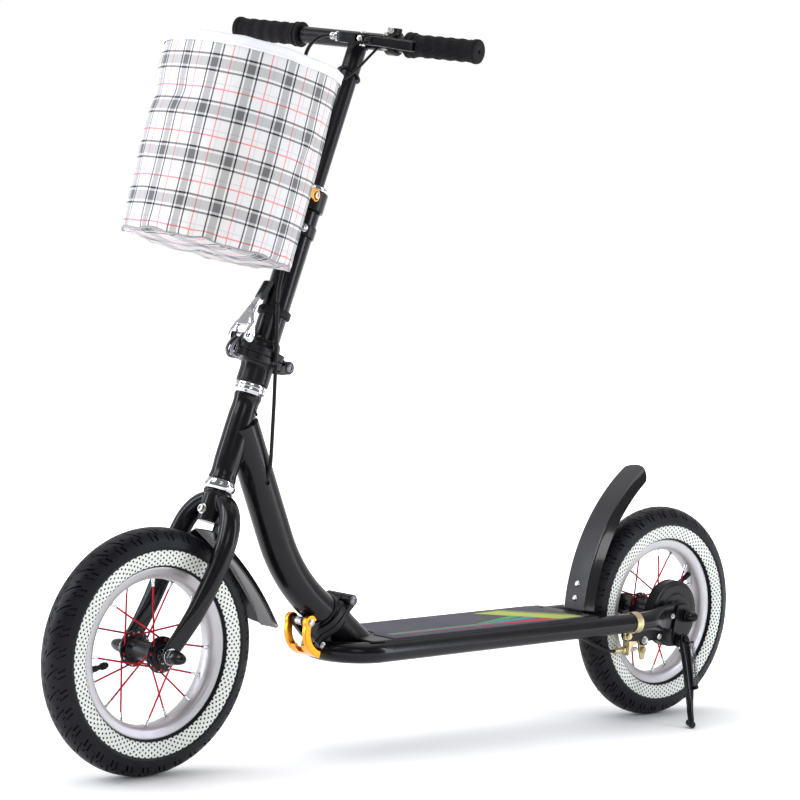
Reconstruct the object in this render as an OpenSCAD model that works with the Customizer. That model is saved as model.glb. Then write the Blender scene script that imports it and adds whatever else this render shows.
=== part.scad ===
// Folding kick scooter with air tyres, band brake, side stand and fabric basket.
// +X is forward, +Y is the rider's left, +Z is up. The origin is on the ground
// under the middle of the wheelbase.

/* [Overall] */
// Distance between the two wheel axles
wheelbase = 948; // [940:1:956]
// Backward lean of the steering axis from upright, in degrees
head_tilt = 18.9; // [18.7:0.1:19.1]
// Distance from the origin to where the steering axis meets the ground
axis_ground_x = 495; // [494:0.5:496]

/* [Wheels] */
// Outer radius of both tyres
tyre_r = 155; // [153:0.5:156]
// Width of the tyre section
tyre_w = 49; // [46:0.5:50]
// Outer radius of the rim flange
rim_r = 107; // [106:0.5:108]
// Radius of the rim's inner face, where the spokes arrive
rim_in_r = 91; // [90:0.5:92]
// Number of spokes in each wheel
spokes = 16; // [12:4:20]
// Radius of both axles
axle_r = 4; // [3.5:0.5:4]

/* [Deck] */
// Diameter of the deck frame tube
deck_tube_d = 28; // [26:0.5:29]
// Half distance between the two side tubes' centre lines
deck_half = 56; // [54:0.5:57]
// Height of the side tubes' centre at the origin
deck_z = 142.5; // [141:0.5:144]
// Rise of the deck towards the rear, in degrees
deck_rise = 1.15; // [0.9:0.05:1.3]
// Half width of the deck plate
plate_half = 61; // [58:0.5:62]

/* [Steering] */
// Radius of the head tube at its middle
head_r = 17.5; // [17:0.25:18.5]
// Radius of the down tube
down_r = 23; // [22:0.5:24]
// Radius of the fork steerer
steerer_r = 12.6; // [12:0.1:12.7]
// Radius of the outer stem tube
stem_r = 18.25; // [17.5:0.25:18.5]
// Radius of the sliding inner stem tube
post_r = 12.7; // [12.2:0.1:12.9]
// Position of the handlebar along the steering axis
bar_s = 990; // [986:1:994]
// Half length of the handlebar
bar_half = 190; // [187:1:194]
// Turn of the bar in the stem, left end to the rear
bar_turn = 15; // [10:1:17]
// Radius of the handlebar tube
bar_r = 11.1; // [10.8:0.1:11.2]
// Radius of the soft grips
grip_r = 14.5; // [14:0.25:15]

/* [Basket] */
// Position of the basket floor along the steering axis
basket_lo = 647; // [645:1:650]
// Position of the basket rim along the steering axis
basket_hi = 896; // [893:1:899]
// Half depth of the basket
basket_a = 102; // [99:1:104]
// Half width of the basket
basket_b = 111; // [108:1:113]

/* [Hidden] */
$fn = 48;

xf = wheelbase / 2;
xr = -wheelbase / 2;
zw = tyre_r;
deck_tr = deck_tube_d / 2;
// bar centre in the row frame
bar_x = axis_ground_x - bar_s * sin(head_tilt);
bar_z = bar_s * cos(head_tilt);
bar_off = -7;   // the bar sits a little to the right in its T

// ---------- helpers ----------
// local z along +Y
module ydir(p) translate(p) rotate([-90, 0, 0]) children();
// frame on the steering axis: x forward, z up along the axis
module steer_axis() translate([axis_ground_x, 0, 0]) rotate([0, -head_tilt, 0]) children();
// deck frame: x along the deck, z = 0 at the side tubes' centre
// the bar's own frame, turned about the steering axis
module bar_turned() translate([axis_ground_x, 0, 0]) rotate([0, -head_tilt, 0]) rotate([0, 0, bar_turn]) rotate([0, head_tilt, 0]) translate([-axis_ground_x, 0, 0]) children();
module deck_pos() translate([0, 0, deck_z]) rotate([0, deck_rise, 0]) children();
// frame hinge: origin on the pin, x towards the latch, z out of the joint face to the front
hinge_x = 157; hinge_z = 205; hinge_turn = 45.6;
module hinge_pos() translate([hinge_x, 0, hinge_z]) rotate([0, hinge_turn, 0]) children();
module rod(a, b, r, f = 20) {
  v = b - a; l = norm(v);
  translate(a) rotate([0, acos(v[2] / l), atan2(v[1], v[0])]) cylinder(h = l, r = r, $fn = f);
}
module tube(r1, r0, h) difference() { cylinder(r = r1, h = h); translate([0, 0, -1]) cylinder(r = r0, h = h + 2); }
// rounded rectangle from plain circles and squares, exact
module rrect(x0, x1, y, r) {
  translate([x0 + r, -y]) square([x1 - x0 - 2 * r, 2 * y]);
  translate([x0, -y + r]) square([x1 - x0, 2 * y - 2 * r]);
  for (x = [x0 + r, x1 - r], s = [-1, 1]) translate([x, s * (y - r)]) circle(r = r, $fn = 32);
}
function unit(v) = v / norm(v);
// smooth route through hand set points
function cr(p0, p1, p2, p3, t) = 0.5 * ((2 * p1) + (p2 - p0) * t + (2 * p0 - 5 * p1 + 4 * p2 - p3) * t * t + (3 * p1 - p0 - 3 * p2 + p3) * t * t * t);
function route(P, n) = let (m = len(P) - 1) concat(
  [for (i = [0:m - 1]) for (j = [0:n - 1]) cr(i == 0 ? 2 * P[0] - P[1] : P[i - 1], P[i], P[i + 1], i == m - 1 ? 2 * P[m] - P[m - 1] : P[i + 2], j / n)], [P[m]]);
// sweep of an ellipse, half axes A[i] (across ref and route) and B[i], along the points of P
module sweep(P, A, B, ref, sides) {
  m = len(P);
  T = [for (i = [0:m - 1]) unit(P[min(i + 1, m - 1)] - P[max(i - 1, 0)])];
  U = [for (i = [0:m - 1]) unit(cross(ref, T[i]))];
  V = [for (i = [0:m - 1]) cross(T[i], U[i])];
  pts = [for (i = [0:m - 1]) for (k = [0:sides - 1]) P[i] + A[i] * cos(360 * k / sides) * U[i] + B[i] * sin(360 * k / sides) * V[i]];
  polyhedron(points = pts, faces = concat(
    [[for (k = [0:sides - 1]) k]],
    [for (i = [0:m - 2]) for (k = [0:sides - 1]) each [
      [i * sides + k, (i + 1) * sides + k, (i + 1) * sides + (k + 1) % sides],
      [i * sides + k, (i + 1) * sides + (k + 1) % sides, i * sides + (k + 1) % sides]]],
    [[for (k = [sides - 1:-1:0]) (m - 1) * sides + k]]));
}
module cable(P, n, r, ref, sides = 8) {
  R = route(P, n);
  sweep(R, [for (p = R) r], [for (p = R) r], ref, sides);
}

// ---------- wheel pieces, on the wheel centre with the axle along local z ----------
module tyre() {
  c = rim_r + 24; w = tyre_w / 2; h = tyre_r - c; t = 3.6;
  out = [for (a = [-90:10:90]) [c + h * pow(cos(a), 0.82), w * (abs(sin(a)) < 0.001 ? 0 : sign(sin(a)) * pow(abs(sin(a)), 0.92))]];
  inn = [for (a = [90:-10:-90]) [c + (h - t - 1.5) * pow(cos(a), 0.9), (w - t) * (abs(sin(a)) < 0.001 ? 0 : sign(sin(a)) * pow(abs(sin(a)), 1))]];
  color("#1c1c1f") rotate_extrude($fn = 96) polygon(concat(
    out, [[rim_r + 14, w - 1], [rim_r + 5, w - 5.5], [rim_r + 0.6, 15.1], [rim_r + 0.4, 12.4], [rim_r - 4.5, 12.2], [rim_r - 4.5, 9.4], [rim_r + 1.2, 9.6], [rim_r + 5, 13.5], [rim_r + 14, w - t - 1]],
    inn, [[rim_r + 14, -w + t + 1], [rim_r + 5, -13.5], [rim_r + 1.2, -9.6], [rim_r - 4.5, -9.4], [rim_r - 4.5, -12.2], [rim_r + 0.4, -12.4], [rim_r + 0.6, -15.1], [rim_r + 5, -w + 5.5], [rim_r + 14, -w + 1]]));
}
module rim(va) {
  color("silver") difference() {
    rotate_extrude($fn = 96) polygon([
      [rim_r, -15], [rim_r, -12.7], [rim_r - 5.2, -12.4], [rim_r - 8, -9], [rim_in_r + 2.6, -6.5], [rim_in_r + 2.2, 0],
      [rim_in_r + 2.6, 6.5], [rim_r - 8, 9], [rim_r - 5.2, 12.4], [rim_r, 12.7], [rim_r, 15],
      [rim_r - 4, 14.9], [rim_r - 9, 14.2], [rim_in_r + 3, 12], [rim_in_r + 0.8, 7.5], [rim_in_r, 0],
      [rim_in_r + 0.8, -7.5], [rim_in_r + 3, -12], [rim_r - 9, -14.2], [rim_r - 4, -14.9]]);
    rotate([0, 0, va]) translate([rim_in_r - 3, 0, 0]) rotate([0, 90, 0]) cylinder(h = 12, r = 4.3, $fn = 24);
  }
}
module inner_tube(va) {
  color("#161616") {
    rotate_extrude($fn = 72) difference() { translate([rim_r + 23, 0]) circle(r = 17.5, $fn = 40); translate([rim_r + 23, 0]) circle(r = 16.2, $fn = 40); }
    rotate([0, 0, va]) translate([rim_in_r - 24, 0, 0]) rotate([0, 90, 0]) difference() {
      union() {
        translate([0, 0, 9]) cylinder(h = 31, r = 4, $fn = 24);
        cylinder(h = 11, r = 3.1, $fn = 24);
        translate([0, 0, -4]) cylinder(h = 11, r = 4.4, $fn = 24);
      }
      translate([0, 0, -6]) cylinder(h = 3.2, r = 1.5, $fn = 16);
    }
  }
}
// spokes with their nipples: near flange at z = yn, far flange at z = yo
module spoke_set(yn, yo, hr) {
  n = spokes;
  for (i = [0:n - 1]) {
    s = i % 2 == 0 ? 1 : -1;
    lead = floor(i / 2) % 2 == 0 ? 52 : -52;
    ta = 360 * i / n; ha = ta + lead;
    zr = s * 3;
    // heads alternate between the two faces of a flange, so crossing spokes pass clear
    side = lead > 0 ? 1 : -1;
    f = s > 0 ? yn : yo;
    a = [hr * cos(ha), hr * sin(ha), f + side * 2.75];
    b = [(rim_in_r + 1.6) * cos(ta), (rim_in_r + 1.6) * sin(ta), zr];
    u = unit(b - a);
    color("#b0202c") rod(a, b - u * 1.0, 1.1, 16);
    color("silver") rod(b - u * 10.5, b, 2.0, 16);
    color("#b0202c") translate([a[0], a[1], f]) {
      cylinder(h = 6, r = 1.25, center = true, $fn = 16);
      translate([0, 0, side > 0 ? -3 : 1.6]) cylinder(h = 1.4, r = 2.2, $fn = 20);
    }
  }
}
module bearing_pair(za, zb) {
  color("#9a9da2") for (z = [za, zb]) translate([0, 0, z]) rotate_extrude($fn = 48)
    union() {
      translate([axle_r + 0.05, 0]) square([2.0, 7]);
      translate([9, 0]) square([2.0, 7]);
      translate([7.5, 3.5]) circle(r = 2.2, $fn = 24);
    }
}
module hub(z0, z1, fa, fb, zbear0, zbear1) {
  // z0..z1 overall, flanges centred on fa (far) and fb (near)
  color("#1a1a1c") difference() {
    union() {
      translate([0, 0, z0]) cylinder(h = z1 - z0, r = 14);
      for (f = [fa, fb]) translate([0, 0, f - 1.6]) cylinder(h = 3.2, r = 23);
      for (f = [fa, fb]) translate([0, 0, f - 3.2]) cylinder(h = 6.4, r = 16.5);
    }
    translate([0, 0, z0 - 1]) cylinder(h = z1 - z0 + 2, r = 7);
    translate([0, 0, zbear0]) translate([0, 0, -30]) cylinder(h = 37, r = 11);
    translate([0, 0, zbear1]) cylinder(h = 37, r = 11);
  }
}

// ---------- front wheel ----------
module front_tyre() ydir([xf, 0, zw]) tyre();
module front_rim() ydir([xf, 0, zw]) rim(11.25);
module front_inner_tube() ydir([xf, 0, zw]) inner_tube(11.25);
module front_spokes() ydir([xf, 0, zw]) spoke_set(27, -27, 18.5);
module front_hub() ydir([xf, 0, zw]) hub(-33, 33, -27, 27, -33, 26);
module front_bearings() ydir([xf, 0, zw]) bearing_pair(-33, 26);
module axle_parts(w, len0, len1) {
  // rod and the two lock collars between bearings and dropouts
  color("#8d9096") {
    translate([0, 0, -len0]) cylinder(h = len0 + len1, r = axle_r);
  }
}
module acorn(z, tip, s) {
  // hex nut with a long domed cap, pointing along s
  translate([0, 0, z]) mirror([0, 0, s < 0 ? 1 : 0]) {
    cylinder(h = 1.6, r = 10.5);
    translate([0, 0, 1.5]) cylinder(h = 6.6, r = 8.6, $fn = 6);
    translate([0, 0, 8]) rotate_extrude($fn = 40) polygon([[0, 0], [7.4, 0], [7.2, 3], [6.4, (tip - 8) * 0.45], [5, (tip - 8) * 0.75], [3, (tip - 8) * 0.93], [0, tip - 8]]);
  }
}
module front_axle() ydir([xf, 0, zw]) {
  color("#8d9096") difference() {
    union() {
      translate([0, 0, -58]) cylinder(h = 116, r = axle_r);
      for (s = [-1, 1]) translate([0, 0, s > 0 ? 33.3 : -39.5]) cylinder(h = 6.2, r = 7.5);
    }
  }
}
module front_axle_nuts() ydir([xf, 0, zw]) color("#202022") difference() {
  union() { acorn(44.5, 29, 1); acorn(-44.5, 29, -1); }
  translate([0, 0, -58]) cylinder(h = 116, r = axle_r);
}

// ---------- fork ----------
// blade route on the steering axis, rider's left side
blade_pts = [[0, 8, 364], [0, 27, 353], [1, 41, 336], [2, 48, 312], [4, 49, 282], [8, 48, 248], [14, 46, 214], [22, 43.5, 184], [30, 42, 160]];
blade_a = [9, 12.5, 13, 13, 12.5, 11, 8.5, 5, 2.5];
blade_b = [10, 13, 13.5, 13.5, 13, 12.5, 12, 11.5, 10.5];
function lerp_list(A, n) = let (m = len(A) - 1) concat([for (i = [0:m - 1]) for (j = [0:n - 1]) cr(i == 0 ? 2 * A[0] - A[1] : A[i - 1], A[i], A[i + 1], i == m - 1 ? 2 * A[m] - A[m - 1] : A[i + 2], j / n)], [A[m]]);
module blade() sweep(route(blade_pts, 3), lerp_list(blade_a, 3), lerp_list(blade_b, 3), [1, 0, 0], 20);
module fork() color("#17171a") difference() {
  union() {
    steer_axis() {
      translate([0, 0, 372]) cylinder(h = 160, r = steerer_r);
      translate([0, 0, 334]) cylinder(h = 38, r = 15.6);
      translate([0, 0, 366]) cylinder(h = 6, r = 18.5);
      blade(); mirror([0, 1, 0]) blade();
    }
    for (s = [-1, 1]) ydir([xf, s * 42 - 2.5, zw]) cylinder(h = 5, r = 11.5);
  }
  ydir([xf, -60, zw]) cylinder(h = 120, r = axle_r + 0.05);
  steer_axis() translate([0, 0, 330]) cylinder(h = 210, r = 10);
}
module headset() steer_axis() color("#c9ccd0") {
  // lower cup, upper cup and their bearings
  translate([0, 0, 372.3]) rotate_extrude() polygon([[steerer_r + 0.06, 0], [18.8, 0], [19.8, 3], [19.8, 8.5], [17.6, 12.7], [16.6, 13.7], [16.6, 13.7], [14.45, 13.7], [14.45, 22], [steerer_r + 0.06, 22]]);
  translate([0, 0, 492]) rotate_extrude() polygon([[steerer_r + 0.06, 0], [14.45, 0], [14.45, 8], [16.6, 8], [17.6, 9], [20.6, 12], [20.6, 18], [19.6, 22], [steerer_r + 0.06, 22]]);
}
module main_frame() color("#17171a") difference() {
  union() {
    steer_axis() translate([0, 0, 386]) rotate_extrude() polygon([[14.5, 0], [17.6, 0], [17.6, 4], [16.6, 10], [16.9, 18], [head_r, 30], [head_r, 84], [16.9, 96], [16.6, 104], [17.8, 110], [17.8, 114], [14.5, 114]]);
    translate([344.6, 0, 439.3]) rotate([0, 180 + 24.5, 0]) cylinder(h = 165.1, r = down_r);
    down_arc(down_r - 0.25);
  }
  steer_axis() translate([0, 0, 380]) cylinder(h = 130, r = 14.5);
  translate([344.6, 0, 439.3]) rotate([0, 180 + 24.5, 0]) translate([0, 0, 28]) cylinder(h = 138, r = down_r - 2.5);
  down_arc(down_r - 2.75);
  hinge_pos() translate([-60, -60, -79.7]) cube([160, 120, 80]);
  steer_axis() translate([0, 0, 505]) cylinder(h = 60, r = 40);
  rod([313, 10, 358], [313, 40, 372], 3.2);
}
// the down tube's bend
arc_r = 230; arc_x = 67.3; arc_z = 385.4;
module down_arc(r) translate([arc_x, 0, arc_z]) rotate([-90, 0, 0]) rotate([0, 0, 24.5]) rotate_extrude(angle = 45, $fn = 120) translate([arc_r, 0]) circle(r = r, $fn = 48);
module hinge_upper() color("#1b1b1e") difference() {
  union() {
    hinge_pos() {
      // flange
      translate([0, 0, 0.15]) linear_extrude(8.85) rrect(9.5, 60, 27, 9);
      translate([0, 0, 0.15]) linear_extrude(12) rrect(12, 50, 25, 10);
      // rear web to the knuckle
      translate([0, -8.7, 0.5]) cube([14, 17.4, 7.4]);
      ydir([0, -8.7, 0]) cylinder(h = 17.4, r = 8);
      // front nose that carries the latch
      translate([54, -14, 0.15]) cube([16, 28, 17]);
      translate([44, -14, 8]) cube([10, 28, 5]);
      // ears for the lever pivot
      for (y = [-14, 6]) translate([60, y, 12]) cube([13, 8, 16]);
      for (y = [-14, 6]) ydir([66.5, y, 31]) cylinder(h = 8, r = 6.5);
    }
  }
  down_arc(down_r - 2.75);
  hinge_pos() {
    ydir([0, -20, 0]) cylinder(h = 40, r = 4.05);
    ydir([66.5, -20, 31]) cylinder(h = 40, r = 3.02);
    // slot for the draw bolt
    translate([62.5, -3.4, -1]) cube([20, 6.8, 60]);
    // room for the lower knuckles
    for (y = [-30, 8.7]) ydir([0, y, 0]) cylinder(h = 21.3, r = 9.3);
  }
}
module hinge_lower() color("#1b1b1e") difference() {
  union() {
    hinge_pos() {
      translate([0, 0, -9]) linear_extrude(8.85) rrect(9.5, 60, 27, 9);
      for (y = [-24.3, 9.1]) ydir([0, y, 0]) cylinder(h = 15.2, r = 8);
      for (y = [-24.3, 9.1]) translate([0, y, -8]) cube([14, 15.2, 7.6]);
      // ear with the open cradle for the draw bolt
      translate([54, -14, -20]) cube([20, 28, 19.8]);
      ydir([64, -14, -20]) cylinder(h = 28, r = 7);
    }
    // lower tube down to the deck
    difference() {
      intersection() { stub(24, 4); translate([40, -40, 134]) cube([180, 80, 120]); }
      hinge_pos() translate([-60, -60, -8.5]) cube([160, 120, 120]);
    }
  }
  intersection() { stub(21, 6); translate([60, -40, 146]) cube([180, 80, 120]); }
  cable_way();
  hinge_pos() {
    ydir([0, -30, 0]) cylinder(h = 60, r = 4.02);
    translate([59.8, -3.9, -40]) cube([20, 7.8, 60]);
    ydir([66.5, -8.6, -6.5]) cylinder(h = 17.2, r = 4.6);
    translate([61.9, -8.6, -6.5]) cube([30, 17.2, 30]);
    // room for the upper knuckle
    ydir([0, -9.1, 0]) cylinder(h = 18.2, r = 9.3);
  }
}
module frame_hinge_pin() color("#2a2a2d") hinge_pos() difference() {
  union() {
    ydir([0, -26.5, 0]) cylinder(h = 53, r = 4);
    ydir([0, 24.3, 0]) cylinder(h = 2.4, r = 6);
    ydir([0, -26.7, 0]) cylinder(h = 2.4, r = 6);
  }
}
module latch_bolt() color("#cfd1d4") hinge_pos() {
  // draw bolt: cross pin at the lever, shank down the slot, barrel nut in the lower cradle
  difference() {
    union() {
      ydir([66.5, -17, 31]) cylinder(h = 34, r = 3);
      ydir([66.5, -5.6, 31]) cylinder(h = 11.2, r = 5.4);
      translate([66.5, 0, -6.5]) cylinder(h = 35.5, r = 3);
      ydir([66.5, -8, -6.5]) cylinder(h = 16, r = 4.1);
    }
  }
}
// cam lever: hooks over the pin in front and runs down along the joint
module ring_part(r1, r0, a0, a1) translate([57, 3]) intersection() {
  difference() { circle(r = r1, $fn = 96); circle(r = r0, $fn = 96); }
  polygon([[0, 0], 60 * [cos(a0), sin(a0)], 75 * [cos((a0 + a1) / 2), sin((a0 + a1) / 2)], 60 * [cos(a1), sin(a1)]]);
}
module slab(y, w) translate([0, y + w, 0]) rotate([90, 0, 0]) linear_extrude(w) children();
module frame_latch_lever() color("#e8891a") hinge_pos() difference() {
  union() {
    for (y = [-21.8, 14.3]) slab(y, 7.5) { ring_part(36, 27, -30, 68); translate([66.5, 31]) circle(r = 9.5, $fn = 48); }
    // web between the cheeks, with its slot
    difference() {
      slab(-14.6, 29.2) ring_part(35.5, 31.2, -29, 14);
      translate([70, -6, -2]) cube([30, 12, 40]);
    }
  }
  ydir([66.5, -30, 31]) cylinder(h = 60, r = 3.05);
}
// ---------- deck ----------
stub_c = [179, 0, 183];
module stub(r, e) {
  // lower tube from the joint face to the deck
  translate(stub_c) rotate([0, 180 + 52, 0]) translate([0, 0, -e]) cylinder(h = 100 + e, r = r);
}
// way out for the brake cable
module cable_way() {
  rod([163, 2, 171], [150, 6, 163], 3.4);
  rod([152, 5.1, 164.1], [110, 24, 140], 3.4);
  rod([112, 23.1, 141.1], [70, 36, 131], 3.4);
}
module deck_tube_u(r) deck_pos() {
  for (s = [-1, 1]) translate([-404, s * deck_half, 0]) rotate([0, 90, 0]) cylinder(h = 534, r = r);
  translate([130, 0, 0]) rotate([0, 0, -90]) rotate_extrude(angle = 180, $fn = 96) translate([deck_half, 0]) circle(r = r, $fn = 40);
}
module dropout(s) {
  // flattened tube end and plate
  hull() {
    deck_pos() translate([-399, s * deck_half, 0]) rotate([0, 90, 0]) cylinder(h = 1.5, r = deck_tr + 0.5, $fn = 32);
    translate([-436, s * 55 - 2.5, zw - 19]) cube([1, 5, 37]);
  }
  ydir([0, s * 55 - 2.5, 0]) linear_extrude(5) {
    translate([xr, -zw]) circle(r = 19);
    translate([xr, -zw - 18]) square([40, 37]);
  }
}
module deck_frame() color("#17171a") difference() {
  union() {
    difference() { deck_tube_u(deck_tr); deck_tube_u(deck_tr - 2.2); }
    dropout(1); dropout(-1);
    // cross members
    deck_pos() {
      translate([-286, -47, 0]) rotate([-90, 0, 0]) cylinder(h = 94, r = 9);
      translate([-120, -47, -4]) rotate([-90, 0, 0]) cylinder(h = 94, r = 8);
      translate([40, -47, -4]) rotate([-90, 0, 0]) cylinder(h = 94, r = 8);
      // gusset under the stub
      translate([76, -46, -10]) cube([98, 92, 9]);
    }
    // cable guides under the deck
    for (x = [-20, -140, -245]) deck_pos() translate([x - 4, 33, -15.6]) cube([8, 16, 7]);
  }
  ydir([xr, -70, zw]) cylinder(h = 140, r = axle_r + 0.05);
  // opening in the gusset for the brake cable
  deck_pos() translate([70, 14, -12]) cube([52, 26, 14]);
  // bores of the cable guides
  for (x = [-20, -140, -245]) deck_pos() translate([x - 10, 38, -12]) rotate([0, 90, 0]) cylinder(h = 20, r = 3.2, $fn = 24);
}
module deck_outline(x0, y, z0, h, fr) deck_pos() difference() {
  translate([0, 0, z0]) linear_extrude(h) {
    translate([x0, -y]) square([130 - x0, 2 * y]);
    translate([130, 0]) circle(r = y, $fn = 96);
  }
}
module stub_clear(g) translate(stub_c) rotate([0, 180 + 52, 0]) translate([0, 0, -30]) cylinder(h = 160, r = 24 + g);
module deck_plate() color("#26262a") difference() {
  deck_outline(-288, plate_half, deck_tr + 0.05, 2, 0);
  stub_clear(0.1);
  hinge_pos() translate([-10, -40, -40]) cube([100, 80, 80]);
  deck_pos() for (x = [-276, -60], s = [-1, 1]) translate([x, s * 44, 0]) cylinder(h = 40, r = 2.6);
}
module deck_grip() color("#5d5866") difference() {
  deck_outline(-262, plate_half - 2.5, deck_tr + 2.05, 1, 0);
  stub_clear(4);
  hinge_pos() translate([-10, -40, -40]) cube([100, 80, 80]);
  deck_pos() translate([112, -60, 0]) cube([120, 120, 60]);
}

// ---------- rear wheel ----------
module rear_tyre() ydir([xr, 0, zw]) tyre();
module rear_rim() ydir([xr, 0, zw]) rim(-146.25);
module rear_inner_tube() ydir([xr, 0, zw]) inner_tube(-146.25);
module rear_spokes() ydir([xr, 0, zw]) spoke_set(18, -28, 18.5);
module rear_hub() ydir([xr, 0, zw]) hub(-34, 37, -28, 18, -34, 30);
module rear_bearings() ydir([xr, 0, zw]) bearing_pair(-34, 30);
module brake_drum() ydir([xr, 0, zw]) color("#6f7277") difference() {
  translate([0, 0, 22.5]) cylinder(h = 14, r = 40);
  translate([0, 0, 25.5]) cylinder(h = 14, r = 36);
  translate([0, 0, 20]) cylinder(h = 20, r = 14);
}
module rear_axle() ydir([xr, 0, zw]) color("#8d9096") {
  translate([0, 0, -70]) cylinder(h = 142, r = axle_r);
  translate([0, 0, -52.5]) cylinder(h = 18.2, r = 8);
}
module rear_axle_nuts() ydir([xr, 0, zw]) color("#202022") difference() {
  union() { acorn(61.5, 24.5, 1); acorn(-57.5, 24.5, -1); }
  translate([0, 0, -70]) cylinder(h = 142, r = axle_r);
}
module brake_cover() color("#161618") difference() {
  union() {
    ydir([xr, 0, zw]) {
      translate([0, 0, 24]) tube(49, 46.5, 15);
      translate([0, 0, 38.5]) cylinder(h = 1.8, r = 49);
      translate([0, 0, 40]) cylinder(h = 1.6, r = 43);
      translate([0, 0, 41.5]) cylinder(h = 2.2, r = 30);
      translate([0, 0, 43.6]) cylinder(h = 1.6, r = 20);
      translate([0, 0, 45]) cylinder(h = 7.5, r = 11);
    }
    // torque arm to the clip on the side tube
    translate([0, 44.5, 0]) rotate([90, 0, 0]) linear_extrude(3) polygon([[-444, 119], [-434, 140], [-376, 138], [-362, 134], [-358, 128], [-363, 121.5], [-384, 120], [-428, 118.5]]);
    ydir([-366, 41.5, 129]) cylinder(h = 3, r = 8);
    // bracket that carries the arm pivot and the cable stop
    translate([0, 44.5, 0]) rotate([90, 0, 0]) linear_extrude(3) polygon([[-413, 112.5], [-399, 112.5], [-396, 132], [-416, 132]]);
  }
  ydir([xr, 0, zw]) { translate([0, 0, 20]) cylinder(h = 40, r = axle_r + 0.05); translate([0, 0, 24]) cylinder(h = 13, r = 15); }
  ydir([-366, 30, 129]) cylinder(h = 40, r = 3.05);
  ydir([-406, 30, 120]) cylinder(h = 40, r = 3.02);
}
tube_at = [-366, deck_half, deck_z + 366 * tan(deck_rise)];
module brake_clip() color("#b9a662") difference() {
  union() {
    translate(tube_at) rotate([0, 90 + deck_rise, 0]) translate([0, 0, -6.5]) tube(deck_tr + 1.6, deck_tr, 13);
    // two lugs down to the bolt
    translate([-373, 44.6, 123]) cube([14, 2, 20]);
    translate([-371, 44.6, 134]) cube([10, 4, 8]);
    ydir([-366, 38, 129]) cylinder(h = 13, r = 3);
    ydir([-366, 46.6, 129]) cylinder(h = 4, r = 5.2, $fn = 6);
    ydir([-366, 37, 129]) cylinder(h = 4.4, r = 5.2, $fn = 6);
  }
}
module cable_stop() color("#b9a662") difference() {
  union() {
    // angle plate on the torque arm with the adjuster barrel
    translate([0, 41.4, 0]) rotate([90, 0, 0]) linear_extrude(2) polygon([[-392, 121], [-392, 115], [-385, 113], [-379, 104], [-376, 99], [-373.5, 99], [-373.5, 121]]);
    translate([-376, 31, 99]) cube([2.5, 9, 22]);
    translate([-376, 35, 106.5]) rotate([0, 90, 0]) cylinder(h = 24, r = 3.6);
    translate([-373.6, 35, 106.5]) rotate([0, 90, 0]) cylinder(h = 5, r = 5.4, $fn = 6);
  }
  translate([-390, 35, 106.5]) rotate([0, 90, 0]) cylinder(h = 36, r = 1.2, $fn = 16);
  translate([-358, 35, 106.5]) rotate([0, 90, 0]) cylinder(h = 28, r = 2.9, $fn = 24);
}
module brake_arm() color("#b9a662") difference() {
  union() {
    ydir([-406, 34, 120]) cylinder(h = 13, r = 3);
    ydir([-406, 36.4, 120]) cylinder(h = 2.6, r = 7);
    translate([0, 39, 0]) rotate([90, 0, 0]) linear_extrude(2.6) polygon([[-412.5, 119], [-400, 120], [-403.5, 100], [-406, 91], [-413.5, 91], [-415, 104]]);
    ydir([-409, 32.5, 105.5]) cylinder(h = 11, r = 4.6, $fn = 6);
  }
}
module brake_spring() color("#d0d3d8") {
  // return spring's coil envelope and the bare inner wire
  translate([-399.6, 35, 106.5]) rotate([0, 90, 0]) tube(3.4, 2.6, 23.1);
  translate([-404.2, 35, 106.5]) rotate([0, 90, 0]) cylinder(h = 28.2, r = 0.9, $fn = 16);
}
// kickstand
kick_p = [-463, 66, 119];
kick_tilt = 20.5;
module kick_frame() translate(kick_p) rotate([kick_tilt, 0, 0]) children();
module kickstand_bracket() color("#161618") difference() {
  union() {
    ydir([0, 57.5, 0]) linear_extrude(4) {
      translate([xr, -zw]) circle(r = 15);
      polygon([[-483, -143], [-485, -163], [-472, -171], [-457, -171], [-453.5, -155], [-449.5, -130], [-450, -118], [-454, -111], [-472, -111], [-477, -122]]);
    }
    kick_frame() ydir([0, -7.5, 0]) cylinder(h = 8.2, r = 8.5);
  }
  ydir([xr, 50, zw]) cylinder(h = 20, r = axle_r + 0.05);
  kick_frame() ydir([0, -30, 0]) cylinder(h = 60, r = 4.02);
  kick_frame() ydir([0, -30, 0]) cylinder(h = 21.8, r = 6.4);
  kick_frame() translate([-30, 0.7, -30]) cube([60, 30, 60]);
}
leg_pts = [[0, 4.9, 3], [1, 4.9, -14], [3.5, 5, -36], [8, 5, -59], [14, 5, -83], [20, 5.5, -104], [26, 8, -121]];
module kickstand_leg() color("#161618") {
  kick_frame() {
    ydir([0, -9, 0]) cylinder(h = 9.8, r = 3.97);
    ydir([0, -11.5, 0]) cylinder(h = 3, r = 6);
    ydir([0, 1, 0]) cylinder(h = 7, r = 9.5);
    ydir([0, 8, 0]) cylinder(h = 2, r = 5.5, $fn = 6);
    sweep(route(leg_pts, 3), lerp_list([8.5, 8.5, 8, 7, 5.2, 4.8, 4.6], 3), lerp_list([4, 4, 4, 4, 4.4, 4.6, 4.6], 3), [0, 1, 0], 16);
  }
  // foot
  difference() {
    rod([-438, 109, 7], [-434.5, 122, 4.2], 5.2);
    translate([-500, 90, -20]) cube([100, 60, 20]);
  }
}
module kickstand_springs() color("#17171a") kick_frame() for (x = [-9.5, -16]) {
  rod([x + 2, 12.5, -6], [x + 13.5, 12.5, -72], 2.4, 16);
}
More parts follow.
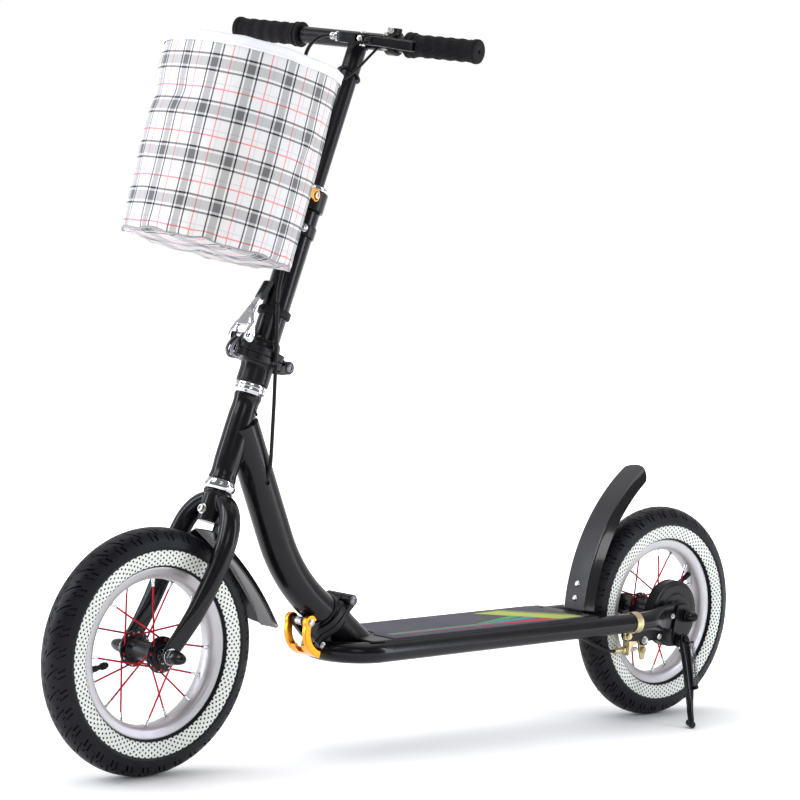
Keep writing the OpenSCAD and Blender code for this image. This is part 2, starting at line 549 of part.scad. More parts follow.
// rear fender: arc about its own centre
module fender_sec(w, f, d, t) polygon([[0 - d, -w], [0, -f], [0, f], [-d, w], [-d - t * 0.9, w - t * 0.6], [-t, f - t * 0.6], [-t, -f + t * 0.6], [-d - t * 0.9, -w + t * 0.6]]);
module rear_fender() color("#17171a") difference() {
  translate([-567, 0, 149]) rotate([-90, 0, 0]) rotate([0, 0, -58]) rotate_extrude(angle = 54.3, $fn = 160) translate([269, 0]) fender_sec(30, 19, 11, 2.4);
  // rounded end
  translate([-567, 0, 149]) rotate([0, -50, 0]) translate([269, 0, 0]) difference() {
    translate([-30, -60, 0]) cube([60, 120, 60]);
    rotate([0, 90, 0]) cylinder(h = 80, r = 30.7, center = true, $fn = 96);
  }
  rear_rivet_at(0) translate([0, 0, -10]) cylinder(h = 20, r = 2.05, $fn = 20);
  rear_rivet_at(1) translate([0, 0, -10]) cylinder(h = 20, r = 2.05, $fn = 20);
}
module rear_rivet_at(i) translate([-567, 0, 149]) rotate([0, -(i == 0 ? 7 : 11.5), 0]) translate([269, 0, 0]) rotate([0, 90, 0]) children();
module rear_fender_fixings() {
  color("#c9ccd0") for (i = [0, 1]) rear_rivet_at(i) { translate([0, 0, -6]) cylinder(h = 6.2, r = 2, $fn = 20); cylinder(h = 1.6, r = 4, $fn = 24); }
  color("#17171a") difference() {
    union() {
      translate([-567, 0, 149]) rotate([-90, 0, 0]) rotate([0, 0, -13.5]) rotate_extrude(angle = 12, $fn = 160) translate([263.5, -13]) square([3, 26]);
      deck_pos() translate([-312, -13, 8.4]) cube([34, 26, 3]);
    }
  }
}

// ---------- front fender ----------
module front_fender() color("#17171a") difference() {
  translate([631, 0, -27]) rotate([-90, 0, 0]) rotate([0, 0, -151.3]) rotate_extrude(angle = 25.6, $fn = 220) translate([408, 0]) fender_sec(29, 18, 12, 2.2);
  // tip
  translate([631, 0, -27]) rotate([0, -145.9, 0]) translate([408, 0, 0]) difference() {
    translate([-30, -60, 0]) cube([60, 120, 60]);
    intersection() {
      translate([0, 8, 0]) rotate([0, 90, 0]) cylinder(h = 80, r = 38.2, center = true, $fn = 96);
      translate([0, -8, 0]) rotate([0, 90, 0]) cylinder(h = 80, r = 38.2, center = true, $fn = 96);
    }
  }
}
module front_fender_fixings() {
  steer_axis() {
    color("#c9ccd0") {
      translate([10, 0, 344]) rotate([0, 90, 0]) cylinder(h = 10, r = 4.5, $fn = 6);
      translate([-26, 0, 344]) rotate([0, 90, 0]) cylinder(h = 40, r = 3, $fn = 20);
      translate([-27.2, 0, 344]) rotate([0, 90, 0]) cylinder(h = 4, r = 5, $fn = 6);
    }
    // bracket behind the crown
    color("#17171a") translate([-21.4, -11, 313.4]) cube([3, 22, 39]);
  }
  // foot on the fender, with two rivets
  color("#17171a") translate([631, 0, -27]) rotate([-90, 0, 0]) rotate([0, 0, -132.8]) rotate_extrude(angle = 4.6, $fn = 220) translate([408.02, -11]) square([2.4, 22]);
  color("#c9ccd0") translate([631, 0, -27]) rotate([0, -131.4, 0]) translate([400, 0, 0]) rotate([0, 90, 0]) for (y = [-6, 6]) translate([0, y, 4]) { cylinder(h = 8, r = 2, $fn = 20); translate([0, 0, 6]) cylinder(h = 2, r = 3.4, $fn = 20); }
}

// ---------- stem base and its hinge ----------
sh_t = -38; sh_s = 551;
module flange2d(x0) { rrect(x0, 32, 23, 10); translate([28, -12]) square([17, 24]); }
module stem_base() color("#1b1b1e") steer_axis() difference() {
  union() {
    translate([0, 0, 514.3]) cylinder(h = 30, r = 21);
    translate([0, 0, 541]) linear_extrude(9.85) flange2d(-26);
    for (y = [-16.3, 6.1]) ydir([sh_t, y, sh_s]) cylinder(h = 10.2, r = 8.5);
    for (y = [-16.3, 6.1]) translate([sh_t, y, 542.5]) cube([16, 10.2, 8.3]);
  }
  translate([0, 0, 500]) cylinder(h = 33, r = steerer_r + 0.02);
  ydir([sh_t, -30, sh_s]) cylinder(h = 60, r = 3.52);
  ydir([sh_t, -6.1, sh_s]) cylinder(h = 12.2, r = 9.8);
  // open cradle for the draw bolt
  translate([36, -3.4, 530]) cube([30, 6.8, 40]);
  ydir([40, -8, 544.5]) cylinder(h = 16, r = 4.1);
  translate([35.9, -8, 544.5]) cube([30, 16, 30]);
}
module stem_hinge_pin() color("#2a2a2d") steer_axis() {
  ydir([sh_t, -18, sh_s]) cylinder(h = 36, r = 3.5);
  ydir([sh_t, 16.3, sh_s]) cylinder(h = 2, r = 5.5, $fn = 24);
  ydir([sh_t, -18.3, sh_s]) cylinder(h = 2, r = 5.5, $fn = 24);
}
module stem_tube() color("#1b1b1e") steer_axis() difference() {
  union() {
    translate([0, 0, 551.15]) linear_extrude(9.85) flange2d(-26);
    translate([0, 0, 556]) cylinder(h = 14, r = 22);
    translate([0, 0, 560]) cylinder(h = 218, r = stem_r);
    ydir([sh_t, -5.7, sh_s]) cylinder(h = 11.4, r = 8.5);
    translate([sh_t, -5.7, 551.3]) cube([16, 11.4, 8.2]);
    for (y = [-12, 5.5]) translate([34, y, 556]) cube([11, 6.5, 9]);
    for (y = [-12, 5.5]) ydir([40, y, 566]) cylinder(h = 6.5, r = 5);
  }
  translate([0, 0, 566]) cylinder(h = 230, r = post_r + 0.05);
  ydir([sh_t, -20, sh_s]) cylinder(h = 40, r = 3.56);
  for (y = [-27, 5.7]) ydir([sh_t, y, sh_s]) cylinder(h = 21.3, r = 9.8);
  translate([36, -3.4, 530]) cube([30, 6.8, 60]);
  ydir([40, -20, 566]) cylinder(h = 40, r = 2.52);
  // clamping slit
  rotate([0, 0, clamp_turn]) translate([0, -1.5, 742]) cube([40, 3, 60]);
  rotate([0, 0, clamp_turn]) translate([0, 0, 742]) rotate([0, 90, 0]) cylinder(h = 40, r = 2.6, $fn = 20);
}
module stem_latch_bolt() color("#cfd1d4") steer_axis() {
  ydir([40, -15, 566]) cylinder(h = 30, r = 2.5);
  ydir([40, -5, 566]) cylinder(h = 10, r = 4.6);
  translate([40, 0, 544.5]) cylinder(h = 19, r = 2.8);
  ydir([40, -7.4, 544.5]) cylinder(h = 14.8, r = 3.7);
}
module stem_latch_lever() steer_axis() {
  color("#c9ccd0") difference() {
    union() {
      for (y = [-18, 12.4]) slab(y, 5.6) {
        translate([40, 566]) circle(r = 7, $fn = 48);
        polygon([[34, 568], [46, 568], [44.5, 592], [41, 604], [36, 604], [36.5, 590]]);
      }
      slab(-17.6, 35.2) polygon([[37.5, 583], [43.6, 583], [42.9, 592], [40, 603], [36.8, 603], [37.8, 592]]);
      slab(-5, 10) polygon([[37.2, 597], [41.4, 597], [26.8, 642], [22.6, 642]]);
    }
    ydir([40, -20, 566]) cylinder(h = 40, r = 2.56);
  }
  color("#1d1d20") slab(-5.5, 11) polygon([[25.6, 617], [34.4, 618.5], [27.2, 645.5], [19.8, 645.5]]);
}
module lever_band() color("#161618") steer_axis() difference() {
  translate([0, 0, 606]) cylinder(h = 10, r = stem_r + 3);
  translate([0, 0, 600]) cylinder(h = 20, r = stem_r);
}
clamp_turn = 17;   // the clamp's ears point forward and a little left
module height_clamp() steer_axis() {
  color("#1a1a1c") difference() {
    union() {
      translate([0, 0, 752]) cylinder(h = 26, r = 21.5);
      rotate([0, 0, clamp_turn]) translate([15, -10, 757]) cube([17, 20, 18]);
    }
    translate([0, 0, 740]) cylinder(h = 60, r = stem_r);
    rotate([0, 0, clamp_turn]) translate([10, -1.5, 750]) cube([40, 3, 60]);
    rotate([0, 0, clamp_turn]) ydir([26.5, -20, 766]) cylinder(h = 40, r = 2.55);
  }
  color("#c9ccd0") {
    difference() { translate([0, 0, 778.05]) cylinder(h = 6, r = 19.5); translate([0, 0, 776]) cylinder(h = 10, r = post_r + 0.08); }
    rotate([0, 0, clamp_turn]) ydir([26.5, -14.5, 766]) cylinder(h = 42, r = 2.5);
    rotate([0, 0, clamp_turn]) ydir([26.5, 26.6, 766]) cylinder(h = 1.6, r = 4.4);
    rotate([0, 0, clamp_turn]) ydir([26.5, -14.5, 766]) cylinder(h = 4.5, r = 5.2, $fn = 6);
  }
}
module height_lever() color("#e8891a") steer_axis() rotate([0, 0, clamp_turn]) difference() {
  union() {
    ydir([26.5, 10.3, 766]) cylinder(h = 16.2, r = 7);
    ydir([26.5, 22, 766]) cylinder(h = 4.5, r = 8);
    translate([26.5, 22.3, 758.5]) cube([15.5, 4.2, 15]);
    ydir([42, 22.3, 766]) cylinder(h = 4.2, r = 7.5);
  }
  ydir([26.5, 5, 766]) cylinder(h = 30, r = 2.55);
}

// ---------- basket ----------
basket_t1 = 161; basket_t0 = 133;
// The basket hangs from its back: floor and rim lie flatter than the stem is
// square to, and the rim leans to the left
basket_flat = 7; basket_roll = 3.5; basket_y0 = -4; basket_y1 = 9;
module basket_solid(a0, b0, a1, b1, g, u0, u1) {
  n = 64; m = 8;
  ex = 2.35;
  // g: how far in from the outside, u0 and u1: heights of floor and rim along the sides
  function pt(i, k) = let (u = u0 + (u1 - u0) * i / m, f = u / (basket_hi - basket_lo), a = a0 + (a1 - a0) * f - g, b = b0 + (b1 - b0) * f - g,
      c = a * sign(cos(360 * k / n)) * pow(abs(cos(360 * k / n)), 2 / ex), q = b * sign(sin(360 * k / n)) * pow(abs(sin(360 * k / n)), 2 / ex))
    [basket_t0 + (basket_t1 - basket_t0) * f + c * cos(basket_flat), basket_y0 + (basket_y1 - basket_y0) * f + q * cos(basket_roll),
     basket_lo + u - c * sin(basket_flat) - q * sin(basket_roll)];
  polyhedron(points = [for (i = [0:m]) for (k = [0:n - 1]) pt(i, k)],
    faces = concat([[for (k = [0:n - 1]) k]],
      [for (i = [0:m - 1]) for (k = [0:n - 1]) each [[i * n + k, (i + 1) * n + k, (i + 1) * n + (k + 1) % n], [i * n + k, (i + 1) * n + (k + 1) % n, i * n + (k + 1) % n]]],
      [[for (k = [n - 1:-1:0]) m * n + k]]));
}
module basket() color("#eceaea") steer_axis() difference() {
  basket_solid(basket_a - 3, basket_b - 2, basket_a, basket_b, 0, 0, basket_hi - basket_lo);
  basket_solid(basket_a - 3, basket_b - 2, basket_a, basket_b, 4, 4, basket_hi - basket_lo + 4);
}
module basket_bracket() color("#c9ccd0") steer_axis() difference() {
  union() {
    translate([0, 0, 716]) cylinder(h = 15, r = stem_r + 2);
    translate([14, -9, 716]) cube([23, 3, 15]);
    translate([14, 6, 716]) cube([23, 3, 15]);
    translate([34.5, -24, 702]) cube([3, 48, 44]);
    for (y = [-15, 15]) translate([36.5, y, 724]) rotate([0, 90, 0]) cylinder(h = 5.2, r = 5);
  }
  translate([0, 0, 700]) cylinder(h = 60, r = stem_r);
  translate([10, -5.9, 710]) cube([24, 11.8, 30]);
  translate([42, -30, 690]) cube([40, 60, 80]);
}

// ---------- handlebar ----------
module handlebar() color("#17171a") bar_turned() difference() {
  union() {
    steer_axis() translate([0, 0, 640]) cylinder(h = bar_s - 640, r = post_r);
    ydir([bar_x, bar_off - bar_half + 4, bar_z]) cylinder(h = 2 * bar_half - 8, r = bar_r);
  }
  steer_axis() translate([0, 0, 638]) cylinder(h = bar_s - 640 - 12, r = post_r - 2);
  ydir([bar_x, bar_off - bar_half, bar_z]) cylinder(h = 2 * bar_half, r = bar_r - 2);
}
module grips() color("#1b1b1c") bar_turned() translate([0, bar_off, 0]) for (s = [-1, 1]) mirror([0, s < 0 ? 1 : 0, 0]) ydir([bar_x, 83, bar_z]) difference() {
  rotate_extrude() polygon(concat([[bar_r, 0], [16.2, 0], [16.8, 1.5], [16.8, 3.5], [15.6, 5], [15.6, 7], [16.5, 8.4], [16.5, 10], [grip_r, 11.6]],
    [for (i = [0:17]) each [[grip_r, 13.5 + i * 4.7], [grip_r - 0.7, 14.6 + i * 4.7], [grip_r - 0.7, 15.8 + i * 4.7], [grip_r, 16.9 + i * 4.7]]],
    [[grip_r, 97.8], [grip_r + 1.2, 99.3], [grip_r + 1.2, 105.5], [grip_r, 107], [2, 107], [2, 104], [bar_r, 103]]));
}
// brake lever group: x forward of the bar, level
module brake_bracket() {
  color("#1a1a1c") bar_turned() translate([0, -20, 0]) difference() {
    union() {
      ydir([bar_x, 66, bar_z]) cylinder(h = 15, r = bar_r + 4.5);
      translate([bar_x - 5, 66, bar_z + 8]) cube([12, 15, 12]);
      // arm to the lever and to the cable end
      translate([bar_x + 8, 58, bar_z - 6]) cube([26, 20, 13]);
      translate([bar_x + 30, 16, bar_z - 5]) cube([16, 28, 11]);
      translate([bar_x + 28, 40, bar_z - 6.4]) cube([19, 21, 3]);
      translate([bar_x + 28, 40, bar_z + 4.8]) cube([19, 21, 3]);
    }
    ydir([bar_x, 60, bar_z]) cylinder(h = 30, r = bar_r);
    translate([bar_x - 1.2, 60, bar_z]) cube([2.4, 30, 30]);
    // jaw for the lever
    translate([bar_x + 28, 43.5, bar_z - 3.6]) cube([30, 60, 8.4]);
    translate([bar_x + 30, 61, bar_z - 20]) cube([30, 60, 40]);
    translate([bar_x + 40, 52, bar_z - 20]) cylinder(h = 40, r = 3.02);
    translate([bar_x + 38, 0, bar_z + 1]) rotate([-90, 0, 0]) cylinder(h = 60, r = 2.0, $fn = 20);
  }
  color("#cfd1d4") bar_turned() translate([0, -20, 0]) {
    // pivot bolt
    translate([bar_x + 40, 52, bar_z - 8.4]) cylinder(h = 18, r = 2.97);
    translate([bar_x + 40, 52, bar_z + 7.6]) cylinder(h = 2.6, r = 5);
    translate([bar_x + 40, 52, bar_z - 9]) cylinder(h = 2.6, r = 4.6, $fn = 6);
    // clamp bolt and nut
    translate([bar_x - 9, 73.5, bar_z + 15.5]) rotate([0, 90, 0]) cylinder(h = 20, r = 2.4);
    translate([bar_x + 7, 73.5, bar_z + 15.5]) rotate([0, 90, 0]) cylinder(h = 4.6, r = 4.4, $fn = 6);
    // adjuster barrel
    difference() {
      union() {
        ydir([bar_x + 38, 3, bar_z + 1]) cylinder(h = 14, r = 3.4);
        ydir([bar_x + 38, 9, bar_z + 1]) cylinder(h = 4, r = 6);
        ydir([bar_x + 38, 1, bar_z + 1]) cylinder(h = 4, r = 4.6);
      }
      ydir([bar_x + 38, -2, bar_z + 1]) cylinder(h = 12, r = 2.9, $fn = 24);
      ydir([bar_x + 38, -2, bar_z + 1]) cylinder(h = 30, r = 1.2, $fn = 20);
    }
  }
}
module brake_lever() color("#1a1a1c") bar_turned() translate([0, -20, 0]) difference() {
  union() {
    translate([bar_x + 40, 52, bar_z - 3.3]) cylinder(h = 7.8, r = 6.6);
    translate([bar_x + 33.4, 46, bar_z - 3.3]) cube([10, 12, 7.8]);
    translate([bar_x + 37.5, 52, bar_z - 3.3]) cube([9, 16, 7.8]);
    translate([bar_x + 40, 52, bar_z + 0.6]) rotate([-2.6, 0, 0]) translate([-1.5, 13, -6.5]) cube([9, 68, 13]);
  }
  translate([bar_x + 40, 52, bar_z - 20]) cylinder(h = 40, r = 3.03);
  // recess along the blade
  translate([bar_x + 40, 52, bar_z + 0.6]) rotate([-2.6, 0, 0]) translate([4.5, 18, -4]) cube([9, 50, 8]);
  translate([bar_x + 30, 44, bar_z - 2]) cube([8, 8, 5.5]);
}

// ---------- cables, along their routes ----------
cable_r = 2.5;
bar_cable_pts = [[214.6, -4.1, 938.4], [217.9, -17, 939.4], [223, -29, 935], [229, -37, 923], [233, -39, 907], [237, -33, 885], [243, -17, 859], [251, 3, 829], [261, 19, 797], [272, 28, 760], [284, 31, 722], [295, 31, 690], [304, 30.5, 658], [310.6, 29.8, 636], [315, 28.8, 613], [315.2, 27.4, 592.6]];
hinge_cable_pts = [[315.2, 27.4, 591.5], [314.6, 27, 573], [314, 26.8, 554], [313.4, 26.8, 536], [313.1, 27, 515.5]];
steer_cable_pts = [[313.1, 27, 514.5], [313.3, 27.4, 490], [313.1, 27.5, 469], [313, 27.2, 440], [313, 27, 410], [313, 26, 385], [313, 20, 363]];
frame_cable_pts = [[313, 20, 363], [308, 12, 345], [296, 4, 315], [280, 0, 285], [258, 0, 250], [228, 0, 216], [200, 0, 198], [182, 0, 187]];
under_cable_pts = [[176, 0, 181], [163, 2, 171], [150, 6, 163], [110, 24, 140], [70, 36, 131], [20, 38, 130], [-20, 38, 130.5], [-80, 38, 132], [-140, 38, 133], [-200, 38, 134], [-245, 38, 135], [-280, 36.5, 130], [-306, 35.2, 119], [-326, 35, 110.5], [-342, 35, 106.8], [-356, 35, 106.5]];
module brake_cable_bar() color("#151515") cable(bar_cable_pts, 3, cable_r, [1, 0, 0.3]);
module brake_cable_hinge() color("#151515") cable(hinge_cable_pts, 2, cable_r, [1, 0, 0]);
module brake_cable_steer() color("#151515") cable(steer_cable_pts, 2, cable_r, [1, 0, 0]);
module brake_cable_frame() color("#151515") cable(frame_cable_pts, 1, cable_r, [0, 1, 0.2]);
module brake_cable_deck() color("#151515") cable(under_cable_pts, 1, cable_r, [0, 1, 0.2]);
cord_pts = [[184.3, 47, 925], [193.6, 40, 911.5], [203, 33, 898], [213, 26, 886.5], [224, 19, 878.5], [236, 13, 869]];
module basket_cord() color("#151515") {
  cable(cord_pts, 2, 1.8, [1, 0, 0]);
}

deck_frame();
deck_plate();
deck_grip();
hinge_lower();
frame_hinge_pin();
rear_fender();
rear_fender_fixings();
rear_axle();
rear_axle_nuts();
brake_cover();
brake_clip();
cable_stop();
kickstand_bracket();
brake_cable_deck();
brake_arm();
brake_spring();
kickstand_leg();
kickstand_springs();
rear_tyre();
rear_inner_tube();
rear_rim();
rear_spokes();
rear_hub();
rear_bearings();
brake_drum();
main_frame();
hinge_upper();
headset();
latch_bolt();
brake_cable_frame();
frame_latch_lever();
fork();
front_fender();
front_fender_fixings();
front_axle();
front_axle_nuts();
stem_base();
stem_hinge_pin();
front_tyre();
front_inner_tube();
front_rim();
front_spokes();
front_hub();
front_bearings();
stem_tube();
stem_latch_bolt();
stem_latch_lever();
lever_band();
height_clamp();
height_lever();
basket_bracket();
basket();
handlebar();
grips();
brake_bracket();
brake_lever();
brake_cable_bar();
brake_cable_hinge();
brake_cable_steer();
basket_cord();
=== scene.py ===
import math
import random

import bmesh
import bpy
import numpy as np
from mathutils import Matrix, Vector


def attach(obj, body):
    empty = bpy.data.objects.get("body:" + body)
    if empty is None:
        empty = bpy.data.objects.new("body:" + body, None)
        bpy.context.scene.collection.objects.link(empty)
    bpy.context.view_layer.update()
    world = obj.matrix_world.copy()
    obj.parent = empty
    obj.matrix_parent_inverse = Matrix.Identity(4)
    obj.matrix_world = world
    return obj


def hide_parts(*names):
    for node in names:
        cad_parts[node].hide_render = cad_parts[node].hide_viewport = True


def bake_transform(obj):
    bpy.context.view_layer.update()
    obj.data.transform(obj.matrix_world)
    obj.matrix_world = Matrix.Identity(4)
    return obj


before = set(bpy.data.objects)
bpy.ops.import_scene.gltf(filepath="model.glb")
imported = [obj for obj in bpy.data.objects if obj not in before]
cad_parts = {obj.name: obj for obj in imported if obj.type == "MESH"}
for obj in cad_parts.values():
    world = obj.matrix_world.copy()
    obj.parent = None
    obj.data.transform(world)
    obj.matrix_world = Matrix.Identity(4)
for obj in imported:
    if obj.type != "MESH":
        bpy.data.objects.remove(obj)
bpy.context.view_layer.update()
random.seed(7)
RNG = np.random.default_rng(7)

# ------------------------------------------------------------------ camera
AZ, EL, ROLL = math.radians(136.57), math.radians(3.01), math.radians(3.014)
back = Vector((math.sin(AZ) * math.cos(EL), -math.cos(AZ) * math.cos(EL), math.sin(EL)))
right0 = Vector((0, 0, 1)).cross(back).normalized()
up0 = back.cross(right0)
cx = math.cos(ROLL) * right0 + math.sin(ROLL) * up0
cy = -math.sin(ROLL) * right0 + math.cos(ROLL) * up0
cam_data = bpy.data.cameras.new("camera")
cam = bpy.data.objects.new("camera", cam_data)
bpy.context.scene.collection.objects.link(cam)
cam.matrix_world = Matrix((
    (cx.x, cy.x, back.x, 2.4173),
    (cx.y, cy.y, back.y, 2.4815),
    (cx.z, cy.z, back.z, 0.6473),
    (0, 0, 0, 1)))
cam_data.sensor_width = 36.0
cam_data.lens = 2556.2 * 36.0 / 800.0
cam_data.clip_start, cam_data.clip_end = 0.05, 60
bpy.context.scene.camera = cam

# ------------------------------------------------------------------ frames, millimetres
TILT = math.radians(18.9)
SN, CS = math.sin(TILT), math.cos(TILT)


def roty(a, o):
    """OpenSCAD's rotate([0, a, 0]) then translate(o)."""
    c, s = math.cos(math.radians(a)), math.sin(math.radians(a))
    return Matrix(((c, 0, s, o[0]), (0, 1, 0, o[1]), (-s, 0, c, o[2]), (0, 0, 0, 1)))


MS = roty(-18.9, (495, 0, 0))       # steering axis: x forward, z up along it
MH = roty(45.6, (157, 0, 205))      # frame hinge: x to the latch, z out of the joint to the front
MD = roty(1.15, (0, 0, 142.5))      # deck
MI = Matrix.Identity(4)


def MY(p, spin=0.0):
    """local z along +Y, local x stays x."""
    r = Matrix(((1, 0, 0, p[0]), (0, 0, 1, p[1]), (0, -1, 0, p[2]), (0, 0, 0, 1)))
    return r @ Matrix.Rotation(math.radians(spin), 4, "Z")


def T(x, y, z):
    return Matrix.Translation((x, y, z))


def R(axis, deg):
    return Matrix.Rotation(math.radians(deg), 4, axis)


BARX, BARZ = 495 - 990 * SN, 990 * CS
TURN = Matrix.Translation((495, 0, 0)) @ Matrix.Rotation(math.radians(15), 4, Vector((-SN, 0, CS))) @ Matrix.Translation((-495, 0, 0))
XF, XR, ZW = 474.0, -474.0, 155.0


def st(t, y, s):
    return MS @ Vector((t, y, s))


# ------------------------------------------------------------------ mesh helpers
class B:
    """A growing mesh in millimetres."""

    def __init__(self):
        self.v, self.f, self.m, self.uv = [], [], [], {}

    def add(self, verts, faces, mat=0):
        o = len(self.v)
        self.v.extend((float(p[0]), float(p[1]), float(p[2])) for p in verts)
        self.f.extend(tuple(i + o for i in f) for f in faces)
        self.m.extend([mat] * len(faces))
        return o


def frames_along(P, ref=None):
    P = [Vector(p) for p in P]
    m = len(P)
    Tn = []
    for i in range(m):
        d = P[min(i + 1, m - 1)] - P[max(i - 1, 0)]
        Tn.append(d.normalized())
    if ref is None:
        ref = Vector((0, 0, 1)) if abs(Tn[0].z) < 0.9 else Vector((1, 0, 0))
        U = [ref.cross(Tn[0]).normalized()]
        for i in range(1, m):
            u = U[-1] - Tn[i] * U[-1].dot(Tn[i])
            U.append(u.normalized())
    else:
        ref = Vector(ref)
        U = [ref.cross(t).normalized() for t in Tn]
    V = [Tn[i].cross(U[i]) for i in range(m)]
    return P, Tn, U, V


def loft(b, rings, closed_ring=True, caps=(True, True), mat=0, loop=False):
    """rings: list of equal-length lists of points."""
    n = len(rings[0])
    verts = [p for r in rings for p in r]
    faces = []
    m = len(rings)
    for i in range(m - (0 if loop else 1)):
        a, c = i * n, ((i + 1) % m) * n
        for k in range(n if closed_ring else n - 1):
            k2 = (k + 1) % n
            faces.append((a + k, a + k2, c + k2, c + k))
    if not loop:
        if caps[0]:
            faces.append(tuple(range(n - 1, -1, -1)))
        if caps[1]:
            faces.append(tuple((m - 1) * n + k for k in range(n)))
    return b.add(verts, faces, mat)


def sweep(b, P, A, Bx=None, n=24, ref=None, caps=(True, True), mat=0, ex=2.0, M=MI, phase=0.0):
    """elliptic (or superelliptic) section along P; A, Bx are half axes per point."""
    P, Tn, U, V = frames_along(P, ref)
    A = [A] * len(P) if np.isscalar(A) else A
    Bx = A if Bx is None else ([Bx] * len(P) if np.isscalar(Bx) else Bx)
    rings = []
    for i, p in enumerate(P):
        ring = []
        for k in range(n):
            t = 2 * math.pi * k / n + phase
            c, s = math.cos(t), math.sin(t)
            c = math.copysign(abs(c) ** (2 / ex), c)
            s = math.copysign(abs(s) ** (2 / ex), s)
            ring.append(M @ (p + U[i] * (A[i] * c) + V[i] * (Bx[i] * s)))
        rings.append(ring)
    return loft(b, rings, caps=caps, mat=mat)


def cr(P, n, dims=None):
    """Catmull-Rom through P, n steps a span."""
    P = [np.array(p, float) for p in P]
    out = []
    m = len(P) - 1
    for i in range(m):
        p0 = 2 * P[0] - P[1] if i == 0 else P[i - 1]
        p3 = 2 * P[m] - P[m - 1] if i == m - 1 else P[i + 2]
        p1, p2 = P[i], P[i + 1]
        for j in range(n):
            t = j / n
            out.append(0.5 * ((2 * p1) + (p2 - p0) * t + (2 * p0 - 5 * p1 + 4 * p2 - p3) * t * t
                              + (3 * p1 - p0 - 3 * p2 + p3) * t ** 3))
    out.append(P[m])
    return out


def lathe(b, prof, n=64, M=MI, mat=0, loop=False, wob=None, arc=None, phase=0.0):
    """prof: (r, z) along local z. r 0 at an end closes it. arc = (a0, a1) degrees for a part turn."""
    verts, rows = [], []
    full = arc is None
    cols = n if full else n + 1
    for (r, z) in prof:
        if r <= 1e-6:
            rows.append([len(verts)])
            verts.append(M @ Vector((0, 0, z)))
            continue
        row = []
        for k in range(cols):
            t = phase + 2 * math.pi * k / n if full else math.radians(arc[0] + (arc[1] - arc[0]) * k / n)
            rr = r + (wob(t, z) if wob else 0)
            row.append(len(verts))
            verts.append(M @ Vector((rr * math.cos(t), rr * math.sin(t), z)))
        rows.append(row)
    faces = []
    m = len(rows)
    for i in range(m if loop else m - 1):
        a, c = rows[i], rows[(i + 1) % m]
        for k in range(n):
            k2 = (k + 1) % cols if full else k + 1
            if len(a) == 1 and len(c) == 1:
                continue
            if len(a) == 1:
                faces.append((a[0], c[k2], c[k]))
            elif len(c) == 1:
                faces.append((a[k], a[k2], c[0]))
            else:
                faces.append((a[k], a[k2], c[k2], c[k]))
    if full and not loop:
        if len(rows[0]) > 1:
            faces.append(tuple(reversed(rows[0])))
        if len(rows[-1]) > 1:
            faces.append(tuple(rows[-1]))
    return b.add(verts, faces, mat)


def rod(b, a, c, r, n=16, mat=0, r2=None):
    a, c = Vector(a), Vector(c)
    return sweep(b, [a, c], [r, r if r2 is None else r2], n=n, mat=mat)


def ext(b, poly, z0, z1, M=MI, mat=0):
    """straight extrusion of a simple outline between local z0 and z1."""
    n = len(poly)
    verts = [M @ Vector((p[0], p[1], z0)) for p in poly] + [M @ Vector((p[0], p[1], z1)) for p in poly]
    faces = [tuple(range(n - 1, -1, -1)), tuple(range(n, 2 * n))]
    faces += [(k, (k + 1) % n, n + (k + 1) % n, n + k) for k in range(n)]
    return b.add(verts, faces, mat)


def box(b, x0, x1, y0, y1, z0, z1, M=MI, mat=0):
    return ext(b, [(x0, y0), (x1, y0), (x1, y1), (x0, y1)], z0, z1, M, mat)


MXZ = Matrix(((1, 0, 0, 0), (0, 0, -1, 0), (0, 1, 0, 0), (0, 0, 0, 1)))   # outline (x, z), extruded along -y


def slab(b, poly, y0, y1, M=MI, mat=0):
    """outline in (x, z), solid between y0 and y1."""
    return ext(b, poly, -y1, -y0, M @ MXZ, mat)


def circ(cx_, cy_, r, n=32, a0=0, a1=360):
    full = abs(a1 - a0) >= 360
    m = n if full else n + 1
    return [(cx_ + r * math.cos(math.radians(a0 + (a1 - a0) * k / n)), cy_ + r * math.sin(math.radians(a0 + (a1 - a0) * k / n))) for k in range(m)]


def hexnut(b, M, r, h, mat=0, cham=0.12):
    """chamfered hex head from local z 0 to h."""
    n = 6
    k = math.cos(math.pi / 6)
    lathe(b, [(r * 0.93, 0), (r, h * 0.12), (r, h * (1 - cham * 1.4)), (r * 0.88, h)], 6, M, mat)


def bolt_head(b, M, r, h, mat=0, n=32, socket=True):
    """button head with a hex socket."""
    prof = [(r * 0.96, 0), (r, h * 0.25), (r * 0.94, h * 0.62), (r * 0.72, h * 0.93), (r * 0.5, h)]
    lathe(b, prof[:] + ([(r * 0.42, h), (r * 0.4, h * 0.45), (0, h * 0.4)] if socket else [(0, h)]), n, M, mat)


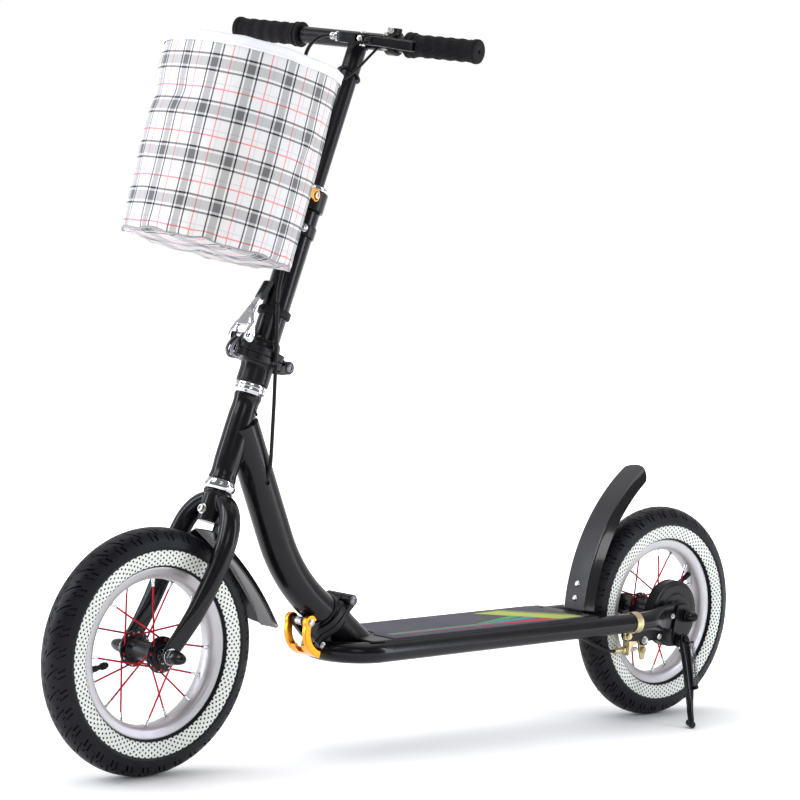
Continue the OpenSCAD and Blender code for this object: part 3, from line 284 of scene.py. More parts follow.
def make(name, b, mats, body, rep=(), bevel=0.0, seg=2, ang=32, sub=0, sharp=None, weld=True, wn=True, ride=True):
    me = bpy.data.meshes.new(name)
    me.from_pydata([(x * 0.001, y * 0.001, z * 0.001) for x, y, z in b.v], [], b.f)
    me.update()
    me.polygons.foreach_set("material_index", b.m)
    bm = bmesh.new()
    bm.from_mesh(me)
    if weld:
        bmesh.ops.remove_doubles(bm, verts=bm.verts, dist=3e-6)
    bmesh.ops.recalc_face_normals(bm, faces=bm.faces)
    bm.to_mesh(me)
    bm.free()
    me.polygons.foreach_set("use_smooth", [True] * len(me.polygons))
    if not bevel:
        me.set_sharp_from_angle(angle=math.radians(sharp or 38))
    o = bpy.data.objects.new(name, me)
    bpy.context.scene.collection.objects.link(o)
    for m in (mats if isinstance(mats, (list, tuple)) else [mats]):
        me.materials.append(m)
    if bevel:
        md = o.modifiers.new("bevel", "BEVEL")
        md.width, md.segments, md.limit_method, md.angle_limit = bevel * 0.001, seg, "ANGLE", math.radians(ang)
        md.miter_outer = "MITER_ARC"
        md.use_clamp_overlap = True
    if sub:
        md = o.modifiers.new("sub", "SUBSURF")
        md.levels = md.render_levels = sub
    if bevel and wn:
        md = o.modifiers.new("wn", "WEIGHTED_NORMAL")
        md.keep_sharp = True
        md.weight = 60
    if ride:
        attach(o, body)
    if rep:
        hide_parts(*rep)
    return o


def bake(o):
    """applies the modifiers to the piece's own mesh."""
    dg = bpy.context.evaluated_depsgraph_get()
    me = bpy.data.meshes.new_from_object(o.evaluated_get(dg))
    old = o.data
    o.modifiers.clear()
    o.data = me
    bpy.data.meshes.remove(old)
    return o


def fuse(o, voxel=0.9, smooth=6, factor=0.5):
    """one cast body out of overlapping solids, with soft inside corners."""
    mats = [m for m in o.data.materials]
    md = o.modifiers.new("rm", "REMESH")
    md.mode, md.voxel_size, md.use_smooth_shade = "VOXEL", voxel * 0.001, True
    md = o.modifiers.new("sm", "SMOOTH")
    md.factor, md.iterations = factor, smooth
    bpy.context.view_layer.update()
    bake(o)
    if not o.data.materials:
        for m in mats[:1]:
            o.data.materials.append(m)
    o.data.polygons.foreach_set("use_smooth", [True] * len(o.data.polygons))
    return o


# ------------------------------------------------------------------ material helpers
class NT:
    def __init__(self, name):
        self.mat = bpy.data.materials.new(name)
        self.mat.use_nodes = True
        self.t = self.mat.node_tree
        self.bsdf = self.t.nodes["Principled BSDF"]

    def n(self, kind, **kw):
        nd = self.t.nodes.new(kind)
        for k, v in kw.items():
            setattr(nd, k, v)
        return nd

    def link(self, a, b):
        self.t.links.new(a, b)

    def put(self, sock, v):
        if isinstance(v, bpy.types.NodeSocket):
            self.link(v, sock)
        elif v is not None:
            sock.default_value = v

    def m(self, op, a, b=None, c=None, clamp=False):
        nd = self.n("ShaderNodeMath", operation=op, use_clamp=clamp)
        self.put(nd.inputs[0], a)
        if b is not None:
            self.put(nd.inputs[1], b)
        if c is not None:
            self.put(nd.inputs[2], c)
        return nd.outputs[0]

    def coords(self):
        return self.n("ShaderNodeTexCoord").outputs["Object"]

    def sep(self, v):
        nd = self.n("ShaderNodeSeparateXYZ")
        self.link(v, nd.inputs[0])
        return nd.outputs[0], nd.outputs[1], nd.outputs[2]

    def comb(self, x, y, z):
        nd = self.n("ShaderNodeCombineXYZ")
        for i, s in enumerate((x, y, z)):
            self.put(nd.inputs[i], s)
        return nd.outputs[0]

    def noise(self, vec, scale, detail=3.0, rough=0.55, dist=0.0):
        nd = self.n("ShaderNodeTexNoise")
        self.link(vec, nd.inputs["Vector"])
        nd.inputs["Scale"].default_value = scale
        nd.inputs["Detail"].default_value = detail
        nd.inputs["Roughness"].default_value = rough
        nd.inputs["Distortion"].default_value = dist
        return nd.outputs["Fac"]

    def voronoi(self, vec, scale, feature="F1"):
        nd = self.n("ShaderNodeTexVoronoi", feature=feature)
        self.link(vec, nd.inputs["Vector"])
        nd.inputs["Scale"].default_value = scale
        return nd.outputs["Distance"]

    def mix(self, fac, a, b):
        nd = self.n("ShaderNodeMix", data_type="RGBA")
        self.put(nd.inputs[0], fac)
        self.put(nd.inputs[6], a if isinstance(a, bpy.types.NodeSocket) else (*a, 1.0))
        self.put(nd.inputs[7], b if isinstance(b, bpy.types.NodeSocket) else (*b, 1.0))
        return nd.outputs[2]

    def remap(self, v, a0, a1, b0, b1):
        nd = self.n("ShaderNodeMapRange")
        self.link(v, nd.inputs[0])
        for i, x in enumerate((a0, a1, b0, b1)):
            nd.inputs[1 + i].default_value = x
        return nd.outputs[0]

    def bump(self, h, strength, dist, prev=None):
        nd = self.n("ShaderNodeBump")
        nd.inputs["Strength"].default_value = strength
        nd.inputs["Distance"].default_value = dist
        self.link(h, nd.inputs["Height"])
        if prev is not None:
            self.link(prev, nd.inputs["Normal"])
        return nd.outputs[0]

    def out(self, color=None, rough=None, metal=None, normal=None, **kw):
        s = self.bsdf.inputs
        if color is not None:
            self.put(s["Base Color"], color if isinstance(color, bpy.types.NodeSocket) else (*color, 1.0))
        if rough is not None:
            self.put(s["Roughness"], rough)
        if metal is not None:
            self.put(s["Metallic"], metal)
        if normal is not None:
            self.link(normal, s["Normal"])
        for k, v in kw.items():
            s[k.replace("_", " ")].default_value = v
        return self.mat


def paint(name, base, rough, coat=0.0, coat_rough=0.05, orange=0.0, var=0.25, dust=0.0, spec=0.5):
    """painted or moulded surface: colour drift, roughness drift, faint orange peel and dust in noise patches."""
    m = NT(name)
    co = m.coords()
    big = m.noise(co, 14.0, 4.0)
    fine = m.noise(co, 900.0, 2.0)
    col = m.mix(m.remap(big, 0.3, 0.7, 0.0, 1.0), tuple(c * (1 - var) for c in base), tuple(c * (1 + var) for c in base))
    if dust:
        d = m.noise(co, 60.0, 5.0, 0.7)
        col = m.mix(m.remap(d, 0.55, 0.8, 0.0, dust), col, (0.18, 0.17, 0.16))
    smear = m.noise(co, 35.0, 5.0, 0.65, 0.6)
    r = m.remap(smear, 0.25, 0.75, rough * 0.85, min(1.0, rough * 1.22))
    nrm = m.bump(fine, orange, 0.0004) if orange else None
    return m.out(col, r, 0.0, nrm, Coat_Weight=coat, Coat_Roughness=coat_rough, Specular_IOR_Level=spec)


def metal(name, base, rough, brushed=None, var=0.12, scratch=0.0, tint=None, coat=0.0):
    """bare metal. brushed = direction scale (x, y, z) of the brushing noise."""
    m = NT(name)
    co = m.coords()
    big = m.noise(co, 22.0, 4.0)
    col = m.mix(m.remap(big, 0.3, 0.7, 0, 1), tuple(c * (1 - var) for c in base), tuple(min(1, c * (1 + var * 0.6)) for c in base))
    if tint:
        t = m.noise(co, 48.0, 5.0, 0.7)
        col = m.mix(m.remap(t, 0.45, 0.75, 0, 0.55), col, tint)
    fine = m.noise(co, 500.0, 3.0)
    nrm = m.bump(fine, 0.05 + scratch, 0.0003)
    if brushed:
        mp = m.n("ShaderNodeMapping")
        m.link(co, mp.inputs[0])
        mp.inputs["Scale"].default_value = brushed
        br = m.noise(mp.outputs[0], 1.0, 3.0)
        nrm = m.bump(br, 0.12, 0.0005, nrm)
        r = m.remap(br, 0.2, 0.8, rough * 0.8, min(1, rough * 1.35))
    else:
        r = m.remap(m.noise(co, 60.0, 4.0), 0.25, 0.75, rough * 0.75, min(1, rough * 1.35))
    return m.out(col, r, 1.0, nrm, Coat_Weight=coat)


BLACK = paint("black_enamel", (0.0042, 0.0042, 0.0058), 0.24, coat=0.2, coat_rough=0.12, orange=0.03, spec=0.18)
SATIN = paint("black_satin", (0.0052, 0.0052, 0.0068), 0.32, coat=0.08, coat_rough=0.25, orange=0.07, spec=0.18)
CAST = paint("black_casting", (0.0055, 0.0055, 0.007), 0.3, coat=0.1, coat_rough=0.2, orange=0.14, dust=0.02, spec=0.18)
PLATE = paint("deck_coating", (0.008, 0.008, 0.010), 0.38, orange=0.1, dust=0.04, spec=0.22)
FENDER = paint("fender_gloss", (0.009, 0.009, 0.012), 0.2, coat=0.35, coat_rough=0.06, orange=0.02, spec=0.3)
FENDER_F = paint("fender_face", (0.035, 0.034, 0.039), 0.5, orange=0.22, var=0.18)
NUTBLK = paint("nut_black", (0.0045, 0.0045, 0.0055), 0.22, coat=0.25, orange=0.03, spec=0.2)
PLAST = paint("plastic_black", (0.006, 0.006, 0.007), 0.4, orange=0.1, spec=0.2)
CABLE = paint("cable_jacket", (0.006, 0.006, 0.007), 0.34, orange=0.05, spec=0.2)
RUBBER = paint("rubber_band", (0.008, 0.008, 0.009), 0.58, orange=0.15, dust=0.04, spec=0.2)
CHROME = metal("chrome", (0.60, 0.61, 0.63), 0.1, var=0.06)
STEEL = metal("steel", (0.50, 0.51, 0.53), 0.24, var=0.12)
STEELD = metal("steel_dark", (0.16, 0.16, 0.17), 0.34, var=0.2)
ZINC = metal("zinc_yellow", (0.62, 0.53, 0.3), 0.32, var=0.2, tint=(0.5, 0.42, 0.33))
ZINCW = metal("zinc_white", (0.56, 0.56, 0.54), 0.3, var=0.15, tint=(0.62, 0.56, 0.42))
ORANGE = metal("orange_anodised", (0.86, 0.33, 0.015), 0.27, brushed=(60, 900, 60), var=0.1, coat=0.3)
DRUM = metal("drum_steel", (0.42, 0.42, 0.43), 0.35, var=0.2)
SPOKE = metal("spoke_red", (0.5, 0.02, 0.035), 0.34, var=0.2, tint=(0.3, 0.012, 0.02))
NIPPLE = metal("nipple", (0.75, 0.75, 0.76), 0.2)
ALLOY = metal("alloy", (0.6, 0.6, 0.62), 0.3, brushed=(300, 300, 300))


# ================================================================== wheels
def tyre_mat(name, xc):
    m = NT(name)
    co = m.coords()
    x, y, z = m.sep(co)
    dx = m.m("SUBTRACT", x, xc * 0.001)
    dz = m.m("SUBTRACT", z, ZW * 0.001)
    r = m.m("MULTIPLY", m.m("SQRT", m.m("ADD", m.m("MULTIPLY", dx, dx), m.m("MULTIPLY", dz, dz))), 1000.0)
    th = m.m("ARCTAN2", dz, dx)
    N, R0, DR = 82.0, 109.2, 3.3
    row = m.m("ROUND", m.m("DIVIDE", m.m("SUBTRACT", r, R0), DR))
    odd = m.m("MODULO", m.m("ADD", row, 8.0), 2.0)
    u = m.m("ADD", m.m("MULTIPLY", th, N / (2 * math.pi)), m.m("MULTIPLY", odd, 0.5))
    du = m.m("SUBTRACT", m.m("FRACT", m.m("ADD", u, 200.5)), 0.5)
    ddx = m.m("MULTIPLY", m.m("MULTIPLY", du, r), 2 * math.pi / N)
    ddr = m.m("SUBTRACT", r, m.m("ADD", R0, m.m("MULTIPLY", row, DR)))
    # wobble of the print
    wob = m.m("MULTIPLY", m.m("SUBTRACT", m.noise(co, 300.0, 2.0), 0.5), 0.5)
    d = m.m("ADD", m.m("SQRT", m.m("ADD", m.m("MULTIPLY", ddx, ddx), m.m("MULTIPLY", ddr, ddr))), wob)
    inner = m.m("MULTIPLY", m.m("GREATER_THAN", row, 0.5), m.m("LESS_THAN", row, 5.5))
    dot = m.m("MULTIPLY", m.remap(d, 1.16, 1.5, 1.0, 0.0), inner)
    edge = m.m("SUBTRACT", 1.0, inner)
    tooth = m.m("MULTIPLY", m.m("MULTIPLY", m.remap(m.m("ABSOLUTE", ddx), 1.3, 1.65, 1.0, 0.0), m.remap(m.m("ABSOLUTE", ddr), 2.5, 2.9, 1.0, 0.0)), edge)
    band = m.m("MULTIPLY", m.remap(r, 109.35, 109.75, 0.0, 1.0), m.remap(r, 128.45, 128.9, 1.0, 0.0))
    white = m.m("MULTIPLY", band, m.m("SUBTRACT", 1.0, m.m("MAXIMUM", dot, tooth)), clamp=True)
    big = m.noise(co, 18.0, 5.0, 0.6)
    cream = m.mix(m.remap(big, 0.3, 0.7, 0, 1), (0.76, 0.79, 0.73), (0.86, 0.885, 0.83))
    dust = m.noise(co, 70.0, 6.0, 0.7)
    dark = m.mix(m.remap(dust, 0.45, 0.8, 0.0, 0.5), (0.0048, 0.005, 0.008), (0.010, 0.0105, 0.015))
    col = m.mix(white, dark, cream)
    rough = m.m("ADD", m.remap(m.noise(co, 40.0, 4.0), 0.3, 0.7, 0.36, 0.52), m.m("MULTIPLY", white, 0.12))
    fine = m.noise(co, 1400.0, 3.0)
    rings = m.m("MULTIPLY", m.m("SINE", m.m("MULTIPLY", r, 4.2)), 0.12)
    h = m.m("ADD", m.m("ADD", m.m("MULTIPLY", fine, 0.35), rings), m.m("MULTIPLY", white, 0.9))
    nrm = m.bump(h, 0.45, 0.0004)
    return m.out(col, rough, 0.0, nrm, Coat_Weight=0.0, Coat_Roughness=0.3, Specular_IOR_Level=0.2)


def tyre(name, xc, body, node, mat):
    half = [(0, 155), (5, 154.6), (10, 153.2), (14, 151), (17.5, 147.8), (20.3, 143.6), (22.3, 138.6), (23.4, 133.8)]
    dense = np.array(cr(half, 12))
    ys = [0, 1.3, 2.4, 2.6, 4.2, 6, 8, 9.9, 10.1, 12, 13, 13.2, 14.6, 16.0, 16.2, 17.2, 17.4, 18.6, 20.0, 21.4, 21.6, 22.4, 23.0]
    Rs = np.interp(ys, dense[:, 0], dense[:, 1])
    prof = [(y, r) for y, r in zip(ys, Rs)]
    prof += [(23.4, 133.8), (23.75, 132.9), (23.8, 131.9), (23.55, 131.2), (23.3, 129.4), (22.95, 129.0), (23.05, 127.5), (23.0, 124), (22.7, 120), (22.0, 114),
             (21, 110.6), (20.3, 109.5), (19.2, 108.9), (17.5, 108.2), (16.2, 107.4), (15.4, 106.9)]
    inner = [(14.5, 110), (18.5, 117), (20.2, 126), (18.5, 137), (13, 146), (6, 150.5), (0, 151.3)]
    pts = [(-y, r, 0) for y, r in reversed(inner[:-1])] + [(-y, r, 1) for y, r in reversed(prof)][:0]
    # full closed section: near tread -> near bead -> inside -> far bead -> far tread
    sec = [(y, r, 1) for y, r in prof] + [(y, r, 0) for y, r in inner] + [(-y, r, 0) for y, r in reversed(inner[:-1])] + [(-y, r, 1) for y, r in reversed(prof[1:])]
    m = len(sec)
    nrm = []
    for i in range(m):
        a, c = sec[i - 1], sec[(i + 1) % m]
        ty, tr = c[0] - a[0], c[1] - a[1]
        L = math.hypot(ty, tr) or 1
        n = (-tr / L, ty / L)          # outward
        cy0, cr0 = sec[i][0], sec[i][1] - 128
        if n[0] * cy0 + n[1] * cr0 < 0:
            n = (-n[0], -n[1])
        nrm.append(n)
    pitches = 36
    P = 2 * math.pi * 155 / pitches
    half_u = [-0.12, 0.0, 1.0, 2.0, 2.12, 3.2, 4.88, 5.0, 6.4, 7.8, 7.92, 9.3, 9.42, 10.3, 11.2, 11.32, 12.5]
    us = half_u + [u + P / 2 for u in half_u]
    cols = [(p * P + u, u, p) for p in range(pitches) for u in us]
    nc = len(cols)
    V = np.zeros((m, nc, 3))
    for i, (y, r, tread) in enumerate(sec):
        ay = abs(y)
        sh = 20.0 * (min(ay, 18.0) / 18.0) ** 0.72 + 4.5 * min(1.0, max(0.0, (ay - 18) / 5)) if r > 130 else 24.5
        side = 0 if y >= 0 else 1
        for k, (U, u, p) in enumerate(cols):
            d = 0.0
            if tread and r > 134:
                w = u - (P / 2 if u > P / 2 - 0.5 else 0)
                hb = 1 if u > P / 2 - 0.5 else 0
                if hb == side:
                    if 2.5 < ay < 17.3 and -0.01 < w < 2.01:
                        d = 3.0
                    if 17.3 < ay < 21.5 and 4.99 < w < 7.81:
                        d = 2.6
                    if 13.1 < ay < 16.1 and 9.41 < w < 11.21:
                        d = 1.6
                else:
                    if 16.1 < ay < 21.5 and -0.01 < w < 2.01:
                        d = 2.2
                    if 10.0 < ay < 13.1 and 4.99 < w < 6.5:
                        d = 1.6
                    if ay < 1.4 and 4.99 < w < 7.81:
                        d = 1.3
            th = (U - sh) / 155.0
            ny, nr = nrm[i]
            rr, yy = r - d * nr, y - d * ny
            V[i, k] = (rr * math.cos(th), rr * math.sin(th), yy)
    M = MY((xc, 0, ZW))
    Mn = np.array(M)
    W = V.reshape(-1, 3) @ Mn[:3, :3].T + Mn[:3, 3]
    faces = []
    for i in range(m):
        a, c = i * nc, ((i + 1) % m) * nc
        for k in range(nc):
            k2 = (k + 1) % nc
            faces.append((a + k, c + k, c + k2, a + k2))
    b = B()
    b.v = [tuple(v) for v in W]
    b.f = faces
    b.m = [0] * len(faces)
    # moulding hairs
    rng = random.Random(int(xc) + 5)
    for q in range(95):
        th = rng.uniform(0, 2 * math.pi)
        y = rng.choice([0.5, 8.0, -8.0, 15.5, -15.5, 19.5, -19.5, 22.6])
        r = float(np.interp(abs(y), dense[:, 0], dense[:, 1]))
        if math.sin(th) > 0.86:
            continue
        a = Vector((r * math.cos(th) * 0.997, r * math.sin(th) * 0.997, y))
        L = rng.uniform(1.6, 3.2)
        e = a + Vector((math.cos(th + rng.uniform(-0.5, 0.5)), math.sin(th + rng.uniform(-0.5, 0.5)), 0.35 * (1 if y > 10 else -1 if y < -10 else 0))).normalized() * L
        sweep(b, [a, a.lerp(e, 0.5), e], [0.34, 0.26, 0.12], n=5, M=M)
    make(name, b, mat, body, (node,), sharp=34, weld=False)


RIMM = NT("rim_alloy")
_co = RIMM.coords()
_x, _y, _z = RIMM.sep(_co)
_ax = RIMM.m("SUBTRACT", RIMM.m("ABSOLUTE", _x), 0.474)
_az = RIMM.m("SUBTRACT", _z, 0.155)
_r = RIMM.m("SQRT", RIMM.m("ADD", RIMM.m("MULTIPLY", _ax, _ax), RIMM.m("MULTIPLY", _az, _az)))
_th = RIMM.m("ARCTAN2", _az, _ax)
_v = RIMM.comb(RIMM.m("MULTIPLY", _th, 3.0), RIMM.m("MULTIPLY", _r, 2600.0), RIMM.m("MULTIPLY", _y, 2600.0))
_br = RIMM.noise(_v, 1.0, 4.0, 0.6)
_mo = RIMM.noise(_co, 14.0, 3.0, 0.5)
_col = RIMM.mix(RIMM.remap(_mo, 0.38, 0.68, 0, 1), (0.50, 0.49, 0.505), (0.45, 0.435, 0.45))
_sc = RIMM.noise(_co, 160.0, 6.0, 0.8)
RIMM.out(_col, RIMM.m("ADD", RIMM.remap(_br, 0.25, 0.75, 0.32, 0.46), RIMM.remap(_sc, 0.5, 0.75, 0.0, 0.1)), 0.7,
         RIMM.bump(_br, 0.14, 0.0004, RIMM.bump(_sc, 0.06, 0.0003)))
RIM = RIMM.mat


def wheel(tag, xc, body, yn, yo, z0, z1, valve, rot):
    M = MY((xc, 0, ZW))
    tyre(tag + "_tyre_v", xc, body, tag + "_tyre", tyre_mat(tag + "_tyre_rubber", xc))
    # rim
    b = B()
    hp = [(107.2, 15.2), (106.9, 15.9), (106.2, 16.2), (104.5, 16.1), (102.5, 15.5), (99.5, 15.1), (96.5, 14.2), (94.2, 12.3), (92.6, 9.6), (91.6, 6), (91.15, 3), (91, 0)]
    prof = hp + [(r, -y) for r, y in reversed(hp[:-1])] + [(107.0, -13.9), (103.2, -13.4), (101.2, -10.5), (99.6, -5), (99.2, 0), (99.6, 5), (101.2, 10.5), (103.2, 13.4), (107.0, 13.9)]
    lathe(b, prof, 200, M, loop=True)
    make(tag + "_rim_v", b, RIM, body, (tag + "_rim",), sharp=30)
    # spokes
    b = B()
    n = 16
    for i in range(n):
        s = 1 if i % 2 == 0 else -1
        lead = 52 if (i // 2) % 2 == 0 else -52
        ta, ha = math.radians(360 * i / n), math.radians(360 * i / n + lead)
        side = 1 if lead > 0 else -1
        f = yn if s > 0 else yo
        a = Vector((18.5 * math.cos(ha), 18.5 * math.sin(ha), f + side * 2.75))
        e = Vector((91.6 * math.cos(ta), 91.6 * math.sin(ta), s * 3))
        u = (e - a).normalized()
        head = Vector((a.x, a.y, f - side * 2.6))
        bend = [head, Vector((a.x, a.y, f + side * 0.6)), Vector((a.x, a.y, f + side * 1.9)) + u * 0.5, a + u * 2.2, a + u * 6, a.lerp(e, 0.5), e - u * 1.0]
        sweep(b, [M @ p for p in bend], [1.2] * 7, n=12, mat=0)
        sweep(b, [M @ (head - Vector((0, 0, side * 0.9))), M @ (head - Vector((0, 0, side * 0.3))), M @ (head + Vector((0, 0, side * 0.2)))], [1.3, 2.1, 1.5], n=14, mat=0)
        # nipple: flats near the spoke, rounded flange at the rim
        sweep(b, [M @ (e - u * t) for t in (10.8, 10.2, 5.2, 4.4, 1.2, 0.4)], [1.25, 1.75, 1.75, 2.25, 2.3, 2.9], n=14, mat=1)
    make(tag + "_spokes_v", b, [SPOKE, NIPPLE], body, (tag + "_spokes",), sharp=40)
    # hub
    b = B()
    prof = [(11.2, z0 + 0.1), (13.4, z0 + 0.1), (14, z0 + 0.8), (14, yo - 4.6)]
    for f, sgn in ((yo, -1), (yn, 1)):
        fl = [(16.2, f - 3.4), (16.8, f - 2.9), (17.0, f - 1.75), (22.4, f - 1.6), (23.0, f - 1.1), (23.0, f + 1.1), (22.4, f + 1.6), (17.0, f + 1.75), (16.8, f + 2.9), (16.2, f + 3.4)]
        if sgn < 0:
            prof += [(14.3, yo - 3.9)] + fl + [(14.3, yo + 4.4), (13.3, yo + 6.5), (12.6, yo + 12), (12.4, (yn + yo) / 2), (12.6, yn - 12), (13.3, yn - 6.5), (14.3, yn - 4.4)]
        else:
            prof += fl + [(14.3, yn + 3.9), (14, yn + 4.6), (14, z1 - 0.8), (13.4, z1 - 0.1), (11.2, z1 - 0.1)]
    prof += [(11.1, z1 - 2), (7.4, z1 - 2.4), (7.2, z0 + 2.4), (11.1, z0 + 2)]
    lathe(b, prof, 72, M, loop=True)
    # bright spots of the spoke holes
    for f in (yn, yo):
        for k in range(16):
            hh = math.radians(360 * k / 16 + 11.25)
            for sd in (1, -1):
                c = Vector((20.2 * math.cos(hh), 20.2 * math.sin(hh), f + sd * 1.58))
                lathe(b, [(1.45, -0.06 * sd), (1.35, 0.1 * sd), (0, 0.06 * sd)], 12, M @ Matrix.Translation(c), 1 if k % 2 else 2)
    make(tag + "_hub_v", b, [SATIN, STEEL, STEELD], body, (tag + "_hub",), sharp=32)
    # bearings: races and balls
    b = B()
    za, zb = (-33, 26) if tag == "front" else (-34, 30)
    for z in (za, zb):
        lathe(b, [(4.06, z), (6.0, z), (6.1, z + 0.4), (5.9, z + 3.5), (6.1, z + 6.6), (6.0, z + 7), (4.06, z + 7)], 40, M, loop=True)
        lathe(b, [(9.0, z + 0.2), (10.95, z), (10.95, z + 7), (9.0, z + 6.8), (9.25, z + 3.5)], 40, M, loop=True)
        for k in range(9):
            t = 2 * math.pi * k / 9
            c = M @ Vector((7.6 * math.cos(t), 7.6 * math.sin(t), z + 3.5))
            lathe(b, [(0, -1.9), (1.0, -1.6), (1.65, -0.9), (1.9, 0), (1.65, 0.9), (1.0, 1.6), (0, 1.9)], 12, Matrix.Translation(c))
    make(tag + "_bearings_v", b, STEEL, body, (tag + "_bearings",), sharp=40)
    # inner tube with valve
    b = B()
    lathe(b, [(130 + 17.3 * math.cos(t), 17.3 * math.sin(t)) for t in [2 * math.pi * k / 28 for k in range(28)]], 96, M, loop=True)
    Vm = M @ R("Z", valve) @ T(67, 0, 0) @ R("Y", 90)
    rib = lambda t, z: 0.22 * (1 if math.sin(t * 14) > 0 else -1)
    lathe(b, [(3.4, 12), (3.9, 12.6), (4.1, 22), (4.2, 24.5), (6.0, 25.2), (6.0, 27)], 24, Vm)
    lathe(b, [(3.05, 6), (3.05, 12)], 20, Vm, mat=0)
    # ribbed cap
    lathe(b, [(0, -4.6), (1.6, -4.5), (3.0, -4.0), (3.5, -3.0), (3.7, -1.2)], 56, Vm, mat=0)
    lathe(b, [(3.75, -1.2), (4.2, -0.6), (4.3, 4.8), (4.0, 5.6), (3.2, 6.1)], 56, Vm, mat=0, wob=rib)
    make(tag + "_tube_v", b, RUBBER, body, (tag + "_inner_tube",), sharp=40)


wheel("front", XF, "front_wheel", 27, -27, -33, 33, 11.25, 0)
wheel("rear", XR, "rear_wheel", 18, -28, -34, 37, -146.25, 0)


def acorn(b, M, z, tip, s, mb, ms):
    """serrated washer, hex and long faceted cap, along s."""
    A = M @ T(0, 0, z) @ (MI if s > 0 else R("X", 180))
    ser = lambda t, zz: 0.28 * math.cos(t * 30)
    lathe(b, [(4.1, 0.05), (9.9, 0.05), (10.4, 0.4), (10.4, 1.2), (9.9, 1.55), (4.1, 1.55)], 120, A, ms, loop=True, wob=lambda t, zz: ser(t, zz) if zz < 2 else 0)
    lathe(b, [(9.4, 1.6), (10.0, 2.2), (10.0, 7.0), (9.2, 8.2), (4.2, 8.3)], 6, A, mb)
    L = tip - 8
    prof = [(8.7, 8.0), (8.8, 9.4), (8.5, 8 + L * 0.22), (8.0, 8 + L * 0.42), (7.0, 8 + L * 0.62), (5.4, 8 + L * 0.8), (3.4, 8 + L * 0.93), (1.2, 8 + L * 0.985), (0, tip)]
    lathe(b, prof, 48, A, mb, wob=lambda t, zz: 0.35 * math.cos(6 * t) * max(0.0, 1 - (zz - 8) / L))


b = B()
acorn(b, MY((XF, 0, ZW)), 44.6, 29, 1, 0, 1)
acorn(b, MY((XF, 0, ZW)), -44.6, 29, -1, 0, 1)
make("front_axle_nuts_v", b, [NUTBLK, STEEL], "fork", ("front_axle_nuts",), bevel=0.25, seg=2, ang=40)
b = B()
acorn(b, MY((XR, 0, ZW)), 61.6, 24.5, 1, 0, 0)
acorn(b, MY((XR, 0, ZW)), -57.6, 24.5, -1, 0, 0)
make("rear_axle_nuts_v", b, [NUTBLK, STEEL], "deck", ("rear_axle_nuts",), bevel=0.25, seg=2, ang=40)
b = B()
M = MY((XF, 0, ZW))
lathe(b, [(0, -57.8), (3.3, -57.8), (4.0, -57.2), (4.0, 57.2), (3.3, 57.8), (0, 57.8)], 32, M)
for s0 in (33.4, -39.4):
    lathe(b, [(4.05, s0), (7.0, s0), (7.6, s0 + 0.6), (7.6, s0 + 5.4), (7.0, s0 + 6), (4.05, s0 + 6)], 6, M, loop=True)
make("front_axle_v", b, STEELD, "fork", ("front_axle",), bevel=0.25)
b = B()
M = MY((XR, 0, ZW))
lathe(b, [(0, -69.8), (3.3, -69.8), (4.0, -69.2), (4.0, 71.2), (3.3, 71.8), (0, 71.8)], 32, M)
lathe(b, [(4.05, -52.4), (7.4, -52.4), (8.0, -51.8), (8.0, -35), (7.4, -34.4), (4.05, -34.4)], 40, M, loop=True)
make("rear_axle_v", b, STEELD, "deck", ("rear_axle",), bevel=0.25)


# ================================================================== cast and welded parts
def rr(x0, x1, yh, r, n=8):
    """rounded rectangle from x0 to x1, half width yh."""
    out = []
    for (px, py, a) in ((x1 - r, -yh + r, -90), (x1 - r, yh - r, 0), (x0 + r, yh - r, 90), (x0 + r, -yh + r, 180)):
        out += circ(px, py, r, n, a, a + 90)
    return out


def smooth_outline(P, n=5):
    """closed Catmull-Rom outline."""
    m = len(P)
    out = []
    P = [np.array(p, float) for p in P]
    for i in range(m):
        p0, p1, p2, p3 = P[i - 1], P[i], P[(i + 1) % m], P[(i + 2) % m]
        for j in range(n):
            t = j / n
            q = 0.5 * ((2 * p1) + (p2 - p0) * t + (2 * p0 - 5 * p1 + 4 * p2 - p3) * t * t + (3 * p1 - p0 - 3 * p2 + p3) * t ** 3)
            out.append((float(q[0]), float(q[1])))
    return out


def cut(o, b):
    """takes the solids in b out of o."""
    me = bpy.data.meshes.new("cutter")
    me.from_pydata([(x * 0.001, y * 0.001, z * 0.001) for x, y, z in b.v], [], b.f)
    bm = bmesh.new()
    bm.from_mesh(me)
    bmesh.ops.remove_doubles(bm, verts=bm.verts, dist=1e-6)
    bmesh.ops.recalc_face_normals(bm, faces=bm.faces)
    bm.to_mesh(me)
    bm.free()
    c = bpy.data.objects.new("cutter", me)
    bpy.context.scene.collection.objects.link(c)
    md = o.modifiers.new("cut", "BOOLEAN")
    md.operation, md.object, md.solver = "DIFFERENCE", c, "MANIFOLD"
    bpy.context.view_layer.update()
    bake(o)
    bpy.data.objects.remove(c)
    bpy.data.meshes.remove(me)
    o.data.polygons.foreach_set("use_smooth", [True] * len(o.data.polygons))
    o.data.set_sharp_from_angle(angle=math.radians(40))
    return o


def cast(name, b, mat, body, rep, voxel=0.9, smooth=5, cuts=None, factor=0.5):
    o = make(name, b, mat, body, rep)
    fuse(o, voxel, smooth, factor)
    if cuts:
        cut(o, cuts)
    if not o.data.materials:
        o.data.materials.append(mat)
    return o


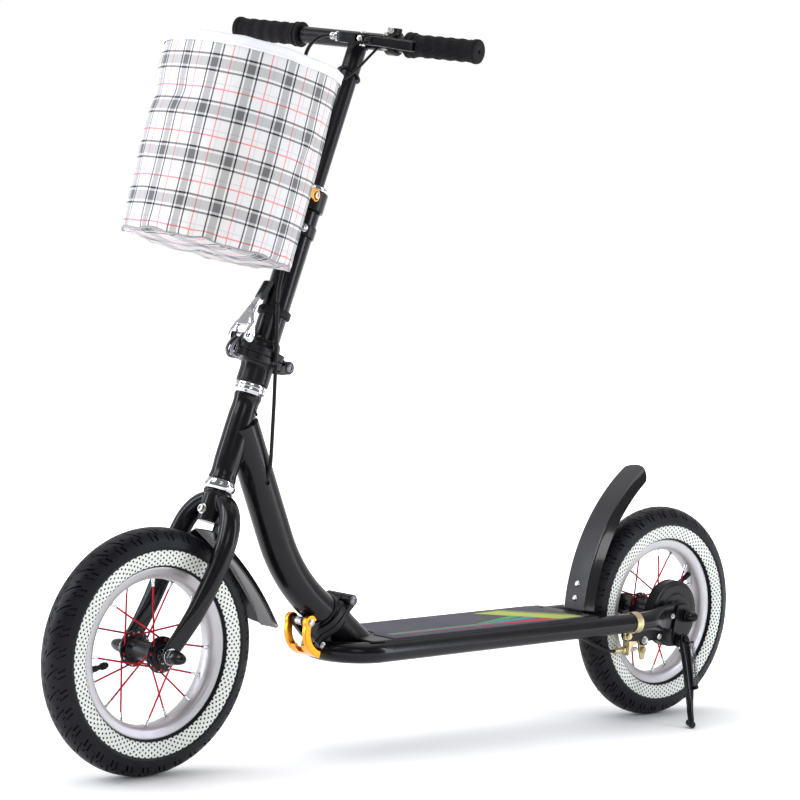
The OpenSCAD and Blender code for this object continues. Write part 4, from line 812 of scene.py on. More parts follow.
def weld(b, P, r=1.7, mat=0, M=MI, ripple=0.22, pitch=2.6):
    """a bead of welding along a closed line."""
    P = [Vector(p) for p in P]
    L = sum((P[(i + 1) % len(P)] - P[i]).length for i in range(len(P)))
    m = max(60, int(L / 0.8))
    # resample
    acc, pts, i, seg = 0.0, [], 0, 0.0
    cum = [0.0]
    for k in range(len(P)):
        cum.append(cum[-1] + (P[(k + 1) % len(P)] - P[k]).length)
    for q in range(m):
        t = L * q / m
        while cum[i + 1] < t:
            i += 1
        f = (t - cum[i]) / max(1e-9, cum[i + 1] - cum[i])
        pts.append(P[i].lerp(P[(i + 1) % len(P)], f))
    cen = sum(pts, Vector()) / m
    rings = []
    for q in range(m):
        tg = (pts[(q + 1) % m] - pts[q - 1]).normalized()
        u = (pts[q] - cen)
        u = (u - tg * u.dot(tg)).normalized()
        v = tg.cross(u)
        s = (L * q / m) % pitch / pitch
        rad = r * (1 + ripple * (0.5 - abs(s - 0.5) * 1.3))
        rings.append([M @ (pts[q] + (u * math.cos(a) + v * math.sin(a)) * rad) for a in [2 * math.pi * k / 10 for k in range(10)]])
    loft(b, rings, caps=(False, False), mat=mat, loop=True)


# ---- fork: two bent and flattened blades on a crown, one welded piece
blade_pts = [[0, 8, 364], [0, 27, 353], [1, 41, 336], [2, 48, 312], [4, 49, 282], [8, 48, 248], [14, 46, 214], [22, 43.5, 184], [30, 42, 160]]
bl_a = [9, 12.5, 13, 13, 12.6, 11.4, 8.6, 4.4, 2.6]
bl_b = [10, 13, 13.5, 13.5, 13, 12.6, 12.2, 12.0, 11.6]
bl_e = [2, 2, 2, 2, 2, 2.05, 2.4, 3.6, 5.0]


def blade(b, s):
    P = cr([(p[0], p[1] * s, p[2]) for p in blade_pts], 8)
    A = [v[0] for v in cr([[q] for q in bl_a], 8)]
    Bb = [v[0] for v in cr([[q] for q in bl_b], 8)]
    E = [v[0] for v in cr([[q] for q in bl_e], 8)]
    Pv, Tn, U, V = frames_along(P, (1, 0, 0))
    rings = []
    for i, p in enumerate(Pv):
        ring = []
        for k in range(44):
            t = 2 * math.pi * k / 44
            c, q = math.cos(t), math.sin(t)
            c = math.copysign(abs(c) ** (2 / E[i]), c)
            q = math.copysign(abs(q) ** (2 / E[i]), q)
            ring.append(MS @ (p + U[i] * (A[i] * c) + V[i] * (Bb[i] * q)))
        rings.append(ring)
    loft(b, rings)


b = B()
for s in (1, -1):
    blade(b, s)
    # flat fork end, turned to the axle
    e0 = Vector((30, 42 * s, 160))
    ax = MS.inverted() @ Vector((XF, 42 * s, ZW))
    lathe(b, [(0, -2.6), (10.6, -2.6), (11.4, -2.0), (11.4, 2.0), (10.6, 2.6), (0, 2.6)], 40, MY((XF, 42 * s, ZW)))
    d = (ax - e0)
    pts = [(MS @ (Vector((30 - 11.6, 42 * s, 162)))), (MS @ Vector((30 + 11.6, 42 * s, 162)))]
    n0, n1 = Vector((XF - 11.3, 42 * s, ZW + 3)), Vector((XF + 11.3, 42 * s, ZW + 3))
    ring = [[(pts[0].x, 42 * s - 2.6, pts[0].z), (pts[1].x, 42 * s - 2.6, pts[1].z), (n1.x, n1.y - 2.6, n1.z), (n0.x, n0.y - 2.6, n0.z)],
            [(pts[0].x, 42 * s + 2.6, pts[0].z), (pts[1].x, 42 * s + 2.6, pts[1].z), (n1.x, n1.y + 2.6, n1.z), (n0.x, n0.y + 2.6, n0.z)]]
    loft(b, ring)
lathe(b, [(0, 330.5), (14.4, 330.5), (15.6, 331.8), (15.6, 366), (16.0, 366.5), (18.2, 366.8), (18.6, 367.6), (18.6, 371.4), (18.2, 371.9), (12.5, 372), (12.5, 386), (0, 386)], 56, MS)
FORK = cast("fork_v", b, BLACK, "fork", ("fork",), voxel=0.95, smooth=7)
b = B()
lathe(b, [(10.2, 372), (12.6, 372), (12.6, 531.5), (11.8, 532.4), (10.2, 532.4)], 48, MS, loop=True)
make("steerer_v", b, STEELD, "fork", sharp=40)

# ---- headset races
b = B()
lathe(b, [(12.66, 372.4), (18.3, 372.4), (18.9, 372.8), (19.9, 375.2), (20.2, 376.2), (20.2, 379.6), (19.9, 380.4), (18.9, 381.2), (18.6, 381.6), (18.6, 382.4), (18.0, 384.6), (17.6, 385.6), (16.8, 385.9), (14.5, 385.9), (14.5, 393), (12.66, 393)], 96, MS, loop=True)
lathe(b, [(12.66, 493), (14.5, 493), (14.5, 500.1), (16.6, 500.1), (17.7, 500.6), (18.3, 501.6), (20.2, 503.4), (20.7, 504.4), (20.7, 507.4), (20.5, 508.0), (20.0, 508.2), (20.0, 508.9), (20.5, 509.2), (20.6, 512.4), (20.0, 513.8), (19.0, 514.0), (12.66, 514.0)], 96, MS, loop=True)
make("headset_v", b, CHROME, "front_frame", ("headset",), bevel=0.25, seg=2, ang=25)

# ---- main frame
AX, AZ_, AR = 67.3, 385.4, 230.0


def arc_pt(phi):
    return Vector((AX + AR * math.cos(math.radians(phi)), 0, AZ_ - AR * math.sin(math.radians(phi))))


HI = MH.inverted()
path = []
d0 = Vector((math.sin(math.radians(204.5)), 0, math.cos(math.radians(204.5))))
p0 = Vector((344.6, 0, 439.3))
for k in range(9):
    path.append(p0 + d0 * (4 + (164.2 - 4) * k / 8))
ph = 24.5 + 2.5
while True:
    p = arc_pt(ph)
    if (HI @ p).z < 8.0:
        break
    path.append(p)
    ph += 1.5
path.append(arc_pt(ph))
b = B()
sweep(b, path, 23.0, n=96, ref=(0, 1, 0))
HT = [(14.6, 386.2), (17.3, 386.2), (17.75, 386.7), (17.75, 389.6), (17.3, 391.2), (16.75, 395), (16.7, 400), (17.0, 406), (17.4, 412), (17.5, 418), (17.5, 468), (17.4, 474), (17.0, 480), (16.7, 486), (16.75, 491), (17.4, 495), (17.9, 496.8), (17.9, 499.2), (17.5, 499.8), (14.6, 499.8)]
dt = make("down_tube_v", b, BLACK, "front_frame", ("main_frame",), sharp=45)
cb = B()
lathe(cb, [(0, 370), (17.3, 370), (17.3, 520), (0, 520)], 96, MS)
rod(cb, (313, 10, 358), (313, 40, 372), 3.3, 24)
cut(dt, cb)
b = B()
lathe(b, HT, 96, MS, loop=True)
make("head_tube_v", b, BLACK, "front_frame", sharp=30)
# weld bead where the down tube meets the head tube
b = B()
MSI = MS.inverted()
uu = Vector((0, 1, 0))
vv = d0.cross(uu).normalized()
line = []
for k in range(120):
    a = 2 * math.pi * k / 120
    off = uu * (23 * math.cos(a)) + vv * (23 * math.sin(a))
    lo, hi = 0.0, 120.0
    f = lambda t: (lambda q: q.x * q.x + q.y * q.y - 17.5 ** 2)(MSI @ (p0 + d0 * t + off))
    # outermost crossing of the head tube surface
    t, best = 118.0, None
    while t > -70:
        if f(t) > 0 and f(t - 1.0) <= 0:
            lo, hi = t - 1.0, t
            for _ in range(20):
                mdl = (lo + hi) / 2
                if f(mdl) > 0:
                    hi = mdl
                else:
                    lo = mdl
            best = (lo + hi) / 2
            break
        t -= 1.0
    line.append((a, best, off))
ok = [p0 + d0 * t + off for a, t, off in line if t is not None]
side1 = [(a, t, off) for a, t, off in line if t is not None]
# the wide tube runs past the narrow one on both sides, so the seam is two open runs
runs, cur = [], []
for a, t, off in line + line[:0]:
    if t is None:
        if cur:
            runs.append(cur)
        cur = []
    else:
        cur.append(p0 + d0 * t + off)
if cur:
    runs.append(cur)
if len(runs) > 1 and line[0][1] is not None and line[-1][1] is not None:
    runs[0] = runs.pop() + runs[0]
for rn in runs:
    if len(rn) > 6:
        m = len(rn)
        Lr = [1.5 * min(1.0, 0.3 + 0.7 * min(i, m - 1 - i) / 5) * (1 + 0.16 * math.sin(i * 2.4)) for i in range(m)]
        sweep(b, rn, Lr, n=10)
make("neck_weld_v", b, BLACK, "front_frame", sharp=60)

# ---- frame hinge, front half
outline = smooth_outline([(9.6, -17), (13, -22.5), (22, -26.2), (34, -27), (46, -25.6), (54.5, -20.5), (60, -15.6), (66, -14), (71.5, -13.2), (73, -9),
                          (73, 9), (71.5, 13.2), (66, 14), (60, 15.6), (54.5, 20.5), (46, 25.6), (34, 27), (22, 26.2), (13, 22.5), (9.6, 17)], 3)
b = B()
ext(b, outline, 0.15, 9.3, MH)
tube_end = HI @ arc_pt(ph)
# collar that takes the tube
mid_ = HI @ arc_pt(ph - 2.0)
sweep(b, [MH @ Vector((tube_end.x, 0, 2)), arc_pt(ph), arc_pt(ph - 1.6)], [25.6, 25.4, 24.6], n=64, ref=(0, 1, 0))
ext(b, circ(0, 0, 8.0, 40), -8.7, 8.7, MH @ MXZ)
box(b, 0, 14, -8.7, 8.7, 0.6, 7.6, MH)
ext(b, [(52, 4), (71, 0.3), (73, 4), (73, 20), (72.5, 31), (66.5, 37.4), (60.5, 31), (59, 20), (50, 13), (46, 9)], 6.0, 14.0, MH @ MXZ)
ext(b, [(52, 4), (71, 0.3), (73, 4), (73, 20), (72.5, 31), (66.5, 37.4), (60.5, 31), (59, 20), (50, 13), (46, 9)], -14.0, -6.0, MH @ MXZ)
box(b, 50, 72.5, -13, 13, 0.6, 10, MH)
cb = B()
box(cb, 62.4, 84, -3.6, 3.6, -3, 40, MH)
for y in (-30.0, 8.75):
    ext(cb, circ(0, 0, 9.4, 40), -y - 21.2, -y, MH @ MXZ)
ext(cb, circ(66.5, 31, 3.1, 32), -30, 30, MH @ MXZ)
cast("hinge_upper_v", b, CAST, "front_frame", ("hinge_upper",), voxel=0.8, smooth=5, cuts=cb)
b = B()
wp = []
Pa, Pb = arc_pt(ph - 2.2), arc_pt(ph - 2.6)
tg = (Pb - Pa).normalized()
e1 = Vector((0, 1, 0))
e2 = tg.cross(e1)
wp = [Pa + e1 * (23.4 * math.cos(2 * math.pi * k / 80)) + e2 * (23.4 * math.sin(2 * math.pi * k / 80)) for k in range(80)]
weld(b, wp, 1.9)
make("hinge_weld_v", b, BLACK, "front_frame", sharp=60)

# ---- frame hinge, deck half with its short tube
b = B()
ext(b, outline, -9.0, -0.15, MH)
for y0, y1 in ((-24.3, -9.1), (9.1, 24.3)):
    ext(b, circ(0, 0, 8.0, 40), -y1, -y0, MH @ MXZ)
    box(b, 0, 14, y0, y1, -7.6, -0.6, MH)
for y0, y1 in ((-14, -4.2), (4.2, 14)):
    ext(b, [(50, -1), (73.6, -0.4), (73.8, -14), (72, -21), (66, -25), (60, -25.5), (55, -21), (50, -12)], -y1, -y0, MH @ MXZ)
box(b, 50, 64, -13, 13, -14, -1, MH)
sd = Vector((math.sin(math.radians(232)), 0, math.cos(math.radians(232))))
s0 = Vector((179, 0, 183))
sweep(b, [s0 - sd * 3, s0 + sd * 30, s0 + sd * 72], [25.2, 24.0, 24.0], n=72, ref=(0, 1, 0))
cb = B()
box(cb, 59.6, 84, -3.9, 3.9, -42, 6, MH)
ext(cb, circ(66.5, -6.5, 4.7, 32), -8.8, 8.8, MH @ MXZ)
box(cb, 61.8, 92, -8.8, 8.8, -6.5, 10, MH)
ext(cb, circ(0, 0, 9.4, 40), -9.0, 9.0, MH @ MXZ)
box(cb, 0, 180, -60, 60, -60, 125, MI)
cb2 = B()
box(cb2, 0, 240, -60, 60, 40, 134.5, MI)
o = cast("hinge_lower_v", b, CAST, "deck", ("hinge_lower",), voxel=0.8, smooth=5, cuts=None)
cb3 = B()
box(cb3, 59.6, 84, -3.9, 3.9, -42, 6, MH)
cut(o, cb3)
cb3 = B()
ext(cb3, circ(66.5, -6.5, 4.7, 32), -8.8, 8.8, MH @ MXZ)
cut(o, cb3)
cb3 = B()
box(cb3, 61.8, 92, -8.8, 8.8, -6.5, 10, MH)
cut(o, cb3)
cb3 = B()
ext(cb3, circ(0, 0, 9.4, 40), -9.0, 9.0, MH @ MXZ)
cut(o, cb3)
cut(o, cb2)
b = B()
for y, s in ((24.35, 1), (-24.35, -1)):
    Mh = MH @ T(0, y, 0) @ R("X", -90 * s)
    lathe(b, [(0, 0.02), (6.2, 0.02), (6.5, 0.5), (6.2, 1.6), (5.2, 2.2), (3.0, 2.4), (2.7, 1.5), (0, 1.4)], 40, Mh)
rod(b, MH @ Vector((0, -24, 0)), MH @ Vector((0, 24, 0)), 4.0, 24)
make("frame_hinge_pin_v", b, STEELD, "deck", ("frame_hinge_pin",), sharp=35)

# ---- draw bolt of the frame latch: cross pin, shank and barrel nut
b = B()
lathe(b, [(0, -17), (2.6, -17), (3.0, -16.6), (3.0, 16.6), (2.6, 17), (0, 17)], 28, MH @ T(66.5, 0, 31) @ R("X", -90))
lathe(b, [(3.05, -5.6), (5.0, -5.6), (5.4, -5.2), (5.4, 5.2), (5.0, 5.6), (3.05, 5.6)], 28, MH @ T(66.5, 0, 31) @ R("X", -90), loop=True)
lathe(b, [(0, -6.4), (2.9, -6.4)] + [(3.0 - 0.25 * (i % 2), -6 + i * 0.55) for i in range(50)] + [(3.0, 22), (3.0, 28), (0, 28)], 28, MH @ T(66.5, 0, 0))
lathe(b, [(0, -8), (3.6, -8), (4.1, -7.4), (4.1, 7.4), (3.6, 8), (0, 8)], 32, MH @ T(66.5, 0, -6.5) @ R("X", -90))
make("latch_bolt_v", b, STEEL, "front_frame", ("latch_bolt",), sharp=35)

# ---- orange cam lever of the frame latch
def ringpts(r, a0, a1, n=20):
    return [(57 + r * math.cos(math.radians(a0 + (a1 - a0) * i / n)), 3 + r * math.sin(math.radians(a0 + (a1 - a0) * i / n))) for i in range(n + 1)]


b = B()
cheek = ringpts(36, -29, 62) + circ(66.5, 31, 9.5, 14, 20, 205) + ringpts(27, 62, -29)
for y0, y1 in ((-21.7, -14.5), (14.5, 21.7)):
    slab(b, cheek, y0, y1, MH)
web = ringpts(35.6, -29, 13) + ringpts(30.8, 13, -29)
slab(b, web, -15.5, 15.5, MH)
cb = B()
box(cb, 70, 100, -6, 6, -2, 40, MH)
ext(cb, circ(66.5, 31, 3.15, 32), -30, 30, MH @ MXZ)
o = cast("frame_latch_lever_v", b, ORANGE, "frame_latch", ("frame_latch_lever",), voxel=0.7, smooth=4, cuts=cb)
b = B()
for s in (1, -1):
    lathe(b, [(0, 21.5), (4.6, 21.5), (5.0, 22.0), (4.8, 23.0), (3.6, 23.6), (2.0, 23.7), (1.8, 23.0), (0, 22.9)], 32, MH @ T(66.5, 0, 31) @ R("X", -90 * s))
make("latch_pin_heads_v", b, ZINCW, "frame_latch", sharp=35)
# the two bright bolts of the lower ear
b = B()
for (x, z) in ((63.5, -19.5), (69.5, -12.5)):
    for s in (1, -1):
        Mh = MH @ T(x, 13.6 * s, z) @ R("X", -90 * s)
        lathe(b, [(0, 0), (4.4, 0), (4.6, 0.4), (4.6, 0.9), (4.2, 1.1), (3.4, 1.1), (3.2, 2.6), (2.4, 3.1), (0, 3.2)], 28, Mh)
make("ear_bolts_v", b, ZINCW, "deck", sharp=35)


# ================================================================== deck
def sweepx(b, P, A, Bx, E, n=32, ref=None, mat=0, M=MI, caps=(True, True)):
    """a section whose half axes and squareness change along the way."""
    Pv, Tn, U, V = frames_along(P, ref)
    rings = []
    for i, p in enumerate(Pv):
        ring = []
        for k in range(n):
            t = 2 * math.pi * k / n
            c, q = math.cos(t), math.sin(t)
            c = math.copysign(abs(c) ** (2 / E[i]), c)
            q = math.copysign(abs(q) ** (2 / E[i]), q)
            ring.append(M @ (p + U[i] * (A[i] * c) + V[i] * (Bx[i] * q)))
        rings.append(ring)
    loft(b, rings, caps=caps, mat=mat)


DT = math.tan(math.radians(1.15))
ends = [(-396, 14, 14, 2.0), (-403, 13.2, 14.5, 2.1), (-411, 11.2, 15.4, 2.3), (-419, 8.2, 16.6, 2.8), (-427, 5.0, 17.8, 3.6), (-433, 3.3, 18.5, 4.6), (-439, 2.6, 18.8, 6), (-455, 2.5, 19, 7), (-474, 2.5, 19, 7),
        (-481, 2.5, 17.8, 7), (-486, 2.5, 15.0, 7), (-490, 2.5, 10.5, 7), (-492.3, 2.5, 5.5, 6), (-493, 2.4, 1.5, 5)]


def deck_xyz(x, y, z=0.0):
    return MD @ Vector((x, y, z))


P, A, Bz, E = [], [], [], []
for x, a, h, e in reversed(ends):
    f = min(1.0, (-396 - x) / 78)
    zc = (142.5 - x * DT) * (1 - f) + 155 * f
    P.append(Vector((x, 56 - f, zc)))
    A.append(a), Bz.append(h), E.append(e)
for x in (-380, -300, -200, -100, 0, 80, 120):
    P.append(deck_xyz(x, 56)), A.append(14), Bz.append(14), E.append(2.0)
for k in range(1, 48):
    t = math.radians(90 - 180 * k / 48)
    P.append(deck_xyz(130 + 56 * math.cos(t), 56 * math.sin(t))), A.append(14), Bz.append(14), E.append(2.0)
m = len(P)
half = [(Vector((p.x, -p.y, p.z)), a, h, e) for p, a, h, e in zip(P[:m - 47], A[:m - 47], Bz[:m - 47], E[:m - 47])][::-1]
P += [q[0] for q in half]
A += [q[1] for q in half]
Bz += [q[2] for q in half]
E += [q[3] for q in half]
b = B()
sweepx(b, P, A, Bz, E, n=64, ref=(0, 0, 1))
# cross members, gusset
for x, r in ((-286, 9), (-120, 8), (40, 8)):
    rod(b, deck_xyz(x, -47, 0 if x == -286 else -4), deck_xyz(x, 47, 0 if x == -286 else -4), r, 28)
deckf = make("deck_frame_v", b, BLACK, "deck", ("deck_frame",), sharp=42)
b = B()
box(b, 76, 172, -45.5, 45.5, -10, -1, MD)
cb = B()
box(cb, 70, 122, 14, 40, -14, 4, MD)
o = make("deck_gusset_v", b, BLACK, "deck", sharp=42)
cut(o, cb)
b = B()
for x, s in ((-286, 9.2), (-120, 8.2), (40, 8.2)):
    zc = 0 if x == -286 else -4
    for sg in (1, -1):
        c = deck_xyz(x, sg * 43.2, zc)
        ring = []
        for k in range(60):
            a = 2 * math.pi * k / 60
            yy = 56 - math.sqrt(max(0.0, 14 ** 2 - (zc + s * math.sin(a)) ** 2))
            ring.append(deck_xyz(x + s * math.cos(a), sg * yy, zc + s * math.sin(a)))
        weld(b, ring, 1.5)
make("deck_welds_v", b, BLACK, "deck", sharp=60)
# cable clips under the tube
b = B()
for x in (-20, -140, -245):
    Mc = MD @ T(x, 38, -12) @ R("Y", 90)
    lathe(b, [(3.0, -3.6), (4.0, -3.6), (4.2, -3.2), (4.2, 3.2), (4.0, 3.6), (3.0, 3.6)], 28, Mc, loop=True)
    box(b, x - 3.6, x + 3.6, 40.5, 49, -13.4, -11.6, MD)
make("cable_clips_v", b, PLAST, "deck", bevel=0.3)


def deck_shape(x0, y, n=64, xe=130.0, r=5.0):
    pts = [(x0 + r, -y)] + [(130 + y * math.cos(math.radians(a)), y * math.sin(math.radians(a))) for a in np.linspace(-90, 90, n)]
    pts += [(x0 + r, y)] + [(x0 + r - r * math.sin(math.radians(a)), y - r + r * math.cos(math.radians(a))) for a in (22, 45, 68, 90)]
    pts += [(x0 + r - r * math.cos(math.radians(a)), -y + r - r * math.sin(math.radians(a))) for a in (0, 22, 45, 68)]
    return pts


b = B()
ext(b, deck_shape(-288, 61), 14.05, 16.05, MD)
o = make("deck_plate_v", b, PLATE, "deck", ("deck_plate",), sharp=35)
cb = B()
sweep(cb, [s0 - sd * 40, s0 + sd * 120], [24.6, 24.6], n=72, ref=(0, 1, 0))
cut(o, cb)
cb = B()
box(cb, -10, 120, -80, 80, -40, 60, MH)
cut(o, cb)
md = o.modifiers.new("bevel", "BEVEL")
md.width, md.segments, md.limit_method, md.angle_limit = 0.0006, 2, "ANGLE", math.radians(50)
bake(o)
# turned-down lip along both sides of the plate
b = B()
for s in (1, -1):
    P = [deck_xyz(x, s * 60.6, 12.6) for x in (-284, -150, 0, 100, 130)]
    sweepx(b, P, [0.9] * 5, [3.0] * 5, [4] * 5, n=16, ref=(0, 0, 1))
make("deck_lip_v", b, PLATE, "deck", sharp=42)
b = B()
for x in (-276, -60):
    for s in (1, -1):
        bolt_head(b, MD @ T(x, s * 44, 16.0), 4.6, 1.5)
make("deck_screws_v", b, STEELD, "deck", sharp=35)

# ---- anti-slip sheet with printed stripes
g = NT("grip_sheet")
co = g.coords()
x, y, z = g.sep(co)
X = g.m("MULTIPLY", x, 1000.0)
Y = g.m("MULTIPLY", y, 1000.0)
big = g.noise(co, 9.0, 4.0)
base = g.mix(g.remap(big, 0.3, 0.7, 0, 1), (0.075, 0.070, 0.092), (0.105, 0.098, 0.122))
speck = g.noise(co, 1500.0, 2.0)
base = g.mix(g.remap(speck, 0.52, 0.72, 0, 0.55), base, (0.26, 0.25, 0.29))
# lines run the length of the deck and fan out towards the rear
fan = g.m("MAXIMUM", 0.0, g.m("MULTIPLY", g.m("SUBTRACT", -70.0, X), 0.012))
yc = g.m("ADD", 30.0, g.m("MULTIPLY", fan, -16.0))
wid = g.m("ADD", 1.5, g.m("MULTIPLY", fan, 4.6))
rel = g.m("DIVIDE", g.m("SUBTRACT", Y, yc), wid)


def stripe(k0, k1):
    return g.m("MULTIPLY", g.m("GREATER_THAN", rel, k0), g.m("LESS_THAN", rel, k1))


lenm = g.m("MULTIPLY", g.m("LESS_THAN", X, 96.0), g.m("GREATER_THAN", g.m("ADD", X, g.m("MULTIPLY", Y, 0.8)), -168.0))
col = base
for k, c in ((4.6, (0.60, 0.045, 0.07)), (1.9, (0.045, 0.33, 0.38)), (-0.8, (0.09, 0.40, 0.12))):
    col = g.mix(g.m("MULTIPLY", stripe(k - 1.1, k + 0.9), lenm), col, c)
# yellow-green field behind the stripes
dg_ = g.m("ADD", X, g.m("MULTIPLY", Y, 0.8))
fld = g.m("MULTIPLY", g.m("LESS_THAN", dg_, -172.0), g.m("GREATER_THAN", dg_, -222.0))
fld = g.m("MULTIPLY", fld, g.m("MULTIPLY", g.m("LESS_THAN", Y, 52.0), g.m("GREATER_THAN", Y, -44.0)))
col = g.mix(fld, col, g.mix(g.remap(big, 0.3, 0.7, 0, 1), (0.42, 0.50, 0.10), (0.56, 0.62, 0.14)))
d2 = g.m("MULTIPLY", g.m("LESS_THAN", dg_, -228.0), g.m("GREATER_THAN", dg_, -234.0))
col = g.mix(g.m("MULTIPLY", d2, g.m("LESS_THAN", Y, 52.0)), col, (0.42, 0.50, 0.10))
grit = g.voronoi(co, 900.0)
nr = g.bump(g.m("ADD", g.m("MULTIPLY", grit, 0.8), g.m("MULTIPLY", speck, 0.5)), 0.6, 0.0006)
GRIPM = g.out(col, g.remap(speck, 0.3, 0.7, 0.62, 0.85), 0.0, nr, Specular_IOR_Level=0.25)
b = B()
pts = [(-262 + 4, -58.5), (112, -58.5), (112, 58.5), (-258, 58.5), (-260.8, 57.3), (-262, 54.5), (-262, -54.5), (-260.8, -57.3)]
rows = []
ext(b, pts, 16.05, 17.05, MD)
o = make("deck_grip_v", b, GRIPM, "deck", ("deck_grip",), sharp=35)
cb = B()
sweep(cb, [s0 - sd * 40, s0 + sd * 120], [28, 28], n=72, ref=(0, 1, 0))
cut(o, cb)
md = o.modifiers.new("bevel", "BEVEL")
md.width, md.segments, md.limit_method, md.angle_limit = 0.0004, 2, "ANGLE", math.radians(50)
bake(o)


# ================================================================== fenders
def fender(name, cen, Rr, a0, a1, wid, flat, drop, thick, body, rep, tipf, face_mat, side_mat, na=110, cuts=None, wave=None):
    """arched sheet about cen: angles in degrees above -> x = cen + R cos, z = cen + R sin."""
    us = [0, 0.22, 0.42, 0.55, (flat - 1.2) / wid, (flat - 0.5) / wid, (flat + 0.3) / wid, (flat + 1.4) / wid, (flat + 3.2) / wid, 0.82, 0.92, 0.985, 1.0]
    us = sorted(set(us))
    us = [-u for u in reversed(us[1:])] + us
    top, bot, tmask = [], [], []
    for i in range(na + 1):
        a = a0 + (a1 - a0) * i / na
        W = tipf(a)
        rt_, rb_ = [], []
        for u in us:
            yy = u * wid
            if abs(yy) > W:
                yy = math.copysign(W, u)
            ay = abs(yy)
            q = max(0.0, ay - flat)
            k = drop / (wid - flat)
            h = -k * (math.sqrt(q * q + 0.8) - math.sqrt(0.8)) if q > 0 else 0.0
            # slight crown of the flat face
            h -= 0.5 * (ay / flat) ** 2 if ay < flat else 0.5
            rt_.append((Rr + h, yy))
            nh = Vector((k, 1)).normalized() if q > 0.8 else Vector((0, 1))
            rb_.append((Rr + h - thick * nh[1], math.copysign(max(0.0, ay - thick * nh[0]), yy)))
        top.append((a, rt_))
        bot.append((a, rb_))
    b = B()
    n = len(us)

    def pos(a, r, y):
        return (cen[0] + r * math.cos(math.radians(a)), y, cen[1] + r * math.sin(math.radians(a)))
    verts = [pos(a, r, y) for a, row in top for r, y in row] + [pos(a, r, y) for a, row in bot for r, y in row]
    o2 = (na + 1) * n
    faces, mats = [], []
    for i in range(na):
        for k in range(n - 1):
            q = (i * n + k, i * n + k + 1, (i + 1) * n + k + 1, (i + 1) * n + k)
            faces.append(q)
            mats.append(0 if abs(us[k] + us[k + 1]) / 2 * wid < flat - 0.6 else 1)
            faces.append(tuple(o2 + j for j in reversed(q)))
            mats.append(1)
        for k in (0, n - 1):
            q = (i * n + k, (i + 1) * n + k, o2 + (i + 1) * n + k, o2 + i * n + k)
            faces.append(q if k else tuple(reversed(q)))
            mats.append(1)
    for i in (0, na):
        for k in range(n - 1):
            q = (i * n + k, i * n + k + 1, o2 + i * n + k + 1, o2 + i * n + k)
            faces.append(tuple(reversed(q)) if i == 0 else q)
            mats.append(1)
    b.v, b.f, b.m = verts, faces, mats
    o = make(name, b, [face_mat, side_mat], body, (rep,), sharp=50)
    bm = bmesh.new()
    bm.from_mesh(o.data)
    bmesh.ops.dissolve_degenerate(bm, dist=2e-5, edges=bm.edges)
    bm.to_mesh(o.data)
    bm.free()
    return o


def rear_tip(a):
    # a measured up from +x; tip circle radius 30.7 about the arc point at 50 degrees
    d = 269 * math.sin(math.radians(a - 50))
    if a <= 50:
        return 30.0
    return math.sqrt(max(0.0, 30.7 ** 2 - d * d)) if d < 30.7 else 0.0


def front_tip(a):
    # the arc runs from 151.3 (top) to 125.7... the tip is at the low end of the arc, near 151.3
    d = 408 * math.sin(math.radians(a - 145.9))
    if a <= 145.9:
        return 29.0
    return min(29.0, max(0.0, math.sqrt(max(0.0, 38.2 ** 2 - d * d)) - 8))


FACE2 = paint("fender_face", (0.021, 0.020, 0.024), 0.42, orange=0.3, var=0.2, coat=0.0)
FSIDE = paint("fender_side", (0.006, 0.006, 0.0075), 0.16, coat=0.6, coat_rough=0.05, orange=0.015)
fender("rear_fender_v", (-567, 149), 269, 3.7, 56.5, 30, 19, 11, 2.4, "deck", "rear_fender", rear_tip, FACE2, FSIDE)
fender("front_fender_v", (631, -27), 408, 125.7, 150.2, 29, 18, 12, 2.2, "fork", "front_fender", front_tip, FSIDE, FSIDE)
# rear stay under the fender, rivets
b = B()
arc = [(263.4, a) for a in np.linspace(2.2, 13.0, 14)]
ring = []
for s in (-13, 13):
    pass
P = [Vector((-567 + 264.9 * math.cos(math.radians(a)), 0, 149 + 264.9 * math.sin(math.radians(a)))) for a in np.linspace(1.9, 13.2, 14)]
sweepx(b, P, [13.0] * 14, [1.3] * 14, [9] * 14, n=40, ref=(1, 0, 0.1))
box(b, -311, -279, -13, 13, 8.6, 11.4, MD)
make("rear_stay_v", b, SATIN, "deck", ("rear_fender_fixings",), bevel=0.4, seg=2, ang=45)
b = B()
for a in (7.0, 11.5):
    c = Vector((-567 + 269 * math.cos(math.radians(a)), 0, 149 + 269 * math.sin(math.radians(a))))
    Mr = Matrix.Translation(c) @ R("Y", 90 - a)
    lathe(b, [(0, -6), (2.0, -6), (2.0, -0.2), (4.6, -0.2), (4.7, 0.2), (4.3, 1.2), (3.2, 1.9), (1.6, 2.3), (0, 2.4)], 32, Mr)
make("rear_rivets_v", b, metal("rivet", (0.8, 0.8, 0.82), 0.22), "deck", sharp=40)
# front bracket behind the crown
b = B()
box(b, -21.2, -18.6, -11, 11, 314, 352, MS)
P = [Vector((631 + 409.3 * math.cos(math.radians(a)), 0, -27 + 409.3 * math.sin(math.radians(a)))) for a in np.linspace(128.2, 132.9, 10)]
sweepx(b, P, [11.0] * 10, [1.2] * 10, [9] * 10, n=40, ref=(1, 0, 0.1))
make("front_bracket_v", b, SATIN, "fork", ("front_fender_fixings",), bevel=0.4, seg=2, ang=45)
b = B()
Mr = MS @ T(15.4, 0, 344) @ R("Y", 90)
lathe(b, [(0, 0.0), (6.4, 0.0), (6.6, 0.4), (6.4, 1.0), (4.9, 1.1)] + [(4.9, 4.6), (4.2, 5.2), (2.7, 5.3), (2.4, 3.6), (0, 3.4)], 6 * 6, Mr)
rod(b, MS @ Vector((-26, 0, 344)), MS @ Vector((16, 0, 344)), 2.9, 20)
hexnut(b, MS @ T(-21.6, 0, 344) @ R("Y", -90), 5.2, 4.2)
